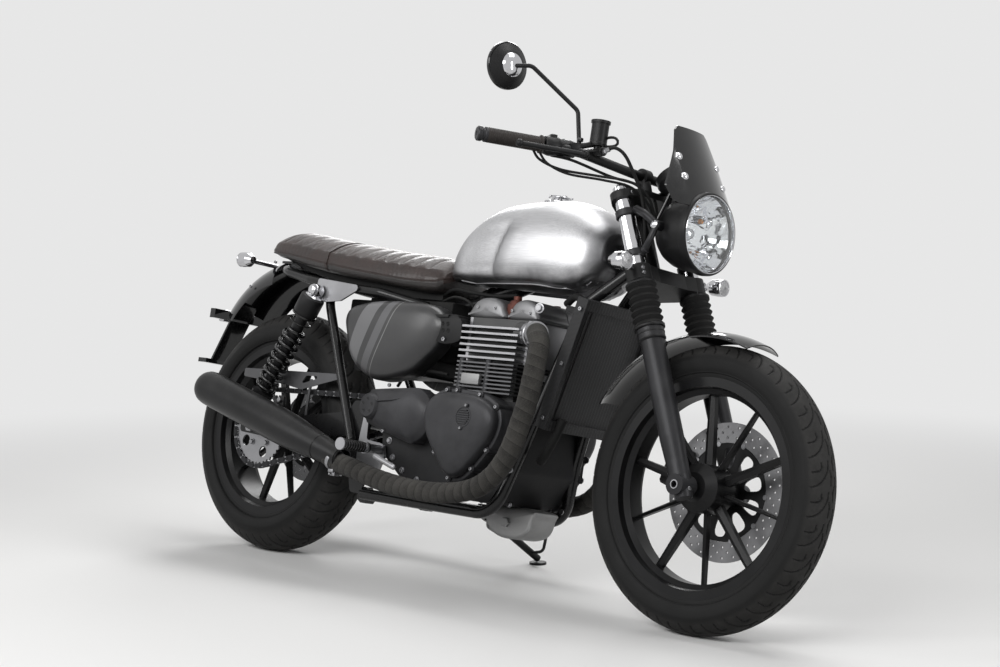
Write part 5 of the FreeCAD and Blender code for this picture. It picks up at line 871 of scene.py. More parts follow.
def seatRise(x, y, edge, z, top):
    # pillows between the sewn channels, and the strap's pinch
    side = abs(y)
    if z < edge - 4 or not seat["firstRib"] < x < seat["lastRib"]:
        return 0.0
    phase = (x - seat["firstRib"]) / seat["pitch"] % 1.0
    pillow = abs(sin(pi * phase)) ** 0.5
    reach = 1 - softStep(side, top - 5, top + 4)
    pinch = exp(-((x - seat["strapX"]) / 9.0) ** 2) * 0.5
    return seat["ribRise"] * (pillow - 0.75 - pinch) * reach


def makeSeat():
    rings = []
    for index in range(seat["along"] + 1):
        row = smoothRow(seat["rows"], index / seat["along"])
        ring = []
        for x, y, z in seatRing(row):
            wrinkle = 0.5 * sin(x * 0.21 + y * 0.05) * sin(x * 0.07 + 1.3 + z * 0.11)
            ring.append((x, y + copysign(wrinkle, y) * (abs(y) > 40), z + seatRise(x, y, row[3], z, row[7])))
        rings.append(ring)
    mesh = dressed(skinOf(rings), "leather", "leatherBand")
    for face in mesh.polygons:
        row = rowAt(seat["rows"], face.center.x)
        face.material_index = int(row is not None and face.center.z < row[2] - 1.5)
    piece = finishPiece("seat_pad", mesh, "chassis", None, angle=180)
    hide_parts("seat")


def makeSeatTrim():
    # piping along the seam, stitches above it and the strap over the pad
    cords, stitches = [], []
    for side in (1, -1):
        rows = [rowAt(seat["rows"], -58 + 648 * step / 89) for step in range(90)]
        cords.append(pipe([(row[0], side * (row[6] - 0.7), row[2] - 0.6) for row in rows], 1.5, 8))
        for step in range(130):
            row = rowAt(seat["rows"], -50 + 630 * step / 129)
            stitches.append(((row[0], side * (row[6] * 0.95 + row[7] * 0.05 + 0.2), row[2] + 6.5), (1, 0, 0)))
    finishPiece("seat_piping", cords, "chassis", "leather")
    stitch = lathe([(0, -1.7), (0.35, -1.3), (0.45, 0), (0.35, 1.3), (0, 1.7)], segments=6)
    finishPiece("seat_stitches", setOut(stitch, stitches, "leatherBand"), "chassis", None)
    row = rowAt(seat["rows"], seat["strapX"])
    middle = Vector((row[0], 0, (row[1] + row[4]) / 2))
    points = []
    for x, y, z in seatRing(row):
        rise = seatRise(x, y, row[3], z, row[7]) + (1.1 if z > row[3] - 5 else 0)
        for width in (-4.5, 4.5):
            spot = Vector((x - (z - row[2]) * 0.12 + width, y * 1.004 + copysign(0.9, y), z + rise))
            outward = Vector((0, spot.y, spot.z - middle.z)).normalized()
            points += [spot, spot + outward * 1.6]
    count = len(points) // 4
    faces = []
    for step in range(count):
        a, b = step * 4, (step + 1) % count * 4
        for first, second in ((0, 1), (1, 3), (3, 2), (2, 0)):
            faces.append((a + first, a + second, b + second, b + first))
    finishPiece("seat_strap", cleaned(meshOf(points, faces)), "chassis", "leather", angle=30)


makeSeat()
makeSeatTrim()
print("seat made")


# Tyres: a turned skin whose crown is cut by curved sipes

tyres = {
    "front": {"centre": frontCentre, "radius": 318.0, "crown": 54.0, "half": 50.0, "bead": 244.0, "rim": 43.0,
        "pitches": 30, "segments": 900, "body": "front_wheel"},
    "rear": {"centre": rearCentre, "radius": 321.0, "crown": 80.0, "half": 75.0, "bead": 231.0, "rim": 62.0,
        "pitches": 30, "segments": 900, "body": "rear_wheel"},
}
sipes = {
    "long": [(0.86, 0.02), (0.66, 0.1), (0.4, 0.34), (0.24, 0.62), (0.2, 0.9)],
    "short": [(0.82, 0.52), (0.6, 0.56), (0.5, 0.66), (0.52, 0.82)],
    "middle": [(0.1, 0.12), (0.06, 0.42), (0.14, 0.6)], "width": 1.9, "depth": 3.2,
}


def tyreProfile(size, steps=46):
    # (radius, y, tread share) from one bead over the crown to the other
    r, half, crown, bead, rim = size["radius"], size["half"], size["crown"], size["bead"], size["rim"]
    tall = r - crown + sqrt(crown ** 2 - half ** 2) - bead
    wall = [(bead - 5, rim - 7, 0), (bead - 4, rim - 1.5, 0), (bead + 2, rim + 1.0, 0), (bead + 7, rim + 1.2, 0)]
    for share, out in ((0.2, 0.35), (0.24, 0.5), (0.27, 0.45), (0.4, 0.8), (0.55, 0.97), (0.72, 1.04),
                       (0.84, 1.05), (0.94, 1.01)):
        wall.append((bead + tall * share, rim + (half - rim) * out + 1.0, 0))
    tread = []
    for step in range(steps + 1):
        y = half * (1 - 2 * step / steps)
        tread.append((r - crown + sqrt(crown ** 2 - y * y), y, 1 - softStep(abs(y) / half, 0.86, 0.99)))
    return wall + tread + [(radius, -y, share) for radius, y, share in reversed(wall)]


def sipeCut(size, along, y):
    # depth of the cut at a place: along is in pitches, y across
    half, pitch = size["half"], 2 * pi * size["radius"] / size["pitches"]
    u = (along + (0.0 if y > 0 else 0.5)) % 1.0
    best = 99.0 ** 2
    for line in (sipes["long"], sipes["short"], sipes["middle"]):
        for (v0, u0), (v1, u1) in zip(line, line[1:]):
            for wrap in (0.0, pitch, -pitch):
                px, py = (u - u0) * pitch + wrap, abs(y) - v0 * half
                dx, dy = (u1 - u0) * pitch, (v1 - v0) * half
                t = max(0.0, min(1.0, (px * dx + py * dy) / (dx * dx + dy * dy)))
                best = min(best, (px - t * dx) ** 2 + (py - t * dy) ** 2)
    return sipes["depth"] * (1 - softStep(sqrt(best), sipes["width"] * 0.45, sipes["width"]))


def makeTyre(name):
    size = tyres[name]
    profile = tyreProfile(size)
    count = size["segments"]
    perPitch = count // size["pitches"]
    cuts, points, worn = {}, [], []
    for step, (c, s) in enumerate(circle(count)):
        for row, (radius, y, share) in enumerate(profile):
            key = (step % perPitch, row)
            if share > 0 and key not in cuts:
                cuts[key] = sipeCut(size, step * size["pitches"] / count, y) * min(1, share * 3)
            cut = cuts.get(key, 0.0)
            points.append((size["centre"].x + (radius - cut) * c, y, size["centre"].z + (radius - cut) * s))
            worn.append(share if cut < 0.4 else 0.0)
    mesh = meshOf(points, gridFaces(count, len(profile), closed=True))
    mesh.attributes.new("tread", "FLOAT", "POINT").data.foreach_set("value", worn)
    piece = finishPiece(name + "_tyre_tread", cleaned(mesh, 0), size["body"], "tyre", angle=40)
    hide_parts(name + "_tyre")


makeTyre("front")
makeTyre("rear")
print("tyres made")

# Exhaust headers in heat tape, wound on in overlapping turns

header = {
    "route": [(940, -112, 618), (972, -120, 619), (1001, -146, 617), (1026, -160, 590), (1030, -168, 540),
        (1028, -175, 461), (1020, -178, 414), (1011, -181, 367), (994, -185, 319), (961, -190, 273),
        (909, -195, 241), (816, -198, 223), (700, -200, 222), (600, -201, 232), (520, -204, 247),
        (440, -205.5, 262), (372, -205, 291)], "radius": 23.8, "tape": 25.0, "step": 0.9, "sample": 2.2,
    "around": 44,
}


def smoothPath(points, spacing):
    # a path through given points, read at even spacing
    points = [Vector(p) for p in points]
    ends = [points[0]] + points + [points[-1]]
    fine = [catmull(*ends[index:index + 4], step / 24) for index in range(len(points) - 1) for step in range(24)]
    fine.append(points[-1])
    path, carried = [fine[0]], 0.0
    for before, after in zip(fine, fine[1:]):
        length = (after - before).length
        while carried + length >= spacing:
            before = before + (after - before) * ((spacing - carried) / length)
            path.append(before)
            length, carried = (after - before).length, 0.0
        carried += length
    if (path[-1] - fine[-1]).length > spacing * 0.3:
        path.append(fine[-1])
    return path


def wrappedPipe(route, radius, spacing, around, tape, step):
    frames = alongFrames(smoothPath(route, spacing))
    random.seed(7)
    wobble = [random.uniform(-0.5, 0.5) for _ in range(400)]
    points, flat, length, previous = [], [], 0.0, frames[0][0]
    for spot, x, y in frames:
        length += (spot - previous).length
        previous = spot
        for k, (c, s) in enumerate(circle(around)):
            angle = 2 * pi * k / around
            turn = length / tape + k / around
            number = int(turn)
            phase = (turn - number + 0.08 * sin(3 * angle + number * 1.7)) % 1.0
            rise = step * (1 - phase) * softStep(phase, 0.0, 0.1) + 0.175 * wobble[(number * 7 + k) % 400]
            rise += 0.35 * sin(angle * 2 + number)
            points.append(spot + (x * c + y * s) * (radius + rise))
            flat.append((length * 0.001, angle * radius * 0.001))
    mesh = meshOf(points, gridFaces(len(frames), around) + endCaps(len(frames), around))
    layer = mesh.uv_layers.new(name="wrap")
    for face in mesh.polygons:
        corners = [flat[mesh.loops[i].vertex_index] for i in face.loop_indices]
        wide = max(c[1] for c in corners) - min(c[1] for c in corners) > radius * 0.003
        for i, (along, about) in zip(face.loop_indices, corners):
            if wide and about < radius * 0.003:
                about += 2 * pi * radius * 0.001
            layer.data[i].uv = (along, about)
    return cleaned(mesh, 0)


def makeHeaders():
    right = wrappedPipe(header["route"], header["radius"], header["sample"] * (1), header["around"],
                        header["tape"], header["step"])
    piece = finishPiece("header_wraps", bothSides(right), "chassis", "wrap", angle=60)
    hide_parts("exhaust_headers")
    metal = [lathe([(0, -6), (31, -6), (33, -4), (33, 3), (31, 5), (25, 6), (25, 12), (0, 12)],
                   (958.5, -112, 618), (1, -0.28, 0.03), 40),
             lathe([(0, 0), (26.5, 0), (27.5, 1.5), (27.5, 10), (26.5, 12), (0, 12)], (446, -205.5, 261),
                   (-1, 0, 0.42), 40),
             lathe([(0, 0), (27.5, 0), (28.5, 1.5), (28.5, 7), (27.5, 8.5), (0, 8.5)], (984, -132, 620),
                   (0.72, -0.66, 0.0), 40), brick((438, -221, 232), (456, -206, 240), 1.5)]
    finishPiece("header_collars", bothSides(together(metal)), "chassis", "alloy")


makeHeaders()
print("headers made")

# Shock springs as real coils

shock = {"top": (196, 140, 690), "foot": (15, 140, 362), "coil": 30.5, "wire": 5.6, "turns": 8.6,
         "rightTop": (196, -140, 690), "rightWay": (-181, 0, -328)}


def makeSprings():
    top, foot = Vector(shock["top"]), Vector(shock["foot"])
    axis, length = (foot - top).normalized(), (foot - top).length
    start, end = 0.302 * length, length - 60
    wire, coil = shock["wire"], shock["coil"] - shock["wire"]
    steps, path = int(shock["turns"] * 30), []
    for step in range(steps + 1):
        angle = 2 * pi * shock["turns"] * step / steps
        height = start + wire + (end - start - 2 * wire) * step / steps
        path.append(top + frameOf(axis) @ Vector((coil * cos(angle), coil * sin(angle), height)))
    wires = dressed(bothSides(pipe(path, wire, 12)), "glossBlack")
    cores = dressed(bothSides(bar(top + axis * start, top + axis * end, coil * 0.55, 28)), "satinBlack")
    piece = finishPiece("spring_coils", [wires, cores], "chassis", None)
    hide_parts("shock_springs")
    top, along = Vector(shock["rightTop"]), Vector(shock["rightWay"]).normalized()
    details = [lathe([(0, 0), (12, 0), (13, 1.5), (13, 6), (10, 8), (0, 8)], (196, -151.5, 690), (0, -1, 0), 30),
               lathe([(0, 0), (9, 0), (10, 1.5), (10, 5), (7, 7), (0, 7)], (15, -151.5, 362), (0, -1, 0), 6),
               lathe([(15, 15), (19, 16), (21, 20), (21, 25), (16, 27)], top, along, 32)]
    finishPiece("shock_bolts", bothSides(together(details)), "chassis", "chrome")
    rings = [lathe([(26, -1.6), (28.8, -1.2), (28.8, 1.2), (26, 1.6)], top + along * offset, along, 40, closed=True)
             for offset in (26, 34, 96)]
    finishPiece("shock_rings", bothSides(together(rings)), "chassis", "glossBlack")


makeSprings()
print("springs made")


# Engine covers: a smooth outline drawn in by rings and pulled out into a dome

covers = {
    "clutch": [(706, 372), (698, 410), (714, 448), (758, 469), (830, 471), (892, 463), (934, 440), (950, 405),
        (940, 360), (905, 312), (864, 268), (828, 252), (794, 264), (752, 308), (722, 342)],
    "clutchRings": [(0, 124), (0, 165), (1.2, 167.5), (3, 168.5), (9, 168.5), (9.4, 178), (12, 186), (17, 191),
        (26, 194.6), (40, 197), (60, 198)],
    "clutchBolts": [(794.5, 463), (872.8, 455), (917, 424), (893, 357), (859, 306), (813.5, 268), (741, 308),
        (764, 455)], "vent": (853, 406), "ventRadius": 25.5,
    "sprocketRings": [(0, 124), (0, 158), (1.4, 160.5), (4, 162), (9, 169), (16, 175.5), (26, 181), (40, 185),
        (54, 186.5)], "cap": (511, 407), "sprocket": [(511, 407, 46), (640, 397, 67)], "ringCount": 160,
    "middle": (828, 370),
}


def closedCurve(points, count):
    # a smooth closed line through given places
    out, total = [], len(points)
    for step in range(count):
        place = step / count * total
        near = [Vector(points[(int(place) + k) % total]) for k in (-1, 0, 1, 2)]
        out.append(catmull(*near, place - int(place)))
    return out


def evened(points, count):
    # the same closed line with its places evenly spaced
    lengths = [0.0]
    for a, b in zip(points, points[1:] + points[:1]):
        lengths.append(lengths[-1] + (b - a).length)
    out, index = [], 0
    for step in range(count):
        goal = lengths[-1] * step / count
        while lengths[index + 1] < goal:
            index += 1
        share = (goal - lengths[index]) / max(1e-9, lengths[index + 1] - lengths[index])
        out.append(points[index].lerp(points[(index + 1) % len(points)], share))
    return out


def smoothed(line):
    return [line[i] * 0.5 + (line[i - 1] + line[(i + 1) % len(line)]) * 0.25 for i in range(len(line))]


def drawnIn(points, amount):
    # moves a closed line inwards in small smoothed steps
    done, total = 0.0, len(points)
    area = sum(a.x * b.y - b.x * a.y for a, b in zip(points, points[1:] + points[:1]))
    while done < amount - 1e-6:
        step = min(2.0, amount - done)
        moved = []
        for index in range(total):
            tangent = (points[(index + 1) % total] - points[index - 1]).normalized()
            moved.append(points[index] + Vector((-tangent.y, tangent.x)) * copysign(step, area))
        points = smoothed(moved)
        done += step
    return points


def domeOf(outline, rings, side=-1):
    # rings are (drawn in, how far out); the edge follows the outline, the crown shrinks towards its middle
    count = covers["ringCount"]
    line = evened(closedCurve(outline, count * 2), count)
    middle = sum(line, Vector((0, 0))) / count
    reach = min((p - middle).length for p in line)
    loops, depth = [], 0.0
    for inset, out in rings:
        if inset > depth and inset <= 9:
            line = drawnIn(line, inset - depth)
        elif inset > depth:
            share = (reach - inset) / (reach - depth)
            line = [middle + (p - middle) * share for p in line]
            for _ in range(int(inset - depth)):
                line = smoothed(line)
        depth = max(depth, inset)
        loops.append([(p.x, side * out, p.y) for p in line])
    return skinOf(loops)


def hullOutline(first, second, count=80):
    # the rim round two circles, each as (x, z, radius)
    points = []
    for c, s in circle(count):
        x, z, radius = max((second, first), key=lambda one: one[0] * c + one[1] * s + one[2])
        points.append((x + radius * c, z + radius * s))
    return points


def boltHead(radius=4.6, tall=4.5):
    # a socket screw, lying along Z
    rim = radius * 0.55
    return lathe([(0, -1), (radius, -1), (radius, tall - 0.8), (radius - 0.8, tall), (rim, tall),
                  (rim * 0.96, tall - 2.0), (0, tall - 2.2)], segments=14)


def hexHead(radius=6.0, tall=5.0):
    # a hexagon head on its washer
    washer = lathe([(0, -1), (radius * 1.35, -1), (radius * 1.35, 1), (radius, 1.2), (0, 1.2)], segments=18)
    head = lathe([(0, 1), (radius, 1), (radius, tall - 0.7), (radius * 0.86, tall), (0, tall)], segments=6)
    return together([washer, head])


def bolted(name, spots, body="chassis", head=None):
    # a set of bolts as one piece
    finishPiece(name, setOut(head or boltHead(), spots, "steel"), body, None, angle=30)


def makeClutchCover():
    vx, vz = covers["vent"]
    r = covers["ventRadius"]
    turn = (0.03, -1, 0.02)
    whole = [domeOf(covers["clutch"], covers["clutchRings"]),
             lathe([(0, -6), (r, -6), (r, 0.2), (r - 1.4, 1.6), (r - 4, 1.6), (r - 4.6, 0.2), (0, 0.2)],
                   (vx, -197.6, vz), turn)]
    for index in range(-3, 4):
        z = vz + index * 5.2
        half = sqrt(max(0, (r - 6) ** 2 - (index * 5.2) ** 2))
        if half > 3:
            whole.append(brick((vx - half, -201.2, z - 1.3), (vx + half, -196, z + 1.3), 0.8))
    ears = [(vx + 7, vz + 27), (vx - 2, vz - 27)]
    whole += [lathe([(0, -8), (5.2, -8), (5.2, 2.2), (4.4, 3.0), (0, 3.0)], (x, -197.6, z), turn, 20) for x, z in ears]
    piece = finishPiece("clutch_dome", whole, "chassis", "engineGrey", angle=32)
    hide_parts("clutch_cover")
    bosses, bolts = [], []
    loop = evened(closedCurve(covers["clutch"], 320), 320)
    for place in covers["clutchBolts"]:
        near = min(loop, key=lambda p: (p - Vector(place)).length)
        x, z = near + (Vector(covers["middle"]) - near).normalized() * 4.5
        bosses.append(lathe([(0, 124), (8.6, 124), (8.6, 171.5), (7.6, 172.8), (0, 172.8)], (x, 0, z), (0, -1, 0), 22))
        bolts.append(((x, -172.6, z), (0, -1, 0)))
    finishPiece("clutch_bosses", bosses, "chassis", "engineGrey")
    bolted("clutch_bolts", bolts + [((x, -200.4, z), (0, -1, 0), 0.7) for x, z in ears])


def makeSprocketCover():
    cx, cz = covers["cap"]
    cap = lathe([(0, -10), (34, -10), (32, 0), (29.5, 2.5), (28, 5.5), (26.5, 7), (0, 7.4)], (cx, -184.5, cz),
                (0, -1, 0), 56)
    crease = [(536, -184.5, 421), (560, -185.8, 424), (590, -183.5, 428), (620, -178.5, 436), (652, -170, 450)]
    whole = together([domeOf(hullOutline(*covers["sprocket"])[::4], covers["sprocketRings"]), cap,
                      pipe(smoothPath(crease, 5), 2.4, 10)])
    piece = finishPiece("sprocket_dome", whole, "chassis", "engineGrey", angle=38)
    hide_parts("sprocket_cover")
    holes = [(wheelPoint((cx, 0, cz), 16, 90 + 72 * k, -192.1), (0, -1, 0)) for k in range(5)]
    pit = lathe([(0, 0), (2.6, 0), (3.5, 0.5), (3.7, 0.2)], segments=14)
    finishPiece("cap_holes", setOut(pit, holes, "boltBlack"), "chassis", None)
    bolted("sprocket_bolts", [((cx + 62 * cos(a) + 60, -163, cz + 60 * sin(a)), (0, -1, 0)) for a in (1.9, 4.4)])


def makeLeftCovers():
    # the generator and gear covers on the far side
    generator = domeOf(covers["clutch"], covers["clutchRings"], side=1)
    gears = domeOf(hullOutline(*covers["sprocket"])[::4], covers["sprocketRings"], side=1)
    ring = lathe([(50, -4), (56, -3), (56, 3), (50, 4)], (822, 197, 368), (0, 1, 0), 72, closed=True)
    piece = finishPiece("left_domes", [generator, gears, ring], "chassis", "engineGrey",
                        angle=32)
    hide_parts("left_covers")
    bolts = []
    for place in covers["clutchBolts"]:
        x, z = Vector(place) + (Vector(covers["middle"]) - Vector(place)).normalized() * 3
        bolts.append(((x, 170.5, z), (0, 1, 0)))
    bolted("left_bolts", bolts)


makeClutchCover()
makeSprocketCover()
makeLeftCovers()
print("engine covers made")

# Side covers: soft pillows between the seat rail and the engine

side = {
    "outline": [(337, 579), (322, 622), (342, 656), (426, 673), (529, 677), (619, 673), (666, 653), (684, 621),
        (666, 571), (631, 536), (585, 500), (517, 480), (451, 477), (388, 503), (352, 541)],
    "rings": [(0, 92), (0, 126), (0.8, 130), (3, 136), (7, 142), (13, 147), (22, 151.5), (34, 154.8), (50, 156.5),
        (66, 157)],
    "block": [(640, 640), (732, 644), (748, 612), (744, 588), (700, 578), (662, 586), (642, 612)],
    "holes": [(663, 627), (681, 627), (699, 627), (667, 611), (685, 611), (703, 611)],
}


def makeSideCovers():
    piece = finishPiece("side_pillows", bothSides(domeOf(side["outline"], side["rings"])), "chassis", "panel",
                        angle=60)
    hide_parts("side_covers")
    block = slabOf(closedCurve(side["block"], 42), "y", -141, -98, 2.5)
    rail = slabOf([(650, 640), (700, 642), (699, 650), (652, 648)], "y", -144, -112, 1.5)
    finishPiece("vent_block", bothSides(together([block, rail])), "chassis", "satinBlack")
    pit = lathe([(0, 0), (3.4, 0), (4.6, 0.8), (5.2, 0.6), (5.6, -0.4)], segments=16)
    spots = [((x, hand * 141.1, z), (0, hand, 0)) for hand in (-1, 1) for x, z in side["holes"]]
    finishPiece("vent_holes", setOut(pit, spots, "rubber"), "chassis", None)
    bolted("vent_screws", [((694, hand * 141, 589), (0, hand, 0), 1.2) for hand in (-1, 1)])


makeSideCovers()
print("side covers made")

# Headlamp: a bucket, a bright rim, a faceted reflector behind clear glass and two arms

lamp = {"root": (1215.4, 0, 884), "radius": 94.0, "depth": 132.0, "glass": 87.0, "facets": 26, "rows": 9}


def makeReflector(root):
    # a bowl of small square facets
    points = []
    count, rows, wide, high = lamp["facets"] * 4, lamp["rows"] * 4, 17.0, 26.0
    for row in range(rows + 1):
        share = row / rows
        radius = 12 + 74 * share
        for c, s in circle(count):
            y, z = radius * c, radius * s
            column, level = floor(y / wide + 0.5), floor(z / high + 0.5)
            cell, tall = (column * wide - y) / wide, (level * high - z) / high
            turn = (column + level) % 2 * 2 - 1
            bulge = 6.5 * cell * cell * turn + 4.0 * tall * tall - 1.5 * turn * tall
            x = 30 + 84 * share ** 2.1 + bulge * (1 - softStep(share, 0.93, 1.0))
            points.append(root + Vector((x, y, z)))
    faces = [(a, d, c, b) for a, b, c, d in gridFaces(rows + 1, count)]
    return dressed(meshOf(points, faces), "reflector")


def makeHeadlamp():
    root = Vector(lamp["root"])

    def turned(key, profile, segments=96, closed=False, shift=(0, 0, 0)):
        return dressed(lathe(profile, root + Vector(shift), (1, 0, 0), segments, closed), key)

    whole = [
        turned("satinBlack", [(0, -2), (18, -1), (36, 4), (54, 15), (68, 30), (78, 48), (84, 68), (88, 90), (89.5, 108),
                              (90, 112), (88, 112), (86.5, 92), (80, 68), (70, 46), (52, 28), (30, 18), (0, 16)]),
        turned("satinBlack", [(90.5, 110), (93.4, 111.5), (94, 114), (94, 126), (92.8, 129.8), (90.4, 131.6),
                              (88, 131.2), (87, 129), (87, 124), (88.5, 112)], closed=True),
        turned("chrome", [(87.4, 124), (88.9, 130.6), (88.2, 132.2), (86.8, 131.4), (85.8, 126), (85.8, 123)],
               closed=True),
        makeReflector(root),
        turned("chrome", [(0, 26), (14, 26), (16, 34), (15, 66), (11, 76), (4, 80), (0, 80.5)], 40),
        turned("amber", [(0, 0), (6, 0), (7, 5), (5, 9), (0, 10)], 24, shift=(72, 26, 34)),
        turned("glass", [(0, 138), (25, 137.4), (50, 135.6), (70, 132.9), (82, 130.4), (86.4, 128.6), (86.4, 125.8),
                         (81.5, 127.6), (69.5, 130.1), (49.5, 132.8), (24.8, 134.6), (0, 135.2)])]
    arms, caps = [], []
    for hand in (1, -1):
        leg = hand * wheel["legs"]
        ear = root + Vector((52, hand * 96, 2))
        arms.append(bar(root + Vector((52, hand * 78, 2)), ear + Vector((0, hand * 5, 0)), 11, 24))
        for ahead, up, lean, radius in ((30, 646, (0, 6, 6), 9.5), (28, 545, (4, 6, -6), 7.5)):
            end = forkPoint(ahead, leg, up)
            middle = end.lerp(ear, 0.5) + Vector((lean[0], hand * lean[1], lean[2]))
            arms.append(pipe(bend([end, middle, ear], 30), radius, 20))
        for up in (646, 545):
            arms.append(lathe([(21.5, -8), (24.5, -8), (25.5, -7), (25.5, 7), (24.5, 8), (21.5, 8)],
                              forkPoint(0, leg, up), forkUp, 44, closed=True))
            arms.append(bar(forkPoint(24, leg, up), forkPoint(36, leg, up), 9, 18))
        caps.append(lathe([(0, 0), (9, 0), (10, 2), (9, 6), (5, 8), (0, 8.4)], root + Vector((52, hand * 100, 2)),
                          (0, hand, 0), 28))
    whole += [dressed(together(arms), "sliderGrey"), dressed(together(caps), "chrome")]
    for z in (-34, 18):
        strip = slabOf([(-52, z), (52, z), (50, z + 5), (-50, z + 5)], "x", 80, 84, 0.8)
        strip.transform(Matrix.Translation(root))
        whole.append(dressed(strip, "reflector"))
    piece = finishPiece("headlamp_unit", whole, "steering", None, angle=32)
    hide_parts("headlamp")


makeHeadlamp()
print("headlamp made")


# Flat plates with holes, filled by a 2D curve

def plateOf(loops, thick, edge=0.3):
    # loops of (a, b) places; the first is the outline and the others are holes; the plate lies across Z
    curve = bpy.data.curves.new("plate", "CURVE")
    curve.dimensions, curve.fill_mode = "2D", "BOTH"
    curve.extrude, curve.bevel_depth, curve.bevel_resolution = thick / 2 - edge, edge, 0
    for loop in loops:
        spline = curve.splines.new("POLY")
        spline.points.add(len(loop) - 1)
        for point, (a, b) in zip(spline.points, loop):
            point.co = (a, b, 0, 1)
        spline.use_cyclic_u = True
    holder = shown("plate", curve)
    bpy.context.view_layer.update()
    mesh = bpy.data.meshes.new_from_object(holder.evaluated_get(bpy.context.evaluated_depsgraph_get()))
    bpy.data.objects.remove(holder)
    bpy.data.curves.remove(curve)
    return cleaned(mesh)


def ringOf(radius, count=48, centre=(0, 0)):
    return [(centre[0] + radius * c, centre[1] + radius * s) for c, s in circle(count)]


def standPlate(mesh, centre, y):
    # lays a plate drawn in (x, z) upright at this y
    mesh.transform(Matrix.Translation(Vector((centre[0], y, centre[2]))) @ Matrix.Rotation(radians(90), 4, "X"))
    return mesh


def petal(inner, outer, angle, half, count=20):
    # a rounded window between two radii
    out = []
    for c, s in circle(count):
        r = (inner + outer) / 2 + (outer - inner) / 2 * raised(s, 0.7)
        a = angle + half * raised(c, 0.7)
        out.append((r * cos(a), r * sin(a)))
    return out


discs = {
    "front": {"centre": frontCentre, "radius": 155.0, "band": 110.0, "y": 60.0, "hub": 40.0, "bore": 8.2,
        "body": "front_wheel", "rows": [(121, 3.1, 0.0), (133, 3.1, 0.5), (145, 3.1, 0.0)], "holes": 30, "arms": 10},
    "rear": {"centre": rearCentre, "radius": 127.0, "band": 90.0, "y": 84.0, "hub": 34.0, "bore": 10.8,
        "body": "rear_wheel", "rows": [(100, 3.0, 0.0), (113, 3.0, 0.5)], "holes": 28, "arms": 8},
}


def makeDisc(name):
    size = discs[name]
    band, hub, arms, y, bore = (size[key] for key in ("band", "hub", "arms", "y", "bore"))

    def sleeve(profile):
        return dressed(lathe(profile, size["centre"], (0, 1, 0), 48, closed=True), "satinBlack")

    loops = [ringOf(size["radius"], 120), ringOf(band, 90)]
    for radius, hole, phase in size["rows"]:
        for k in range(size["holes"]):
            angle = 2 * pi * (k + phase) / size["holes"]
            loops.append(ringOf(hole, 10, (radius * cos(angle), radius * sin(angle))))
    parts = [dressed(standPlate(plateOf(loops, 4.6), size["centre"], y), "discSteel")]
    loops = [ringOf(band - 1.2, 90), ringOf(bore, 30)]
    for k in range(arms):
        loops.append(petal(hub + 12, band - 11, 2 * pi * (k + 0.5) / arms, pi / arms * 0.62))
    parts.append(dressed(standPlate(plateOf(loops, 5.0, 0.5), size["centre"], y), "satinBlack"))
    pins = [(wheelPoint(size["centre"], band - 0.6, 360 * k / arms, y), (0, 1, 0)) for k in range(arms)]
    bolts = [(wheelPoint(size["centre"], hub * 0.72, 360 * k / arms + 18, y + 2.5), (0, 1, 0))
             for k in range(0, arms, 2)]
    pin = lathe([(0, -3.4), (5.4, -3.4), (6, -2.6), (6, 2.6), (5.4, 3.4), (3, 3.6), (2.6, 2.6), (0, 2.6)], segments=14)
    parts += [setOut(pin, pins, "steel"), setOut(boltHead(4.2, 4.0), bolts, "boltBlack"),
              sleeve([(bore, y - 2), (hub * 0.5, y - 2), (hub * 0.5, y + 5), (bore, y + 5)])]
    if name == "rear":
        parts.append(sleeve([(bore, 58), (26, 58), (26, y - 1), (bore, y - 1)]))
    piece = finishPiece(name + "_rotor", parts, size["body"], None, angle=30)
    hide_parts(name + "_disc")


makeDisc("front")
makeDisc("rear")
print("discs made")

# Chain: plates and rollers set out along the loop

chain = {"front": (505.0, 395.0, 16), "rear": (0.0, 321.0, 41), "y": -90.0, "pitch": 15.875}


def chainLoop():
    fx, fz, small = chain["front"]
    rx, rz, big = chain["rear"]
    rearRadius, frontRadius = (chain["pitch"] / 2 / sin(pi / teeth) for teeth in (big, small))
    tilt = atan2(fz - rz, fx - rx)
    lap = acos((rearRadius - frontRadius) / hypot(fx - rx, fz - rz))
    places = []
    for x, z, radius, start, sweep, steps in ((rx, rz, rearRadius, tilt + lap, 2 * pi - 2 * lap, 240),
                                              (fx, fz, frontRadius, tilt - lap, 2 * lap, 120)):
        for k in range(steps + 1):
            angle = start + sweep * k / steps
            places.append(Vector((x + radius * cos(angle), chain["y"], z + radius * sin(angle))))
    length = sum((b - a).length for a, b in zip(places, places[1:] + places[:1]))
    return evened(places, round(length / chain["pitch"] / 2) * 2)


def linkPlates(gap):
    # two side plates, pinched between their pins, drawn along X
    half, outline = chain["pitch"] / 2, []
    for hand in (1, -1):
        for k in range(7):
            angle = radians(-75 + 25 * k)
            outline.append((hand * (half + 6.4 * cos(angle)), hand * 6.4 * sin(angle)))
    parts = [slabOf(outline, "z", hand * gap - 0.8, hand * gap + 0.8) for hand in (1, -1)]
    # the outer plates carry the pins, the inner ones the rollers
    extra, radius, segments = (1.6, 2.5, 8) if gap > 5.5 else (0, 4.6, 10)
    parts += [bar((x, 0, -gap - extra), (x, 0, gap + extra), radius, segments) for x in (-half, half)]
    return together(parts)


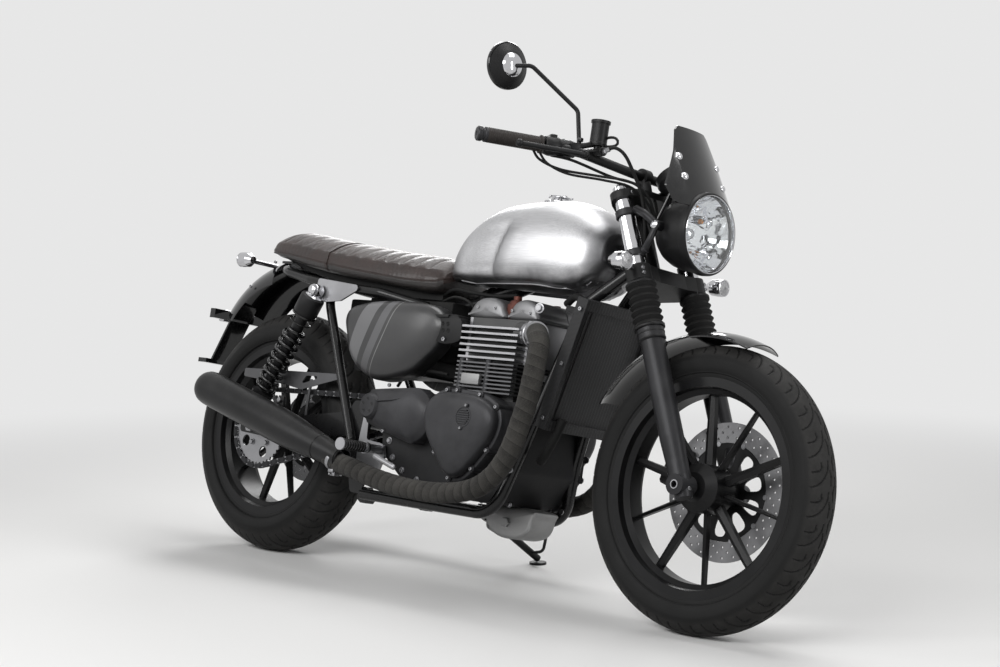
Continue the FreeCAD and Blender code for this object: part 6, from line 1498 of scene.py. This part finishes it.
def makeChain():
    places = chainLoop()
    sets = ([], [])
    for k, (a, b) in enumerate(zip(places, places[1:] + places[:1])):
        along, out = (b - a).normalized(), Vector((0, 1, 0))
        sets[k % 2].append(((a + b) / 2, Matrix((along, out.cross(along), out)).transposed()))
    links = [setOut(linkPlates(4.6), sets[0], "steel"), setOut(linkPlates(6.3), sets[1], "sliderGrey")]
    piece = finishPiece("chain_links", links, "chassis", None, angle=30)
    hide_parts("chain")
    bolted("sprocket_nuts", [(wheelPoint(rearCentre, 50, 72 * k + 20, -93), (0, -1, 0)) for k in range(5)],
           "rear_wheel", hexHead(6.5, 6.5))


makeChain()
print("chain made")

# Signals: clear faceted lenses and bright rims on the bullets, front and rear

bullets = {"front": [(1247, -178, 790), (1247, 178, 790)], "rear": [(-112, -140, 764), (-112, 140, 764)],
           "radius": 19.6, "reach": 19.5}


def facetLens(radius, rings=6, count=24):
    # a shallow dome of small raised squares
    points = [(0, 0, radius * 0.3)]
    for ring in range(1, rings + 1):
        for k in range(count):
            angle = 2 * pi * (k + 0.5 * (ring % 2)) / count
            tall = radius * 0.3 * (1 - (ring / rings) ** 2) + (0.7 if (k + ring) % 2 else -0.7) * (ring < rings)
            points.append((radius * ring / rings * cos(angle), radius * ring / rings * sin(angle), tall))
    points += [(x, y, -3) for x, y, _ in points[-count:]] + [(0, 0, -3)]
    faces = []
    for k in range(count):
        after = (k + 1) % count
        faces.append((0, 1 + k, 1 + after))
        for ring in range(rings):
            a, b = 1 + ring * count, 1 + (ring + 1) * count
            faces.append((a + k, b + k, b + after, a + after))
        faces.append((1 + rings * count + k, len(points) - 1, 1 + rings * count + after))
    return cleaned(meshOf(points, faces))


def makeSignals():
    for end, body, facing in (("front", "steering", 1), ("rear", "chassis", -1)):
        ahead = Vector((facing, 0, 0))
        spots = [(Vector(p) + ahead * bullets["reach"], ahead) for p in bullets[end]]
        lenses = setOut(facetLens(bullets["radius"] - 1.6), spots, "crystal")
        finishPiece(end + "_lenses", lenses, body, None, angle=12)
        rims = [lathe([(17.4, 17.5), (19.4, 17.5), (20.2, 19), (20, 21), (18.8, 21.6), (17.4, 20.6)], p, ahead,
                      closed=True) for p in bullets[end]]
        finishPiece(end + "_bullet_rims", rims, body, "chrome")


makeSignals()

# Mirror: bright cap on the back of its shell, the glass, its rim and the stem's nut

mirror = {"hub": (968, -316, 1209), "facing": (0.990, -0.139, 0.0)}


def makeMirror():
    hub, facing = Vector(mirror["hub"]), Vector(mirror["facing"]).normalized()
    dome = lathe([(0, -8), (29, -8), (29.4, -4), (28, 1), (24, 5), (17, 8.6), (9, 10.6), (0, 11.2)],
                 hub - facing * 6, facing, 56)
    finishPiece("mirror_cap", dome, "steering", "chrome")
    glass = lathe([(0, 0), (49.5, 0), (50.5, 0.8), (50.5, 1.6), (0, 1.6)], hub - facing * 31.4, -facing, 72)
    finishPiece("mirror_glass", glass, "steering", "mirrorGlass")
    ring = lathe([(50, -1), (54.5, -1), (55.2, 0.5), (55.2, 6), (54, 8), (52.5, 8)], hub - facing * 30.6, facing, 72,
                 closed=True)
    finishPiece("mirror_rim", ring, "steering", "glossBlack")
    nut = lathe([(0, 0), (7, 0), (7.6, 1), (7.6, 8), (6.4, 9), (0, 9)], (1098, -202, 1054), segments=6)
    finishPiece("mirror_nut", nut, "steering", "boltBlack", angle=30)


makeMirror()

# Flyscreen screws, set on the screen's curve

screen = {"screws": [(-70, 1049), (-70, 1003), (70, 1049), (70, 1003)], "bow": 200.0, "tilt": 0.55,
          "crest": (1359, 935)}


def screenPlace(y, z):
    # on the screen's outer face
    tall = hypot(1, screen["tilt"])
    back = (screen["bow"] - sqrt(screen["bow"] ** 2 - y * y)) * tall
    return Vector((screen["crest"][0] - screen["tilt"] * (z - screen["crest"][1]) - back, y, z))


def makeScreenTrim():
    screws = []
    for y, z in screen["screws"]:
        screws.append((screenPlace(y, z), (0.876, y / screen["bow"] * 0.9, 0.48)))
    dome = lathe([(0, -1.5), (9.5, -1.5), (9.5, 0.6), (8.6, 1.6), (7.2, 1.8), (6.6, 4.2), (4.4, 5.6), (0, 6.2)],
                 segments=28)
    finishPiece("screen_screws", setOut(dome, screws, "chrome"), "steering", None)


makeScreenTrim()
print("lamps, mirror and screen trimmed")


# Silencers: long tapered cans with a rolled tail, bands and brackets

silencer = {
    "tail": (-123, -205, 410), "front": (378, -205, 289),
    "profile": [(15, 30), (13.6, 8), (13.6, 0), (18, -0.6), (26, 0.4), (34, 3), (40, 8), (43.8, 17), (45.6, 30),
        (46, 46), (46, 330), (45, 375), (43, 410), (39.6, 450), (36, 490), (34, 512), (33.4, 522), (31, 545),
        (28, 575), (27, 592), (26.8, 606), (24.5, 607), (24, 590), (0, 588)],
}


def makeSilencers():
    tail, front = Vector(silencer["tail"]), Vector(silencer["front"])
    along = front - tail
    ear = tail + along.normalized() * 300
    bracket = [(ear.x - 16, ear.z + 30), (ear.x + 16, ear.z + 26), (ear.x + 12, ear.z + 66), (ear.x - 8, ear.z + 68)]
    black = [lathe([(0, 30)] + silencer["profile"], tail, along, 72),
             lathe([(33.6, 511), (35.2, 512.5), (35.2, 517), (34.4, 519), (33.2, 519)], tail, along, 72, closed=True),
             lathe([(26.4, 590), (29.4, 591), (29.4, 603), (26.4, 604)], tail, along, 56, closed=True),
             slabOf(bracket, "y", -182, -176, 1.0)]
    metal = [bar((ear.x + 2, -176, ear.z + 56), (ear.x + 2, -190, ear.z + 56), 7, 6),
             brick((442, -216, 224), (458, -198, 233), 1.2), bar((444, -222, 228), (456, -190, 229), 3.4, 10)]
    whole = together([dressed(together(black), "silencerBlack"), dressed(together(metal), "steel")])
    piece = finishPiece("silencer_cans", bothSides(whole), "chassis", None, angle=32)
    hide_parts("silencers")


makeSilencers()

# Under the seat: pan, battery, tray and air box


def makeUnderSeat():
    rings = []
    for x, low, high, half in ((-40, 782, 798, 60), (60, 752, 782, 74), (200, 722, 758, 80), (330, 700, 738, 80),
                               (470, 690, 724, 76), (580, 690, 722, 56)):
        near = [(half * 0.9, low), (half, low + 4), (half, high)]
        rings.append([(x, y, z) for y, z in near] + [(x, -y, z) for y, z in reversed(near)])
    boxes = [brick((330, -70, 560), (500, 70, 690), 6), brick((250, -64, 600), (335, 64, 684), 6),
             brick((500, -76, 540), (640, 76, 690), 12)]
    finishPiece("seat_pan", [skinOf(rings)] + boxes, "chassis", "rubber")


makeUnderSeat()

# Shock canisters: a wider sleeve over the top, with its collar, eye and neck


def makeShockSleeves():
    top, along = Vector(shock["rightTop"]), Vector(shock["rightWay"])
    parts = []
    for key, axis, segments, profile in (
            ("satinBlack", along, 64, [(16, 15), (27, 16.5), (31, 19), (32.5, 23), (32.5, 66), (31, 69), (31, 74),
                                       (29.5, 76), (28.2, 76), (28.2, 20)]),
            ("glossBlack", along, 64, [(28.3, 70), (33.2, 71), (33.2, 75.5), (28.3, 76.5)]),
            ("chrome", (0, 1, 0), 40, [(9.6, -11.5), (16.4, -11.5), (17.2, -10), (17.2, 10), (16.4, 11.5),
                                       (9.6, 11.5)]),
            ("chrome", along, 48, [(13, 8), (15, 10), (21, 13), (24, 15.6), (13, 16.4)])):
        parts.append(dressed(lathe(profile, top, axis, segments, closed=True), key))
    finishPiece("shock_sleeves", bothSides(together(parts)), "chassis", None)


makeShockSleeves()
print("silencers, pan and shocks made")

# Bar controls: clamps, buttons, master cylinder, ribs and end weights

bars = {"bend": (1078, -200, 1036), "tip": (983, -385, 1030), "cup": (1120, -165, 1052)}


def onBar(share, hand=-1):
    place = Vector(bars["bend"]).lerp(Vector(bars["tip"]), share)
    return Vector((place.x, -hand * place.y, place.z))


def makeControls():
    black, bright, red, grey = [], [], [], []
    up = Vector((0, 0, 1))
    for hand in (-1, 1):
        along = (onBar(1, hand) - onBar(0, hand)).normalized()
        ahead = up.cross(along).normalized()
        ahead = Vector((abs(ahead.x), copysign(1, ahead.x) * ahead.y, 0)).normalized()
        for share in (0.045, 0.185, 0.325):
            black.append(lathe([(12, -3), (19.5, -3), (20.6, -1.6), (20.6, 1.6), (19.5, 3), (12, 3)],
                               onBar(share, hand), along, 36, closed=True))
        core = onBar(0.255, hand)
        black.append(lathe([(12, -18), (20, -18), (22, -14), (23, -4), (23, 6), (21, 14), (19, 18), (12, 18)],
                           core, along, 36, closed=True))
        block = slabOf([(-13, -9), (13, -9), (13, 7), (-13, 7)], "y", -11, 11, 3)
        block.transform(Matrix.Translation(core + up * 15) @ frameOf(along).to_4x4())
        black.append(block)
        (red if hand < 0 else grey).append(lathe([(0, 0), (6, 0), (6.4, 1.2), (5.6, 4), (0, 4.6)],
                                                 core + up * 21 - ahead * 3, up * 0.9 - ahead * 0.5, 20))
        grey.append(lathe([(0, 0), (4.2, 0), (4.4, 2.6), (3.6, 3.4), (0, 3.4)], core - ahead * 21 + up * 4,
                          up * 0.2 - ahead, 18))
        for share in (0.12, 0.3):
            bright.append(lathe([(0, 0), (2.6, 0), (2.6, 1.4), (0, 1.8)], onBar(share, hand) + up * 20.4, up, 12))
        clamp = onBar(0.02, hand)
        black.append(lathe([(12, -9), (17, -9), (18.5, -7), (18.5, 7), (17, 9), (12, 9)], clamp, along, 36,
                           closed=True))
        block = brick((-9, -10, -9), (34, 10, 10), 3)
        turn = Matrix((ahead, up.cross(ahead), up)).transposed().to_4x4()
        block.transform(Matrix.Translation(clamp + ahead * 12 + along * 4) @ turn)
        black.append(block)
        for dz in (-6, 6):
            bright.append(lathe([(0, 0), (3, 0), (3, 2.2), (0, 2.6)], clamp + ahead * 19 + up * dz - along * 9,
                                -along + ahead * 0.1, 12))
        grey.append(lathe([(0, -2), (15.5, -2), (17.2, 0), (17.2, 5), (15, 7), (15, 11), (17, 13), (17, 21),
                           (14.5, 23.5), (6, 24), (4, 22), (0, 22)], onBar(1.0, hand), along, 40))
        ribs = [(onBar(0.4 + 0.58 * index / 25, hand), frameOf(along)) for index in range(26)]
        rib = lathe([(16.6, -1.6), (17.5, -0.9), (17.5, 0.9), (16.6, 1.6)], segments=32)
        finishPiece("grip_ribs_" + ("right" if hand < 0 else "left"), setOut(rib, ribs, "gripLeather"), "steering",
                    None)
    cup = Vector(bars["cup"])
    black.append(lathe([(20, 2), (20.8, 3), (20.8, 7), (20, 8)], cup, closed=True))
    for k in range(3):
        angle = radians(40 + 120 * k)
        bright.append(lathe([(0, 0), (2.4, 0), (2.4, 1.4), (0, 1.6)],
                            cup + Vector((14 * cos(angle), 14 * sin(angle), 58.6)), segments=10))
    black += [lathe([(0, 0), (21.5, 0), (22.6, 1), (22.6, 4.4), (21, 5.6), (0, 5.6)], cup + up * 53, segments=8),
              bar(cup + Vector((-34, 10, -14)), cup + Vector((26, -6, -14)), 10.5, 24),
              bar(cup - up * 16, cup + up * 2, 9, 20)]
    bright.append(bar(cup + Vector((24, -6, -14)), cup + Vector((36, -9, -14)), 6.5, 6))
    whole = [dressed(together(meshes), key) for meshes, key in ((black, "satinBlack"), (bright, "steel"),
                                                               (red, "redLens"), (grey, "sliderGrey"))]
    finishPiece("bar_fittings", whole, "steering", None)


makeControls()

# Cables and hoses, held fast at both ends

runs = {
    "throttle": ([(1035, -283, 1018), (1040, -262, 1000), (1075, -225, 985), (1130, -160, 984), (1180, -105, 982),
        (1212, -74, 955), (1226, -52, 905)], 3.0),
    "throttleReturn": ([(1043, -268, 1014), (1052, -248, 994), (1085, -212, 978), (1136, -150, 977),
        (1176, -98, 972), (1206, -66, 942), (1220, -42, 895)], 3.0),
    "brakeLine": ([(1156, -174, 1040), (1178, -170, 1046), (1192, -150, 1034), (1200, -122, 1000), (1214, -98, 950),
        (1226, -86, 880), (1232, -78, 800), (1240, -66, 740)], 4.0),
    "brakeLoop": ([(1112, -160, 1058), (1140, -158, 1072), (1162, -156, 1072), (1170, -154, 1062),
        (1160, -154, 1054), (1130, -158, 1052)], 3.2),
    "clutchLine": ([(1108, 176, 1026), (1140, 160, 1034), (1190, 130, 1018), (1214, 96, 960), (1224, 66, 910),
        (1228, 46, 888)], 3.4),
    "dialLoom": ([(1214, 14, 1000), (1200, 20, 960), (1206, 24, 915), (1222, 24, 885)], 4.2),
    "switchLoom": ([(1054, -244, 1014), (1088, -205, 1010), (1130, -120, 992), (1160, -60, 986), (1192, -30, 960),
        (1212, -26, 905)], 3.4),
}


def makeRuns():
    lines = [pipe(smoothPath(points, 7), radius, 10) for points, radius in runs.values()]
    ends = [lathe([(0, -4), (5.5, -4), (5.5, 8), (4.4, 10), (0, 10)], place, axis, 6)
            for place, axis in (((1112, -160, 1058), (1, 0.1, 0.4)), ((1130, -158, 1052), (1, 0, 0.1)),
                                ((1156, -174, 1040), (0.8, 0.1, 0.2)))]
    whole = together([dressed(together(lines), "rubber"), dressed(together(ends), "steel")])
    finishPiece("control_runs", whole, "steering", None)
    # loom and hoses on the frame
    fixed = [pipe(smoothPath(points, 8), radius, 14) for points, radius in (
        ([(560, -46, 700), (620, -58, 722), (690, -60, 716), (760, -52, 712), (830, -50, 716)], 5.0),
        ([(600, -70, 690), (650, -84, 700), (700, -86, 692), (735, -80, 664)], 3.4),
        ([(1010, -70, 700), (1050, -84, 716), (1090, -86, 690), (1096, -84, 640)], 9.0),
        ([(990, -60, 330), (1020, -78, 350), (1050, -84, 400), (1062, -84, 430)], 11.0),
        ([(470, -60, 470), (520, -80, 500), (600, -92, 512), (680, -96, 508)], 4.0))]
    finishPiece("frame_runs", fixed, "chassis", "rubber")


makeRuns()
print("controls and cables made")

# Fork trim: clamps on the gaiters, pinch bolts, caps and the axle's clamp screws


def makeForkTrim():
    clips, bolts, caps = [], [], []
    wide = [(31, -3), (34.5, -3), (35, -2), (35, 2), (34.5, 3), (31, 3)]
    narrow = [(27, -2), (31.6, -2), (32, -1), (32, 1), (31.6, 2), (27, 2)]
    for hand in (-1, 1):
        leg = hand * wheel["legs"]
        for profile, up in ((wide, 366), (wide, 471), (narrow, 352), (narrow, 338)):
            clips.append(lathe(profile, forkPoint(0, leg, up), forkUp, 56, closed=True))
        bolts += [(forkPoint(24, hand * 112, up), forkAhead + Vector((0, hand * 0.15, 0))) for up in (490, 502)]
        bolts += [(forkPoint(ahead, hand * 100, up), forkAhead) for ahead, up in ((26, 690), (18, -14), (18, 8))]
        caps.append(lathe([(0, 0), (20.5, 0), (21.4, 1), (21.4, 5), (19.5, 7), (14, 7.6), (12, 10.5), (10.8, 13),
                           (0, 13.4)], forkPoint(0, leg, 699), forkUp))
    finishPiece("fork_rings", clips, "steering", "satinBlack")
    bolted("fork_bolts", bolts, "steering", boltHead(4.6, 4.2))
    finishPiece("fork_caps", caps, "steering", "chrome")
    stem = lathe([(0, 0), (17, 0), (17, 7), (15.5, 9), (8, 9.4), (7, 8), (0, 8)], forkPoint(-42, 0, 699), forkUp, 6)
    finishPiece("stem_nut", stem, "steering", "chrome", angle=30)


makeForkTrim()

# Engine trim: studs beside the barrels, a cast bracket, ignition coil, flange nuts and cover screws


def makeEngineTrim():
    studs, cast, screws, coil, low = [], [], [], [], []
    for hand in (-1, 1):
        for x in (768, 856):
            studs.append(bar((x, hand * 141, 462), (x, hand * 141, 548), 7.5, 18))
            studs.append(bar((x, hand * 141, 452), (x, hand * 141, 466), 10.5, 20))
        cast.append(brick((786, 138 if hand > 0 else -146, 486), (846, 150 if hand > 0 else -158, 512), 3))
        screws += [((x, hand * 149.5, 499), (0, hand, 0), 1.1) for x in (797, 835)]
        screws += [((x, hand * 112, z), (0, hand, 0), 0.8) for x, z in ((765, 676), (822, 676), (880, 672), (938, 668))]
        for a in (radians(50), radians(230)):
            screws.append(((962.5, hand * 112 + 25 * cos(a), 618 + 25 * sin(a)), (1, 0, 0), 1.5))
        coil.append(lathe([(0, 0), (17, 0), (19, 3), (19, 40), (16, 45), (10, 47), (10, 56), (0, 57)],
                          (856, hand * 70, 655), (-0.1, 0, 1), 32))
        coil.append(brick((844, hand * 88 - 8, 650), (870, hand * 88 + 8, 690), 3))
        for x, z in ((560, 290), (600, 262), (655, 244), (690, 236), (540, 330), (958, 300), (966, 350), (958, 410)):
            low.append(((x, hand * 125.4, z), (0, hand, 0), 1.2))
        low += [((x, hand * 92, 219), (0, hand, 0), 1.0) for x in (800, 850, 900, 940)]
    whole = [dressed(together(meshes), key) for meshes, key in ((studs, "engineGrey"), (cast, "castAlloy"),
                                                               (coil, "copperBrown"))]
    finishPiece("engine_castings", whole, "chassis", None)
    hexes = [((974, hand * 122, 680), (0.2, hand, 0), 1.5) for hand in (-1, 1)]
    heads = together([setOut(boltHead(), screws, "steel"), setOut(hexHead(), hexes, "alloy")])
    finishPiece("cover_screws", heads, "chassis", None, angle=30)
    bolted("case_screws", low, head=hexHead(5.2, 4.6))


castings = {
    "rear": [(737, 651), (740, 674), (756, 693), (781, 701), (808, 701), (832, 693), (846, 674), (849, 651)],
    "front": [(868, 651), (870, 674), (882, 692), (902, 700), (922, 700), (944, 691), (955, 673), (957, 651)],
    "covers": [(0, 2), (0, 97), (1, 103), (4, 108.5), (9, 111.5), (16, 113), (23, 113.6)],
    "sump": [(802, 213), (946, 213), (951, 190), (940, 158), (905, 141), (850, 140), (810, 158), (797, 186)],
    "sumpRight": [(0, -24), (0, 10), (1, 14), (4, 18), (9, 20), (22, 21), (32, 21.4)],
    "sumpLeft": [(0, 24), (0, 60), (1, 64), (4, 68), (9, 70), (22, 71), (32, 71.4)],
}


def makeCastings():
    shells = [domeOf(castings[key], castings["covers"], side) for key in ("rear", "front") for side in (-1, 1)]
    piece = finishPiece("cam_domes", shells, "chassis", "camAlloy")
    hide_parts("cam_covers")
    band = [(806, 205), (806, 158), (850, 146), (905, 147), (944, 164), (944, 205)]
    drum = [domeOf(castings["sump"], castings["sumpRight"], -1), domeOf(castings["sump"], castings["sumpLeft"], 1),
            lathe([(0, 0), (12, 0), (12, 7), (10.5, 8.5), (0, 8.5)], (872, -20, 176), (0, -1, 0), 6),
            pipe(bend([(x, -14, z) for x, z in band], 12), 4.0, 10)]
    piece = finishPiece("sump_drum", drum, "chassis", "castAlloy", angle=32)
    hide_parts("sump")


makeCastings()
makeEngineTrim()

# Small trim: radiator frame, peg ribs, filler cap and frame bolts


def makeSmallTrim():
    bolts, frame, pegs = [], [], []
    for hand in (-1, 1):
        for share in (0.08, 0.5, 0.92):
            bolts.append(((1037 + 79 * share, hand * 131, 403 + 304 * share), (0, hand, 0), 1.1))
        for y in (114, 106):
            frame.append(bar((1052, hand * y, 428), (1125, hand * y, 678), 2.2, 8))
        root, tip = Vector((536, hand * 190, 304)), Vector((550, hand * 292, 304))
        pegs += [(root.lerp(tip, (index + 0.5) / 11), frameOf(tip - root)) for index in range(11)]
    finishPiece("radiator_frame", frame, "chassis", "satinBlack")
    rib = lathe([(10.6, -3.2), (13.2, -2.2), (13.6, 0), (13.2, 2.2), (10.6, 3.2)], segments=24)
    finishPiece("peg_ribs", setOut(rib, pegs, "rubber"), "chassis", None)
    latch = [lathe([(34, -2), (37.5, -2), (38.4, 0), (37.8, 2.6), (34, 3.4)], (876, 0, 951), (0.06, 0, 1), 72,
                   closed=True),
             lathe([(0, 0), (25, 0), (26, 2), (25, 4), (0, 4.6)], (876, 0, 964.6), (0.03, 0, 1), 56),
             brick((858, -4, 968), (894, 4, 972), 1.4)]
    finishPiece("cap_trim", latch, "chassis", "chrome", angle=30)
    for k in range(6):
        a = radians(60 * k + 20)
        bolts.append(((876 + 30 * cos(a), 30 * sin(a), 965.2), (0, 0, 1), 0.62))
    for hand in (-1, 1):
        bolts.append(((0, hand * 131, 321), (0, hand, 0), 1.8))
        bolts += [((x, hand * 82, z), (0, hand, 0), 0.9) for x, z in ((60, 786), (-60, 770), (-150, 700))]
    bolted("frame_bolts", bolts)


makeSmallTrim()
print("fork, engine and frame trim made")


# Camera, floor and light

shot = {"away": (4007.88, -3294.27, 641.67), "yaw": 134.219, "pitch": 4.175, "lens": 68.995,
        "backdrop": (0.80, 0.80, 0.80), "fadeFrom": 1.2, "fadeTo": 4.2, "surround": 0.13}


def addCamera():
    yaw, pitch = radians(shot["yaw"]), radians(shot["pitch"])
    forward = Vector((cos(yaw) * cos(pitch), sin(yaw) * cos(pitch), -sin(pitch)))
    lens = bpy.data.cameras.new("camera")
    lens.lens, lens.sensor_width = shot["lens"], 36.0
    lens.clip_start, lens.clip_end = 0.1, 100.0
    camera = shown("camera", lens)
    camera.location = (rearAxle + Vector(shot["away"])) * 0.001
    camera.rotation_mode = "QUATERNION"
    camera.rotation_quaternion = forward.to_track_quat("-Z", "Y")
    bpy.context.scene.camera = camera


def raySeen(tree):
    # the pale background is what the camera, metal and glass see; it lights the object by less
    path = added(tree, "LightPath").outputs
    return calc("MAXIMUM", calc("MAXIMUM", path["Is Camera Ray"], path["Is Transmission Ray"]), path["Is Glossy Ray"])


def floorFinish():
    # pale ground that fades into the backdrop; the machine is lit as if it stood on darker concrete
    material, tree = newFinish("floorFinish", (0.74, 0.735, 0.725), 0.75)
    cloud = noise(tree, None, 1.2, 5.0, 0.6)
    seenColour = blend(ramp(cloud, 0.3, 0.7), (0.76, 0.757, 0.75), (0.82, 0.817, 0.81))
    wired(material, Base_Color=blend(raySeen(tree), (0.18, 0.18, 0.177), seenColour))
    reach = added(tree, "VectorMath")
    reach.operation = "LENGTH"
    link(added(tree, "TexCoord").outputs["Object"], reach.inputs[0])
    fade = times(ramp(reach.outputs["Value"], shot["fadeFrom"], shot["fadeTo"], smooth=True), raySeen(tree))
    glow, mixed = added(tree, "Emission"), added(tree, "MixShader")
    glow.inputs["Color"].default_value = (*shot["backdrop"], 1.0)
    for index, source in enumerate((fade, tree.nodes["Principled BSDF"].outputs[0], glow.outputs[0])):
        link(source, mixed.inputs[index])
    link(mixed.outputs[0], tree.nodes["Material Output"].inputs["Surface"])
    return material


def addFloor():
    size = 30.0
    mesh = meshOf([(-size, -size, 0), (size, -size, 0), (size, size, 0), (-size, size, 0)], [(0, 1, 2, 3)])
    mesh.materials.append(floorFinish())
    floor = shown("floor", mesh)


def addWorld():
    # a plain pale surround; the camera sees it at full strength, the object is lit by less of it
    world = bpy.data.worlds.new("surround")
    world.use_nodes = True
    bpy.context.scene.world = world
    background = world.node_tree.nodes["Background"].inputs
    background["Color"].default_value = (*shot["backdrop"], 1.0)
    link(ramp(raySeen(world.node_tree), 0.0, 1.0, shot["surround"], 1.0), background["Strength"])


def addLamp(name, spot, target, power, width, height):
    data = bpy.data.lights.new(name, "AREA")
    data.shape, data.size, data.size_y = "RECTANGLE", width, height
    data.energy = power
    lamp = shown(name, data)
    lamp.location = spot
    lamp.rotation_mode = "QUATERNION"
    lamp.rotation_quaternion = (Vector(target) - Vector(spot)).to_track_quat("-Z", "Y")


addCamera()
addFloor()
addWorld()
addLamp("topSoft", (0.2, 0.7, 3.2), (0.1, 0.0, 0.4), 52.0, 3.6, 1.2)
addLamp("keySoft", (0.6, -3.4, 2.6), (0.1, 0.0, 0.5), 105.0, 3.4, 1.4)
addLamp("leftStrip", (-2.2, -2.9, 2.3), (0.0, 0.0, 0.6), 22.0, 0.7, 1.6)
addLamp("rightStrip", (4.1, 0.4, 1.3), (0.4, 0.0, 0.6), 45.0, 0.5, 2.4)
addLamp("rearSoft", (-2.2, 2.4, 2.2), (-0.2, 0.0, 0.7), 40.0, 1.6, 1.0)
bpy.context.scene.view_settings.view_transform = "Standard"
print("camera, floor and light are set")
